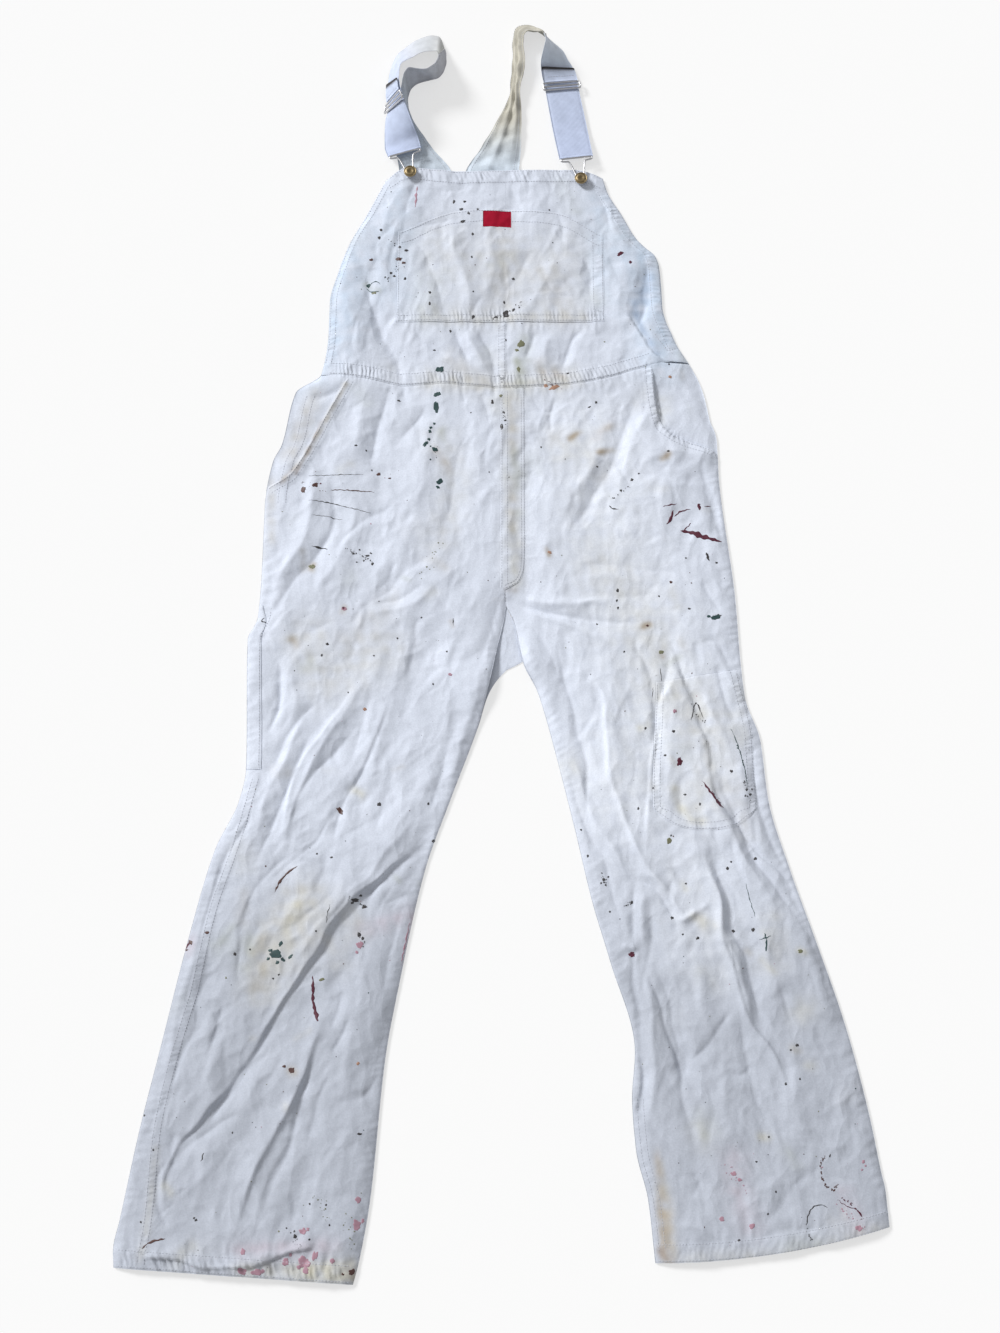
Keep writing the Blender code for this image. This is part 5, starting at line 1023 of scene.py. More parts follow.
def fine_seams():
    """Where stitching draws the cloth up finely. The rise is a share of the finest puckers' height."""
    return {
        "bib top": Pucker(0.007, 0.45, 0.0060, 0.4, across(BIB_TOP, -0.135, 0.120, -0.0090)),
        "waist": Pucker(0.008, 0.45, 0.0050, 0.15, across(WAIST, -0.200, 0.175, 0.0080)),
        "pocket bottom": Pucker(0.0065, 0.45, 0.0050, 0.1, pocket_bottom(0.0075)),
        "pocket right": Pucker(0.006, 0.22, 0.0060, 0.1, upright(POCKET_RIGHT_X - 0.007, 0.45, 0.34)),
        "centre seam": Pucker(0.004, 0.35, 0.0052, 0.1, bib_centre(-0.004)),
        "left mouth": Pucker(0.006, 0.25, 0.0055, 0.2, mouth_path(MOUTH_LEFT, 0.005)),
        "right mouth": Pucker(0.006, 0.25, 0.0055, 0.2, mouth_path(MOUTH_RIGHT, -0.005)),
        "fly left": Pucker(0.005, 0.06, 0.0060, 0.2, upright(CENTRE_X - 0.002, 0.25, 0.0)),
        "fly right": Pucker(0.005, 0.06, 0.0060, 0.2, down(FLY_TOPSTITCH, 0.25, 0.02)),
        "left hem": Pucker(0.008, 0.30, 0.0060, 0.3, left_hem(0.0090)),
        "right hem": Pucker(0.008, 0.12, 0.0060, -0.3, right_hem(0.0090)),
        "left inseam": Pucker(0.005, 0.05, 0.0080, 0.3, down(INSEAM_LEFT, -0.030, -0.740, -0.0055)),
        "right inseam": Pucker(0.005, 0.07, 0.0080, 0.3, down(INSEAM_RIGHT, -0.030, -0.720, 0.0055)),
        "left felled seam": Pucker(0.006, 0.16, 0.0065, 0.3, down(LEFT_FELLED, -0.216, -0.728)),
        "bib right hem": Pucker(0.006, 0.22, 0.0060, -0.3, down(BIB_RIGHT, 0.520, 0.295, -0.0080)),
        "bib left hem": Pucker(0.005, 0.25, 0.0060, 0.3, down(OUTER_LEFT, 0.520, 0.290, 0.0060)),
        "tool pocket": Pucker(0.005, 0.15, 0.0060, 0.3, tool_outline(0.005)),
    }


def seam_height(x, y):
    """The bands and puckers of the seams, added to the field."""
    added = np.zeros(np.shape(x))
    for _, band, near, off, *_ in fields(bands().values(), lambda band: band.half + 0.004, x, y):
        added[near] += band.rise * ease((band.half + 0.0010 - off) / 0.0020)
    reached = fields(puckers().values(), lambda pucker: 2.5 * pucker.reach, x, y)
    for number, pucker, near, off, side, along, total in reached:
        uneven = 0.35 * pucker.pitch * ripple(along, 0 * along, 0.045, 50 + number)
        turn = 2 * math.pi * (along + uneven + pucker.slant * side * off) / pucker.pitch
        strength = 0.65 + 0.35 * ripple(along, 0 * along, 0.030, 80 + number)
        ends = ease(np.minimum(along, total - along) / 0.008)
        added[near] += pucker.rise * strength * ends * np.sin(turn) * np.exp(-((off / pucker.reach) ** 2))
    return added


def front_top(x, y):
    return cloth_top(x, y) + seam_height(x, y)


def fine_puckers(x, y):
    """For the material: the phase of the seams' fine puckers at each point, and their strength."""
    phase, strength = np.zeros(np.shape(x)), np.zeros(np.shape(x))
    reached = fields(fine_seams().values(), lambda seam: 2.5 * seam.reach, x, y)
    for number, seam, near, off, side, along, total in reached:
        patchy = np.clip(0.75 + 0.6 * ripple(along, 0 * along, 0.040, 300 + number), 0, 1.3)
        ends = ease(np.minimum(along, total - along) / 0.01)
        here = seam.rise * patchy * np.exp(-((off / seam.reach) ** 2)) * ends
        stronger = here > strength[near]
        turn = 2 * math.pi * (along + seam.slant * side * off) / seam.pitch
        phase[near] = np.where(stronger, turn, phase[near])
        strength[near] = np.where(stronger, here, strength[near])
    return phase, strength


# ---------------------------------------------------------------- meshes


def add_object(name, data):
    """Puts a mesh, curve, camera or light into the scene."""
    obj = bpy.data.objects.new(name, data)
    bpy.context.scene.collection.objects.link(obj)
    return obj


def add_mesh(name, points, faces, finish):
    """Makes a smooth-shaded piece that rides on the garment's one body."""
    mesh = bpy.data.meshes.new(name)
    mesh.from_pydata(np.asarray(points).tolist(), [], faces)
    mesh.materials.append(finish)
    mesh.shade_smooth()
    obj = add_object("shown_" + name, mesh)
    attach(obj, "root")
    return obj


def ring_faces(first, second, count, flip=False):
    """Quads between two closed rings of points, which start at these numbers."""
    pairs = [(k, (k + 1) % count) for k in range(count)]
    quads = [(first + k, first + after, second + after, second + k) for k, after in pairs]
    return [(a, d, c, b) if flip else (a, b, c, d) for a, b, c, d in quads]


def fan_faces(ring, tip, count, flip=False):
    """Triangles between a closed ring of points, which starts at this number, and one point."""
    pairs = [(ring + k, ring + (k + 1) % count) for k in range(count)]
    return [(after, here, tip) if flip else (here, after, tip) for here, after in pairs]


def grid_faces(rows, columns, start, flip):
    j, i = np.meshgrid(np.arange(rows - 1), np.arange(columns - 1), indexing="ij")
    a = (start + j * columns + i).ravel()
    quads = np.column_stack([a, a + 1, a + columns + 1, a + columns])
    return (quads[:, ::-1] if flip else quads).tolist()


def every(count, step):
    """The places 0 to count - 1 in steps, with the last one always kept."""
    places = list(range(0, count - 1, step))
    if count - 1 - places[-1] < step / 2 and len(places) > 1:
        places.pop()
    return places + [count - 1]


def lowest_near(under, rows, columns):
    """The underside on fewer rows and columns, each as low as the cloth about it, to stay under the top."""
    made = under[np.ix_(rows, columns)].copy()
    for j in range(len(rows)):
        low_row, high_row = rows[max(j - 1, 0)], rows[min(j + 1, len(rows) - 1)]
        band = under[low_row:high_row + 1, :, 2].min(axis=0)
        for i in range(len(columns)):
            low, high = columns[max(i - 1, 0)], columns[min(i + 1, len(columns) - 1)]
            made[j, i, 2] = band[low:high + 1].min()
    return made


def rim_faces(rows, columns, down_rows, down_columns):
    """Faces round the edge of a shell, each from one point of the coarser underside to the next."""
    rim = [(0, i) for i in range(columns)] + [(j, columns - 1) for j in range(1, rows)]
    rim += [(rows - 1, i) for i in range(columns - 2, -1, -1)] + [(j, 0) for j in range(rows - 2, 0, -1)]
    row_of = {j: place for place, j in enumerate(down_rows)}
    column_of = {i: place for place, i in enumerate(down_columns)}
    corners = [k for k, (j, i) in enumerate(rim) if j in row_of and i in column_of]
    made = []
    for first, last in zip(corners, corners[1:] + [len(rim)]):
        run = [rim[k % len(rim)] for k in range(first, last + 1)]
        low = [rows * columns + row_of[j] * len(down_columns) + column_of[i] for j, i in (run[-1], run[0])]
        made.append([j * columns + i for j, i in run] + low)
    return made


def shell(name, top, under, finish, coarse=1, flip=False):
    """A closed thin shell between two grids of points, each an array of rows, columns and xyz."""
    rows, columns = top.shape[:2]
    down_rows, down_columns = every(rows, coarse), every(columns, coarse)
    if coarse > 1:
        under = lowest_near(under, down_rows, down_columns)
    sides = rim_faces(rows, columns, down_rows, down_columns)
    if not flip:
        sides = [side[::-1] for side in sides]
    faces = grid_faces(rows, columns, 0, not flip)
    faces += grid_faces(len(down_rows), len(down_columns), rows * columns, flip)
    points = np.vstack([top.reshape(-1, 3), under.reshape(-1, 3)])
    return add_mesh(name, points, faces + sides, finish)


def edge_steps(length, step):
    """Places from 0 to length, close together at both ends and evenly spaced between."""
    inner = np.linspace(RIM, length - RIM, max(2, int(round((length - 2 * RIM) / step)) + 1))
    return np.concatenate([[0, RIM * 0.3], inner, [length - RIM * 0.3, length]])


def rim_drop(shape, sewn=None):
    """How far each point of a panel's grid is lowered to round off its edge. A sewn side isn't lowered."""
    drop = np.zeros(shape)
    for place, depth in ((1, 0.00020), (0, 0.00055)):
        drop[place, :] = drop[-1 - place, :] = depth
        for column, side in ((place, "left"), (-1 - place, "right")):
            if side != sewn:
                drop[:, column] = np.maximum(drop[:, column], depth)
    return drop


def slope_of(x, y, z):
    """How much longer the cloth is than its plan at each point of a grid."""
    steep = 1
    for axis in (0, 1):
        run = np.hypot(np.gradient(x, axis=axis), np.gradient(y, axis=axis)) + 1e-9
        steep = steep + (np.gradient(z, axis=axis) / run) ** 2
    return np.clip(np.sqrt(steep), 1, 2)


def cloth_piece(name, x, y, z, under, coarse=1, on_back=False):
    """A piece of drill between its upper side and its underside, over one plan grid."""
    obj = shell(name, np.dstack([x, y, z]), np.dstack([x, y, under]), drill_material(), coarse)
    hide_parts(name)
    paint_tint(obj, on_back)
    return obj


def front_panel(name, x, y, extra=0.0, sewn=None):
    """A panel of the front over a plan grid. Its underside is one cloth below its top."""
    z = front_top(x, y) + extra - rim_drop(x.shape, sewn)
    z = np.maximum(z, SEAM_TOP - 0.0005)
    under = np.maximum(z - CLOTH * slope_of(x, y, z) - extra, UNDER_LOWEST)
    return cloth_piece(name, x, y, z, np.minimum(under, z - THINNEST), coarse=UNDER_EVERY)


def patch(name, x, y, puff=0.0, rise=PATCH_RISE):
    """A piece sewn on the front: it follows the field, stands one cloth above it and puffs a little."""
    drop = rim_drop(x.shape)
    share = np.linspace(0, 1, x.shape[1])
    away = ease(np.minimum(share, share[::-1]) / 0.2)
    z = front_top(x, y) + rise - drop + puff * away
    under = z - rise - PATCH_SUNK + drop
    return cloth_piece(name, x, y, z, np.minimum(under, z - 0.0003))


def back_panel(name, x, y):
    """A back panel on the table, one cloth thick, with shallow creases on both of its sides."""
    lift = back_relief(x, y)
    drop = 0.6 * rim_drop(x.shape)
    return cloth_piece(name, x, y, lift + CLOTH - drop, lift + drop, on_back=True)


def back_relief(x, y):
    """How far the back's cloth is off the table: shallow creases, so that it lies flat between them."""
    away = ease(edge_distance(x, y) / 0.030)
    creases = np.zeros(np.shape(x))
    steep = [fold for fold in table_folds() if abs(fold.rise) > BACK_CREASE_LEAST]
    mirrored = [Fold(abs(fold.rise), fold.right, fold.left, fold.path) for fold in steep]
    add_folds(creases, x + 0.012, y + 0.016, mirrored, 0.42, away)
    creases += away * 0.0003 * np.maximum(ripple(x, y, 0.05, 21), 0)
    return np.clip(creases, 0, BACK_CREASE_MOST)


# ---------------------------------------------------------------- plans of the panels


def leg_grid(outer_table, inner_table, knots, step, sag=0.0):
    """x and y of a leg's grid: rows run across from the outer side, from the waist to the hem."""
    outer_knot, inner_knot = np.array(knots).T
    run = np.concatenate([[0], np.cumsum(-np.diff((outer_knot + inner_knot) / 2))])
    at = edge_steps(run[-1], step)
    outer_y, inner_y = np.interp(at, run, outer_knot), np.interp(at, run, inner_knot)
    outer_x, inner_x = smooth(outer_table, outer_y), smooth(inner_table, inner_y)
    width = float(np.mean(np.abs(inner_x - outer_x)))
    share = edge_steps(width, step) / width
    x = outer_x[:, None] + (inner_x - outer_x)[:, None] * share
    y = outer_y[:, None] + (inner_y - outer_y)[:, None] * share
    y = y - sag * 4 * share * (1 - share) * (at[:, None] / run[-1]) ** 8
    bend = np.clip(1 - at / WAIST_BEND, 0, 1)[:, None]
    return x, y + (smooth(WAIST, x[0]) - y[0])[None, :] * bend


def hip_outer(mouth, outer):
    end = min(row[0] for row in mouth)
    return join_tables(mouth, tuple(row for row in outer if row[0] < end))


def block_grid(left, right, top, bottom, step):
    """x and y of a grid between side edges, as functions of y, and end edges, as functions of x."""
    middle_x = (float(left(top(0.0))) + float(right(top(0.0)))) / 2
    height = float(top(middle_x)) - float(bottom(middle_x))
    row = edge_steps(height, step) / height
    middle_y = bottom(middle_x) + height / 2
    width = float(np.abs(right(middle_y) - left(middle_y)))
    column = edge_steps(width, step) / width
    x = np.full((len(row), len(column)), middle_x)
    for _ in range(4):
        y = top(x) + (bottom(x) - top(x)) * row[:, None]
        x = left(y) + (right(y) - left(y)) * column
    return x, y


# ---------------------------------------------------------------- cloth pieces


def to_waist(inseam):
    """An inseam's table, carried up to the waist along the centre seam."""
    return join_tables(((0.30, CENTRE_X),), inseam)


def build_front_legs():
    plans = {
        "left": leg_grid(hip_outer(MOUTH_LEFT, OUTER_LEFT), to_waist(INSEAM_LEFT), LEFT_LEG, STEP),
        "right": leg_grid(
            hip_outer(MOUTH_RIGHT, OUTER_RIGHT), to_waist(INSEAM_RIGHT), RIGHT_LEG, STEP, RIGHT_HEM_SAG
        ),
    }
    legs = [front_panel("front_leg_" + side, *plan) for side, plan in plans.items()]
    return legs


def build_facing(side, outline, mouth, out):
    """A pocket facing, which shows between its leg's slanted mouth and the outline."""
    low_y, high_y = mouth[-1][0] - 0.004, mouth[0][0] + 0.004
    row = edge_steps(high_y - low_y, STEP) / (high_y - low_y)
    y = (high_y + (low_y - high_y) * row)[:, None]
    outer = smooth(outline, y)
    inner = np.minimum(out * outer, out * smooth(mouth, y) - FACING_TUCK) * out
    share = edge_steps(0.03, STEP) / 0.03
    x = outer + (inner - outer) * share
    y = np.minimum(y * np.ones_like(x), smooth(WAIST, x) + 0.001)
    y = y - np.arange(len(y))[:, None] * 1e-7
    drop = FACING_DROP * ease((smooth(WAIST, x) - y) / 0.030)
    facing = front_panel("hip_facing_" + side, x, y, -drop)
    return facing


def build_bib():
    """The bib's two halves over the legs' top edge."""
    made = []
    left, centre, right = reader(OUTER_LEFT), level(CENTRE_X), reader(BIB_RIGHT)
    for name, sides, sewn in (("bib_left", (left, centre), "right"), ("bib_right", (centre, right), "left")):
        x, y = block_grid(*sides, reader(BIB_TOP), reader(WAIST), STEP)
        over = BIB_OVER * np.exp(-(y - smooth(WAIST, x)) / 0.012)
        half = front_panel(name, x, y, over, sewn)
        made.append(half)
    return made


def build_bib_pocket():
    sides = level(POCKET_LEFT_X), level(POCKET_RIGHT_X)
    x, y = block_grid(*sides, reader(POCKET_TOP), level(POCKET_BOTTOM_Y), STEP * 0.9)
    pocket = patch("bib_pocket", x, y, 0.0006, 0.0008)
    return pocket


def build_fly():
    sides = level(CENTRE_X - FLY_LEFT), reader([(y, x) for x, y in fly_edge()])
    x, y = block_grid(*sides, lambda x: smooth(WAIST, x) - 0.0004, level(FLY_END_Y), STEP * 0.8)
    fly = patch("fly_placket", x, y, rise=0.0006)
    return fly


def build_tool_strip():
    """The left tool pocket, of which a narrow strip shows along the side."""
    top, bottom = TOOL_STRIP_Y
    y = (top + (bottom - top) * edge_steps(0.19, STEP) / 0.19)[:, None]
    outer = smooth(OUTER_LEFT, y) + 0.0004
    x = outer + smooth(TOOL_STRIP, y) * edge_steps(0.015, STEP) / 0.015
    strip = patch("tool_pocket_left", x, y * np.ones_like(x))
    return strip


def build_tool_pocket():
    """The right tool pocket, rounded at its foot."""
    row = edge_steps(0.17, STEP * 0.9) / 0.17
    column = edge_steps(0.095, STEP * 0.9) / 0.095
    right_table = tool_right_table()
    x = 0.1725 + 0.0955 * column[None, :] * np.ones((len(row), 1))
    for _ in range(4):
        top_y = smooth(TOOL_TOP, x)
        bottom_y = TOOL_BOTTOM_Y + TOOL_ROUND * np.abs(2 * column - 1)[None, :] ** 3
        y = top_y + (bottom_y - top_y) * row[:, None]
        x = smooth(TOOL_LEFT, y) + (smooth(right_table, y) - smooth(TOOL_LEFT, y)) * column
    pocket = patch("tool_pocket_right", x, y, rise=0.0008)
    return pocket


def build_back():
    """The back: two legs with the crotch that shows below the front's, and the high back."""
    right_inner = to_waist(INSEAM_RIGHT)
    shared = tuple((y, float(smooth(right_inner, y))) for y in (CROTCH_Y, -0.036, -0.059, -0.082))
    tail = tuple(row for row in INSEAM_LEFT if row[0] < -0.2)
    left_inner = to_waist(shared + BACK_CROTCH + tail)
    plans = {
        "left": leg_grid(OUTER_LEFT, left_inner, LEFT_BACK, BACK_STEP),
        "right": leg_grid(OUTER_RIGHT, right_inner, RIGHT_BACK, BACK_STEP, RIGHT_HEM_SAG),
    }
    for side, plan in plans.items():
        leg = back_panel("back_leg_" + side, *plan)
    plan = block_grid(reader(OUTER_LEFT), reader(BACK_RIGHT), level(BACK_TOP_Y), reader(WAIST), BACK_STEP)
    upper = back_panel("back_upper", *plan)


# ---------------------------------------------------------------- the cloth's colours


def soil_patches():
    """Seeded faint patches of soil, each a short smear, all over the front."""
    rng = np.random.default_rng(12)
    made = []
    for _ in range(150):
        x, y = rng.uniform(-380, 380), rng.uniform(-740, 530)
        heading, length = rng.uniform(0, 2 * math.pi), rng.uniform(2, 26)
        path = ((x, y), (x + math.cos(heading) * length, y + math.sin(heading) * length))
        colour = (BEIGE, OLIVE, GREY, CREAM, YELLOW)[rng.integers(5)]
        made.append(StainAndShade(colour, rng.uniform(0.06, 0.30), rng.uniform(2.5, 16), path))
    return made


def blend(first, second, share):
    """Two colours, or a colour at each point, blended by a share at each point."""
    share = share[..., None]
    return np.array(first) * (1 - share) + np.array(second) * share


def cloth_tint(x, y):
    """The cloth's colour at each point: clean drill, greyer shins, soiled edges and the stains, with painted
    shade on the bib's sides, in the hollow by its right armhole and between the legs below the crotch.
    """
    x, y = np.asarray(x, float), np.asarray(y, float)
    colour = np.ones((*x.shape, 3)) * CLEAN
    mottle = 1 + 0.018 * ripple(x, y, 0.11, 31) + 0.012 * ripple(x, y, 0.03, 32)
    shin = 1 - (1 - SHIN_GREY) * ease((-0.20 - y) / 0.28)
    colour *= (mottle * shin)[..., None]
    stains_and_shade = [StainAndShade(*row[:3], row[3:]) for row in STAINS_AND_SHADE_MM] + soil_patches()
    reached = fields(stains_and_shade, lambda stain_and_shade: 2.5 * stain_and_shade.wide * MM, x, y, spacing=0.01)
    for _, stain_and_shade, near, off, *_ in reached:
        patchy = 0.75 + 0.25 * ripple(x[near], y[near], 0.02, 33)
        share = np.clip(stain_and_shade.strength * patchy * np.exp(-((off / (stain_and_shade.wide * MM)) ** 2)), 0, 1)
        colour[near] = blend(colour[near], stain_and_shade.colour, share)
    return colour


def places(obj):
    """Where each vertex is, one row for each."""
    points = np.empty(len(obj.data.vertices) * 3, np.float32)
    obj.data.vertices.foreach_get("co", points)
    return points.reshape(-1, 3)


def set_tint(obj, colours):
    """Writes a colour for each vertex, which the cloth's material reads."""
    layer = obj.data.attributes.new("tint", "FLOAT_COLOR", "POINT")
    values = np.ones((len(obj.data.vertices), 4), np.float32)
    values[:, :3] = colours
    layer.data.foreach_set("color", values.ravel())


def paint_tint(obj, on_back):
    """Writes a cloth piece's colours, and its seams' fine puckers."""
    x, y, _ = places(obj).T
    seam = np.zeros((len(x), 3), np.float32)
    if on_back:
        mottle = 1 + 0.03 * ripple(x, y, 0.09, 41) + 0.02 * ripple(x, y, 0.02, 42)
        colours = blend(CLEAN, PALE_BLUE, ease((y - 0.25) / 0.08)) * mottle[:, None]
    else:
        seam[:, 0], seam[:, 1] = fine_puckers(x, y)
        colours = cloth_tint(x, y)
    obj.data.attributes.new("seam", "FLOAT_VECTOR", "POINT").data.foreach_set("vector", seam.ravel())
    set_tint(obj, colours)


# ---------------------------------------------------------------- materials


def new_material(name, roughness, metallic=0.0):
    """A material with its node tree, shader and a function that adds and links nodes."""
    made = bpy.data.materials.new(name)
    made.use_nodes = True
    tree = made.node_tree
    shader = tree.nodes["Principled BSDF"]
    shader.inputs["Roughness"].default_value = roughness
    shader.inputs["Metallic"].default_value = metallic

    def node(kind, inputs=(), **settings):
        new = tree.nodes.new(kind)
        for key, value in settings.items():
            setattr(new, key, value)
        for socket, value in dict(inputs).items():
            if isinstance(value, bpy.types.NodeSocket):
                tree.links.new(value, new.inputs[socket])
            else:
                new.inputs[socket].default_value = value
        return new

    return made, shader, node


def link(material, out, into):
    material.node_tree.links.new(out, into)


def add_bump(material, node, shader, *layers):
    """Stacks bumps, each a (height socket, strength, distance in metres), and gives them to the shader."""
    normal = None
    for height, strength, distance in layers:
        inputs = {"Height": height, "Strength": strength, "Distance": distance}
        if normal is not None:
            inputs["Normal"] = normal
        normal = node("ShaderNodeBump", inputs).outputs["Normal"]
    link(material, normal, shader.inputs["Normal"])


def object_place(node):
    return node("ShaderNodeTexCoord").outputs["Object"]


def vertex_tint(node):
    return node("ShaderNodeAttribute", attribute_name="tint").outputs["Color"]


def noise(node, where, scale, detail, output="Fac", kind="FBM", **more):
    inputs = {"Vector": where, "Scale": scale, "Detail": detail, **more}
    return node("ShaderNodeTexNoise", inputs, noise_type=kind).outputs[output]


def bands_along(node, where, scale, distortion, direction, **more):
    inputs = {"Vector": where, "Scale": scale, "Distortion": distortion, **more}
    return node("ShaderNodeTexWave", inputs, bands_direction=direction).outputs["Fac"]


def ranged(node, value, low, high, start=0.0, end=1.0):
    """A value between low and high, where what it is read from runs from start to end."""
    inputs = {"Value": value, "From Min": start, "From Max": end, "To Min": low, "To Max": high}
    return node("ShaderNodeMapRange", inputs).outputs["Result"]


def mixed(node, share, first, second):
    """Two colours mixed by a share."""
    inputs = {"Factor": share, "A": first, "B": second}
    return node("ShaderNodeMix", inputs, data_type="RGBA").outputs["Result"]


def maths(node, operation, *values):
    return node("ShaderNodeMath", dict(enumerate(values)), operation=operation).outputs["Value"]


def scaled(node, colour, share):
    """A colour made darker or lighter by a share."""
    return node("ShaderNodeVectorMath", {0: colour, "Scale": share}, operation="SCALE").outputs["Vector"]


def seam_ripples(node):
    """Fine puckers along the seams, from each vertex's place along its seam and their strength there."""
    seam = node("ShaderNodeAttribute", attribute_name="seam").outputs["Vector"]
    part = node("ShaderNodeSeparateXYZ", {"Vector": seam}).outputs
    uneven = noise(node, object_place(node), 70.0, 2.0)
    wave = maths(node, "SINE", maths(node, "MULTIPLY_ADD", uneven, 9.0, part["X"]))
    return maths(node, "MULTIPLY", wave, part["Y"])


def drill_material():
    """Washed cotton drill: the vertex tint, mottled, with a fine diagonal twill, nap and a soft sheen."""
    found = bpy.data.materials.get("washed_drill")
    if found:
        return found
    made, shader, node = new_material("washed_drill", 0.95)
    shader.inputs["Specular IOR Level"].default_value = 0.2
    shader.inputs["Sheen Weight"].default_value = 0.03
    shader.inputs["Sheen Roughness"].default_value = 0.5
    where = object_place(node)
    turned = node("ShaderNodeMapping", {"Vector": where, "Rotation": (0, 0, math.radians(28))})
    stretched = node("ShaderNodeMapping", {"Vector": where, "Scale": (1.0, 0.62, 1.0)}).outputs["Vector"]
    twill = bands_along(node, turned.outputs["Vector"], 330.0, 1.2, "X", Detail=1.0)
    slub = noise(node, where, 620.0, 4.0)
    rumple = noise(node, where, 75.0, 4.0, Roughness=0.5)
    soil = noise(node, where, 34.0, 5.0, Roughness=0.65)
    creases = noise(node, stretched, 30.0, 3.0, kind="RIDGED_MULTIFRACTAL", Roughness=0.62, Distortion=0.3)
    shade = maths(node, "MULTIPLY", ranged(node, soil, 0.95, 1.03, 0.3, 0.7), ranged(node, twill, 0.97, 1.02))
    shade = maths(node, "MULTIPLY", shade, ranged(node, slub, 0.93, 1.05, 0.3, 0.7))
    link(made, scaled(node, vertex_tint(node), shade), shader.inputs["Base Color"])
    strayed = noise(node, where, 22.0, 2.0, "Color")
    stray = {0: strayed, 1: (0.030, 0.030, 0.0), 2: stretched}
    bent = node("ShaderNodeVectorMath", stray, operation="MULTIPLY_ADD")
    facets = [
        node("ShaderNodeTexVoronoi", {"Vector": bent.outputs["Vector"], "Scale": size}, feature="F1")
        for size in (34.0, 88.0)
    ]
    large, small = (facet.outputs["Distance"] for facet in facets)
    add_bump(
        made, node, shader, (seam_ripples(node), 0.9, 0.0008), (creases, 0.7, 0.0013), (large, 0.9, 0.0022),
        (small, 0.8, 0.0009), (rumple, 0.7, 0.0007), (slub, 0.25, 0.0002), (twill, 0.35, 0.00012),
    )
    return made


def webbing_material():
    """Pale ribbed webbing: the vertex tint, fine ribs along it from its own map, and a tight cross weave."""
    made, shader, node = new_material("ribbed_webbing", 0.75)
    shader.inputs["Specular IOR Level"].default_value = 0.3
    where = node("ShaderNodeUVMap", uv_map="strip").outputs["UV"]
    ribs = bands_along(node, where, 210.0, 0.4, "X", Detail=1.0)
    picks = bands_along(node, where, 330.0, 0.6, "Y", Detail=1.0)
    worn = ranged(node, noise(node, where, 90.0, 6.0), 0.91, 1.06, 0.3, 0.7)
    shade = maths(node, "MULTIPLY", worn, ranged(node, ribs, 0.90, 1.03))
    link(made, scaled(node, vertex_tint(node), shade), shader.inputs["Base Color"])
    add_bump(made, node, shader, (ribs, 0.7, 0.00025), (picks, 0.5, 0.00015))
    return made


def wire_material():
    """Worn plated steel wire: bright metal with small dull patches."""
    made, shader, node = new_material("plated_wire", 0.28, 1.0)
    worn = noise(node, object_place(node), 500.0, 4.0)
    colour = mixed(node, worn, (0.42, 0.42, 0.44, 1), (0.72, 0.72, 0.74, 1))
    link(made, colour, shader.inputs["Base Color"])
    link(made, ranged(node, worn, 0.18, 0.5), shader.inputs["Roughness"])
    add_bump(made, node, shader, (worn, 0.2, 0.0001))
    return made


def brass_material():
    """Antique brass: dark in its hollows and rubbed bright on the rim and the dome."""
    made, shader, node = new_material("antique_brass", 0.4, 0.9)
    patina = noise(node, object_place(node), 420.0, 5.0)
    edge = node("ShaderNodeNewGeometry").outputs["Pointiness"]
    dull = mixed(node, patina, (0.085, 0.065, 0.035, 1), (0.25, 0.19, 0.10, 1))
    colour = mixed(node, ranged(node, edge, 0.0, 1.0, 0.48, 0.56), dull, (0.36, 0.28, 0.16, 1))
    link(made, colour, shader.inputs["Base Color"])
    link(made, ranged(node, patina, 0.30, 0.60), shader.inputs["Roughness"])
    add_bump(made, node, shader, (patina, 0.3, 0.0002))
    return made


def label_material():
    """Woven red satin, nothing written on it."""
    made, shader, node = new_material("woven_label", 0.8)
    shader.inputs["Specular IOR Level"].default_value = 0.1
    where = object_place(node)
    weave = bands_along(node, where, 700.0, 0.4, "X")
    soil = noise(node, where, 160.0, 4.0)
    colour = mixed(node, soil, (0.28, 0.005, 0.020, 1), (0.44, 0.009, 0.038, 1))
    link(made, colour, shader.inputs["Base Color"])
    add_bump(made, node, shader, (weave, 0.5, 0.00012), (soil, 0.3, 0.0002))
    return made


def plain_material(name, colour, roughness, mottle=0.12):
    """Paint or thread: one colour, a little uneven."""
    made, shader, node = new_material(name, roughness)
    uneven = noise(node, object_place(node), 260.0, 4.0)
    low, high = ((*(min(1, part * share) for part in colour), 1) for share in (1 - mottle, 1 + mottle))
    link(made, mixed(node, uneven, low, high), shader.inputs["Base Color"])
    add_bump(made, node, shader, (uneven, 0.3, 0.0003))
    return made


# ---------------------------------------------------------------- straps


def strap_edges(rows, shares):
    """The strap's left and right edges, and its upward or outward normal, at shares of its run of rows."""
    place = np.linspace(0, 1, len(rows))

    def read(at):
        columns = [smooth(list(zip(place, column)), at) for column in zip(*rows)]
        return np.column_stack(columns[:3]), np.column_stack(columns[3:])

    left, right = read(shares)
    before, after = read(np.clip(shares - 0.01, 0, 1)), read(np.clip(shares + 0.01, 0, 1))
    heading = (after[0] + after[1]) - (before[0] + before[1])
    normal = np.cross(right - left, heading)
    return left, right, normal / np.linalg.norm(normal, axis=1)[:, None]


def strap_surface(rows, shares, crumple):
    """The middle surface of a strap as a grid, its normals, and how far along it each row is."""
    left, right, normal = strap_edges(rows, shares)
    t = np.linspace(-1, 1, STRAP_COLUMNS)
    middle = left[:, None] + (right - left)[:, None] * (t[:, None] + 1) / 2
    fade = np.sin(np.linspace(0.15, math.pi - 0.4, len(shares)))[:, None]
    middle = middle + normal[:, None] * (fade * smooth(crumple, t))[:, :, None]
    return middle, normal, run_of((left + right) / 2)


def width_of(grid):
    """The mean width of a strap's grid."""
    return float(np.mean(np.linalg.norm(grid[:, -1] - grid[:, 0], axis=1)))


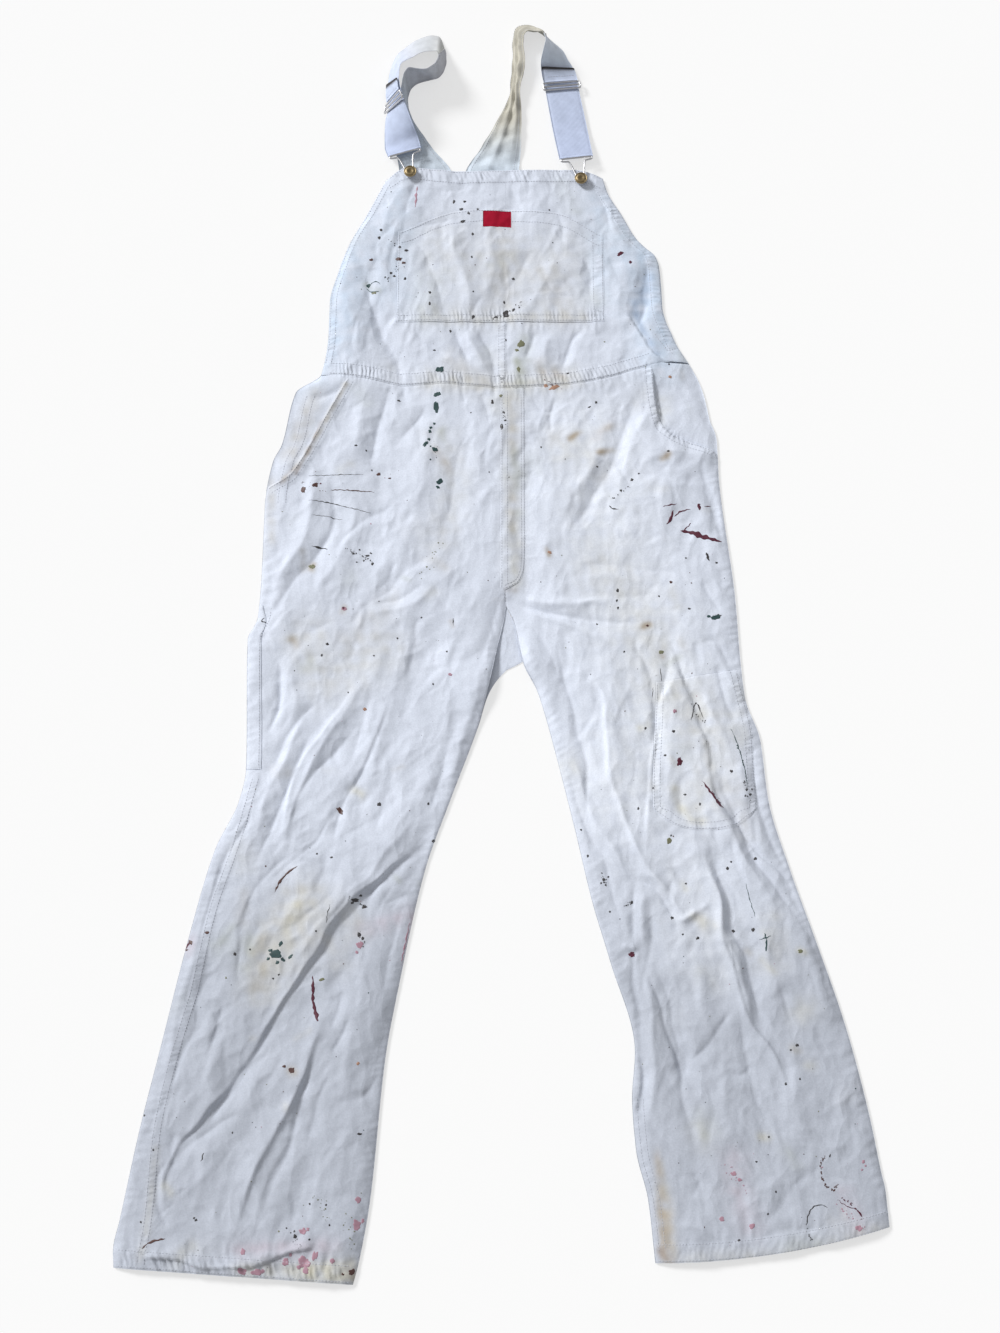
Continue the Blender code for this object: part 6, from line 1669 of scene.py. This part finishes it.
def map_strip(obj, width, along):
    """Writes a map of the strap laid out flat, in metres, for both of its sides."""
    u, v = np.meshgrid(np.linspace(0, width, STRAP_COLUMNS), along)
    uv = np.tile(np.column_stack([u.ravel(), v.ravel()]), (2, 1)).astype(np.float32)
    layer = obj.data.uv_layers.new(name="strip")
    corner = np.empty(len(obj.data.loops), np.int32)
    obj.data.loops.foreach_get("vertex_index", corner)
    layer.data.foreach_set("uv", uv[corner].ravel())


def ribbon(name, rows, start, end, thickness, finish, crumple=FLAT, stand_off=0.0, uneven=0.0):
    """A strap of even thickness with rounded edges, along part of its run."""
    length = run_of(strap_edges(rows, np.linspace(start, end, 60))[0])[-1]
    shares = np.linspace(start, end, max(6, int(length / STRAP_STEP)))
    middle, normal, along = strap_surface(rows, shares, crumple)
    t = np.linspace(-1, 1, STRAP_COLUMNS)
    if uneven:
        waves = ripple(*np.meshgrid(t * 0.02, along), 0.018, len(name))
        middle = middle + normal[:, None] * (uneven * waves)[:, :, None]
    middle = middle + normal[:, None] * stand_off
    full = np.sqrt(np.clip(1 - np.abs(t) ** 14, 0.06, 1))
    half = normal[:, None] * (thickness / 2) * full[None, :, None]
    outer, inner = middle + half, middle - half
    lowest = np.minimum(outer[:, :, 2], inner[:, :, 2]).min(axis=1)
    for side in (outer, inner):
        side[:, :, 2] += np.maximum(-lowest, 0)[:, None]
    obj = shell(name, outer, inner, finish, flip=True)
    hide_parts(name)
    map_strip(obj, width_of(middle), along)
    return obj, outer, normal


def build_straps():
    """Cloth from the back, then webbing: one layer down to the slider, two from there round the hook."""
    drill, web = drill_material(), webbing_material()
    cloth = (("left", LEFT_STRAP, LEFT_JOIN, FLAT, 0.0005), ("right", RIGHT_CLOTH, 1.0, CRUMPLE, 0.0009))
    webbing = (
        ("upper", "left", LEFT_STRAP, LEFT_JOIN + 0.002, LEFT_SLIDER[1], WEBBING, 0.0),
        ("front", "left", LEFT_STRAP, LEFT_SLIDER[1], 1.0, 2 * WEBBING, 0.0),
        ("tail", "left", LEFT_STRAP, *LEFT_TAIL, WEBBING, 1.6 * WEBBING),
        ("upper", "right", RIGHT_WEBBING, 0.0, RIGHT_SLIDER[1], WEBBING, 0.0),
        ("front", "right", RIGHT_WEBBING, RIGHT_SLIDER[1], 1.0, 2 * WEBBING, 0.0),
        ("tail", "right", RIGHT_WEBBING, *RIGHT_TAIL, WEBBING, 1.6 * WEBBING),
    )
    pieces = {}
    for side, rows, end, crumple, uneven in cloth:
        name = "strap_cloth_" + side
        pieces[name] = ribbon(name, rows, 0.0, end, STRAP_CLOTH, drill, crumple, uneven=uneven)
        tint_strap(pieces[name][0], side)
    for piece, side, rows, start, end, thickness, stand_off in webbing:
        name = f"strap_web_{piece}_{side}"
        pieces[name] = ribbon(name, rows, start, end, thickness, web, stand_off=stand_off)
        tint_webbing(pieces[name], piece, side, start, end)
    for obj, outer, _ in pieces.values():
        width, length = width_of(outer), float(run_of(outer.mean(axis=1))[-1])
        max(width, SMALLEST_SHEET)
        max(length, SMALLEST_SHEET)
    return pieces


def tint_webbing(made, piece, side, start, end):
    """Colours a webbing piece along its run, paler where the run carries painted light, with painted shadow,
    nearly black, at the tail's sewn end and where the slider sits.
    """
    obj, outer, _ = made
    place, *colours = zip(*WEB_TINTS[side])
    share = np.linspace(start, end, len(outer))
    colour = np.column_stack([smooth(list(zip(place, part)), share) for part in colours])
    # painted shadow on the first rows
    colour[:SHADOWED_ROWS[piece]] = PAINTED_SHADOW
    set_tint(obj, np.tile(np.repeat(colour, STRAP_COLUMNS, axis=0), (2, 1)))


def tint_strap(obj, side):
    """Colours a cloth strap: the clean yoke's blue white at its foot; towards the webbing, soiled cream on
    the right, and on the left a grey that is painted shade on its loop's lower band.
    """
    x, y, _ = places(obj).T
    high, low = STRAP_TINTS[side]
    shade = 1 + 0.07 * ripple(x, y, 0.03, 61) + 0.05 * ripple(x, y, 0.008, 62)
    set_tint(obj, blend(PALE_BLUE, high, ease((y - low + 0.05) / 0.08)) * shade[:, None])


# ---------------------------------------------------------------- hardware


def wire_piece(name, points, closed=True):
    """Round wire along a smooth curve through the points."""
    curve = bpy.data.curves.new(name, "CURVE")
    curve.dimensions = "3D"
    curve.bevel_depth = WIRE
    curve.bevel_resolution = 6
    curve.resolution_u = 6
    spline = curve.splines.new("NURBS")
    spline.points.add(len(points) - 1)
    for point, place in zip(spline.points, points):
        point.co = (*place, 1.0)
    spline.use_cyclic_u = closed
    spline.order_u = 3
    spline.use_endpoint_u = not closed
    curve.use_fill_caps = not closed
    curve.materials.append(bpy.data.materials.get("plated_wire") or wire_material())
    obj = add_object("shown_" + name, curve)
    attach(obj, "root")
    return obj


def rounded_loop(corners, radius):
    """Points round a polygon with its corners cut, three to a corner and one between."""
    made = []
    for before, here, after in zip(corners[-1:] + corners[:-1], corners, corners[1:] + corners[:1]):
        back = (before - here) / np.linalg.norm(before - here)
        ahead = (after - here) / np.linalg.norm(after - here)
        made += [here + back * radius, here + (back + ahead) * radius * 0.30, here + ahead * radius]
        made.append((here + after) / 2)
    return made


def build_slider(name, rows, shares):
    """A wire frame over the webbing with a middle bar, which the webbing passes behind."""
    left, right, normal = strap_edges(rows, np.array(shares))
    rise = WEBBING + WIRE + WIRE_GAP
    left, right = left + normal * rise, right + normal * rise
    run = (right - left) / np.linalg.norm(right - left, axis=1)[:, None]
    left, right = left - run * SLIDER_REACH, right + run * SLIDER_REACH
    frame_wire = wire_piece(name, rounded_loop([left[0], right[0], right[1], left[1]], SLIDER_CORNER))
    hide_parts(name)
    bar = [(left[0] + left[1]) / 2, (left.sum(axis=0) + right.sum(axis=0)) / 4, (right[0] + right[1]) / 2]
    wire_piece(name + "_bar", bar, closed=False)


def cloth_hit(tree, x, y):
    """Where a ray from above meets the cloth, and the cloth's normal there."""
    return tree.ray_cast(Vector((x, y, RAY_FROM)), Vector((0, 0, -1)))[:2]


def surface_z(tree, x, y):
    place, _ = cloth_hit(tree, x, y)
    return place.z if place else 0.0


def build_hook_and_button(side, rows, tree):
    """A wire hook: a bar at the webbing's end, and a keyhole loop round the button's neck."""
    (left,), (right,), _ = strap_edges(rows, np.array([1.0]))
    bx, by = BUTTONS[side]
    around = [(dx, dy) for dx in (-0.006, 0, 0.006) for dy in (-0.006, -0.001)]
    seat = max(surface_z(tree, bx + dx, by + dy) for dx, dy in around)
    button = np.array([bx, by, seat + HOOK_RISE])
    bar = (left + right) / 2
    bar[2] = max(bar[2] + WEBBING, seat + HOOK_RISE)
    run = (right - left) / np.linalg.norm(right - left)
    away = np.cross(run, (0, 0, 1))
    away *= np.sign(away @ (button - bar))
    bar = bar + away * (WIRE + WIRE_GAP)
    shoulder = [(HOOK_HALF, 0.0012), (HOOK_HALF - 0.001, 0.0035)]
    shoulder += [(HOOK_NECK + 0.004, 0.0042), (HOOK_NECK, 0.0045)]
    turns = np.radians([50, 80, 110, 145, 180, 215, 250, 280, 310])
    points = [bar + run * out for out in (0.002 - HOOK_HALF, 0, HOOK_HALF - 0.002)]
    points += [bar + run * out + away * up for out, up in shoulder]
    points += [button + HOOK_RING * (run * math.sin(turn) - away * math.cos(turn)) for turn in turns]
    points += [bar - run * out + away * up for out, up in reversed(shoulder)]
    hook = wire_piece("hook_" + side, points)
    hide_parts("hook_" + side)
    build_button("button_" + side, bx, by, seat + 0.0003)


def build_button(name, x, y, base):
    """A tack button, turned: a neck, a rolled rim, a groove, and a low dome with a dished middle."""
    r = BUTTON_RADIUS
    profile = (
        (0.0, 0.0), (0.30 * r, 0.0), (0.35 * r, 0.0008), (0.35 * r, 0.0038), (0.80 * r, 0.0040),
        (0.93 * r, 0.0041), (0.985 * r, 0.0045), (r, 0.0051), (0.975 * r, 0.0057), (0.92 * r, 0.0060),
        (0.86 * r, 0.0059), (0.82 * r, 0.0055), (0.78 * r, 0.0055), (0.70 * r, 0.0060), (0.55 * r, 0.0063),
        (0.40 * r, 0.0062), (0.30 * r, 0.0059), (0.15 * r, 0.0057), (0.0, 0.0057),
    )
    angles = 2 * math.pi * np.arange(BUTTON_TURNS) / BUTTON_TURNS
    points = [(x, y, base + profile[0][1])]
    for radius, height in profile[1:-1]:
        ring = zip(x + radius * np.cos(angles), y + radius * np.sin(angles))
        points += [(*place, base + height) for place in ring]
    points.append((x, y, base + profile[-1][1]))
    last = len(points) - 1 - BUTTON_TURNS
    faces = fan_faces(1, 0, BUTTON_TURNS, flip=True)
    for ring in range(1, last, BUTTON_TURNS):
        faces += ring_faces(ring, ring + BUTTON_TURNS, BUTTON_TURNS)
    faces += fan_faces(last, len(points) - 1, BUTTON_TURNS)
    obj = add_mesh(name, points, faces, bpy.data.materials.get("antique_brass") or brass_material())
    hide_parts(name)


def build_label(tree):
    """The woven label at the top of the bib pocket, a closed thin patch that follows it."""
    (x0, y0), (x1, y1) = LABEL
    x, y = np.meshgrid(np.linspace(x0, x1, 22), np.linspace(y1 - 0.004, y0 - 0.001, 14))
    under = np.array([[surface_z(tree, px, py) for px, py in zip(*row)] for row in zip(x, y)])
    z = under + 0.0007 - rim_drop(x.shape) * 0.8
    obj = shell("label", np.dstack([x, y, z]), np.dstack([x, y, under - 0.0004]), label_material())
    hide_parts("label")


# ---------------------------------------------------------------- stitches


def cloth_tree(pieces):
    """One ray target out of these pieces."""
    points, faces, start = [], [], 0
    for piece in pieces:
        mesh = piece.data
        points += [v.co for v in mesh.vertices]
        faces += [[start + k for k in p.vertices] for p in mesh.polygons]
        start += len(mesh.vertices)
    return BVHTree.FromPolygons(points, faces)


def stitch_paths():
    """Every topstitched line on the front, as plan paths."""
    left_mouth, right_mouth = mouth_path(MOUTH_LEFT), mouth_path(MOUTH_RIGHT)
    fly = offset_path(walk(fly_edge(), 0.005), 0.0018)
    return [
        across(BIB_TOP, -0.138, 0.121, -0.0165), across(BIB_TOP, -0.138, 0.121, -0.0020),
        down(OUTER_LEFT, 0.525, 0.285, 0.0085), down(OUTER_LEFT, 0.525, 0.285, 0.0018),
        down(BIB_RIGHT, 0.525, 0.295, -0.0130), down(BIB_RIGHT, 0.525, 0.295, -0.0018),
        [(0.181, 0.324), (0.187, 0.314), (0.194, 0.305)], [(0.208, 0.305), (0.197, 0.301), (0.191, 0.307)],
        across(WAIST, -0.205, 0.175, 0.0022), across(WAIST, -0.205, 0.175, 0.0150),
        bib_centre(-0.0015), bib_centre(-0.0080),
        pocket_bottom(0.0020), pocket_bottom(0.0085),
        upright(POCKET_LEFT_X + 0.002, 0.456, 0.340),
        upright(POCKET_RIGHT_X - 0.002, 0.450, 0.340), upright(POCKET_RIGHT_X - 0.013, 0.456, 0.340),
        across(POCKET_TOP, -0.123, 0.120, -0.0030), across(POCKET_TOP, -0.123, 0.120, -0.0170),
        offset_path(left_mouth, -0.002), offset_path(left_mouth, -0.0085),
        offset_path(right_mouth, 0.002), offset_path(right_mouth, 0.0085),
        upright(CENTRE_X - FLY_LEFT + 0.002, 0.250, 0.004),
        upright(CENTRE_X - FLY_LEFT + 0.0085, 0.250, 0.006),
        fly, offset_path(fly, 0.0030),
        upright(CENTRE_X - 0.0015, FLY_END_Y - 0.002, CROTCH_Y),
        left_hem(HEM), left_hem(0.0022), right_hem(HEM), right_hem(0.0022),
        down(OUTER_LEFT, 0.245, 0.105, 0.0155), down(OUTER_LEFT, 0.245, 0.105, 0.0245),
        down(LEFT_FELLED, -0.216, -0.728, -0.0035), down(LEFT_FELLED, -0.216, -0.728, 0.0035),
        tool_outline(0.002), tool_outline(0.0085),
        down(INSEAM_RIGHT, -0.560, -0.715, 0.0050), down(INSEAM_RIGHT, -0.560, -0.715, 0.0115),
        down(OUTER_LEFT, -0.022, -0.204, 0.0145),
    ]


def read_line(run, line, at):
    """The line's values at a place along its run."""
    return np.array([np.interp(at, run, column) for column in line.T])


def stitch_points(start, end, up):
    """A stitch between two points: its first tip, three rings of four, and its other tip."""
    along = (end - start) / np.linalg.norm(end - start)
    side = np.cross(up, along)
    side /= np.linalg.norm(side)
    points = []
    for place, girth, lift in STITCH_SHAPE:
        centre = (start + end) / 2 + along * place * STITCH_LENGTH / 2 + up * THREAD * lift
        ring = ((1, 0), (0, 1), (-1, 0), (0, -1)) if girth else ((0, 0),)
        points += [centre + (side * dx + up * dy) * THREAD * girth for dx, dy in ring]
    return points


def thread_mesh(name, runs, finish):
    """One joined mesh of short stitches. A run is points along a line with their outward normals."""
    points, faces = [], []
    for line, normals in runs:
        run = run_of(line)
        for place in np.arange(STITCH_PITCH / 2, run[-1] - STITCH_LENGTH, STITCH_PITCH):
            start, end = read_line(run, line, place), read_line(run, line, place + STITCH_LENGTH)
            if np.linalg.norm(end - start) < SHORTEST_STITCH:
                continue
            up = read_line(run, normals, place + STITCH_LENGTH / 2)
            tip = len(points)
            points += stitch_points(start, end, up / np.linalg.norm(up))
            faces += fan_faces(tip + 1, tip, 4) + fan_faces(tip + 9, tip + 13, 4, flip=True)
            faces += ring_faces(tip + 1, tip + 5, 4, flip=True) + ring_faces(tip + 5, tip + 9, 4, flip=True)
    add_mesh(name, points, faces, finish)


def plan_runs(tree, paths):
    """The plan paths laid on the cloth: points and normals where a ray from above meets it."""
    runs = []
    for path in paths:
        hits = [cloth_hit(tree, x, y) for x, y in walk(path, STITCH_STEP)]
        hits = [(place, normal if normal.z > 0 else -normal) for place, normal in hits if place]
        if len(hits) > 4:
            line, normals = zip(*hits)
            runs.append((np.array(line), np.array(normals)))
    return runs


def strap_runs(straps):
    """Stitches along both edges of the cloth straps and across the webbing's sewn ends."""
    runs = []
    for side in ("left", "right"):
        _, outer, normal = straps["strap_cloth_" + side]
        runs += [(outer[3:-2, column], normal[3:-2]) for column in (2, 18)]
    for side in ("left", "right"):
        _, outer, normal = straps["strap_web_tail_" + side]
        for row in (2, 5):
            line = outer[row, 1:-1]
            runs.append((line, np.repeat(normal[row][None], len(line), axis=0)))
    return runs


# ---------------------------------------------------------------- paint


def blob(rng, mark, z_of):
    """A thin crust of paint with an uneven outline, its skirt in the cloth."""
    long_side = max(mark.wide, mark.tall) * MM / 2
    count = 12 if long_side < 0.0012 else 20 if long_side < 0.003 else 32
    angle = np.linspace(0, 2 * math.pi, count, endpoint=False)
    uneven = 1 + sum(
        rng.uniform(0.06, 0.24) * np.sin(lobes * angle + rng.uniform(0, 2 * math.pi)) / math.sqrt(lobes)
        for lobes in (2, 3, 4, 5, 7, 9)
    )
    turn = math.radians(mark.turn + rng.normal(0, 8))
    out_x = np.cos(angle) * mark.wide * MM / 2 * uneven
    out_y = np.sin(angle) * mark.tall * MM / 2 * uneven
    off_x = out_x * math.cos(turn) - out_y * math.sin(turn)
    off_y = out_x * math.sin(turn) + out_y * math.cos(turn)
    x, y = mark.x * MM, mark.y * MM
    rings = [(1.0, -PAINT_SUNK), (1.0, PAINT_EDGE)]
    rings += [(share, PAINT_RISE) for share in np.linspace(0.86, 0.18, max(2, int(long_side / BLOB_STEP)))]
    points = []
    for share, lift in rings:
        for at_x, at_y in zip(x + off_x * share, y + off_y * share):
            points.append((at_x, at_y, z_of(at_x, at_y) + lift))
    points += [(x, y, z_of(x, y) + PAINT_RISE), (x, y, z_of(x, y) - PAINT_SUNK)]
    last = (len(rings) - 1) * count
    faces = fan_faces(last, len(points) - 2, count) + fan_faces(0, len(points) - 1, count, flip=True)
    for ring in range(0, last, count):
        faces += ring_faces(ring, ring + count, count)
    return points, faces


def dribble(rng, width, path, z_of):
    """A run of paint along a path, its width uneven and its ends pointed."""
    path = walk(np.array(path) * MM, DRIBBLE_STEP)
    share = np.linspace(0, 1, len(path))
    metres = share * len(path) * DRIBBLE_STEP
    seed = int(rng.integers(1000))
    side = sideways(path)
    path = path + side * (0.00035 * ripple(metres, 0 * share, 0.006, seed))[:, None]
    half = width * MM / 2 * (0.8 + 0.35 * ripple(metres, 0 * share, 0.007, seed + 1))
    point = np.sqrt(np.clip(np.sin(math.pi * np.clip(share, 0.02, 0.98)), 0.05, 1))
    half = np.clip(half, 0.00022, None) * point
    rim = ((1, PAINT_EDGE), (1, -PAINT_SUNK))
    profile = [(-place, lift) for place, lift in reversed(rim)]
    profile += [(place, PAINT_RISE) for place in (-0.6, 0, 0.6)] + list(rim)
    points = []
    for place, lift in profile:
        line = path + side * (half * place)[:, None]
        points.append([(x, y, z_of(x, y) + lift) for x, y in line])
    count = len(profile)
    points = [place for ring in zip(*points) for place in ring]
    last = len(points) - count
    faces = [tuple(range(count - 1, -1, -1)), tuple(range(last, len(points)))]
    for ring in range(0, last, count):
        faces += ring_faces(ring, ring + count, count)
    return points, faces


def seeded_specks(name, rng):
    """Tiny specks between the larger marks, away from the edges, thicker in some places than in others."""
    made = []
    while len(made) < SPECKS.get(name, 0):
        x, y = rng.uniform(-380, 380), rng.uniform(-735, 525)
        place = np.array(x * MM), np.array(y * MM)
        clustered = 0.35 + 0.65 * ease(0.5 + ripple(*place, 0.13, 71))
        if edge_distance(*place) < 0.006 or rng.uniform() > clustered:
            continue
        size = rng.uniform(0.5, 1.1) if rng.uniform() < 0.8 else rng.uniform(1.1, 1.8)
        made.append(Mark(x, y, size, size * rng.uniform(0.6, 1.4), rng.uniform(0, 180)))
    return made


def trail_specks(name, rng):
    """The specks of this colour's trails."""
    made = []
    for colour, count, stray, *path in TRAILS_MM:
        if colour != name:
            continue
        path = walk(path, 0.5)
        for _ in range(count):
            x, y = path[rng.integers(len(path))] + rng.normal(0, 0.5 * stray, 2)
            size = rng.uniform(0.6, 1.7)
            made.append(Mark(x, y, size, size * rng.uniform(0.5, 1.3), rng.uniform(0, 180)))
    return made


def build_paint(tree):
    """The spatter: one joined mesh of low domes and runs for each colour of paint."""
    def z_of(x, y):
        return surface_z(tree, x, y)

    for number, (name, colour) in enumerate(PAINTS.items()):
        rng = np.random.default_rng(100 + number)
        marks = [Mark(*row) for row in MARKS_MM.get(name, ())]
        marks += seeded_specks(name, rng) + trail_specks(name, rng)
        on_cloth = [mark for mark in marks if z_of(mark.x * MM, mark.y * MM) > 0]
        shapes = [blob(rng, mark, z_of) for mark in on_cloth]
        shapes += [dribble(rng, width, path, z_of) for width, *path in STREAKS_MM.get(name, ())]
        points, faces = [], []
        for new_points, new_faces in shapes:
            start = len(points)
            points += new_points
            faces += [tuple(start + k for k in face) for face in new_faces]
        add_mesh("paint_" + name, points, faces, plain_material("paint_" + name, colour, 0.5))


# ---------------------------------------------------------------- camera, light and floor


def aim(obj, place, target):
    obj.location = place
    obj.rotation_euler = (Vector(target) - Vector(place)).to_track_quat("-Z", "Y").to_euler()


def build_camera():
    camera = bpy.data.cameras.new("camera")
    camera.sensor_fit = "VERTICAL"
    camera.sensor_height = 36
    camera.lens = 47.8
    camera.clip_end = 20
    obj = add_object("camera", camera)
    aim(obj, CAMERA_PLACE, CAMERA_TARGET)
    bpy.context.scene.camera = obj


def build_light():
    """A low soft key from the upper left, which draws the folds, and a plain pale world."""
    sun = bpy.data.lights.new("key", "SUN")
    sun.energy = SUN_STRENGTH
    sun.angle = math.radians(16)
    aim(add_object("key", sun), SUN_FROM, (0, 0, 0))
    world = bpy.data.worlds.new("studio")
    world.use_nodes = True
    background = world.node_tree.nodes["Background"]
    background.inputs["Color"].default_value = (1, 1, 1, 1)
    background.inputs["Strength"].default_value = WORLD_STRENGTH
    bpy.context.scene.world = world


def build_floor():
    """A white floor that shows white to the camera and keeps a soft shadow."""
    made, shader, node = new_material("floor", 1.0)
    shader.inputs["Base Color"].default_value = (0.93, 0.93, 0.93, 1)
    shader.inputs["Specular IOR Level"].default_value = 0.0
    ray = node("ShaderNodeLightPath").outputs
    seen = maths(node, "ADD", ray["Is Camera Ray"], ray["Is Glossy Ray"])
    seen = maths(node, "ADD", seen, ray["Is Transmission Ray"])
    glow = node("ShaderNodeEmission", {"Color": (1, 1, 1, 1), "Strength": 1.0})
    mix = node("ShaderNodeMixShader", {"Fac": maths(node, "MULTIPLY", seen, FLOOR_GLOW)})
    link(made, shader.outputs["BSDF"], mix.inputs[1])
    link(made, glow.outputs["Emission"], mix.inputs[2])
    link(made, mix.outputs["Shader"], made.node_tree.nodes["Material Output"].inputs["Surface"])
    mesh = bpy.data.meshes.new("floor")
    corners = [(x * FLOOR_HALF, y * FLOOR_HALF, FLOOR_Z) for x, y in ((-1, -1), (1, -1), (1, 1), (-1, 1))]
    mesh.from_pydata(corners, [], [(0, 1, 2, 3)])
    mesh.materials.append(made)
    add_object("floor", mesh)


# ---------------------------------------------------------------- the scene


def build_scene():
    bpy.context.scene.view_settings.view_transform = "Standard"
    build_camera()
    build_light()
    build_floor()
    build_back()
    front = build_front_legs()
    front.append(build_facing("left", OUTER_LEFT, MOUTH_LEFT, -1))
    front.append(build_facing("right", OUTER_RIGHT, MOUTH_RIGHT, 1))
    front += build_bib()
    front += [build_bib_pocket(), build_fly(), build_tool_strip(), build_tool_pocket()]
    tree = cloth_tree(front)
    build_label(tree)
    straps = build_straps()
    build_slider("slider_left", LEFT_STRAP, LEFT_SLIDER)
    build_slider("slider_right", RIGHT_WEBBING, RIGHT_SLIDER)
    build_hook_and_button("left", LEFT_STRAP, tree)
    build_hook_and_button("right", RIGHT_WEBBING, tree)
    thread = plain_material("thread", THREAD_COLOUR, 0.7, 0.10)
    thread_mesh("stitches", plan_runs(tree, stitch_paths()), thread)
    thread_mesh("strap_stitches", strap_runs(straps), thread)
    build_paint(tree)


build_scene()
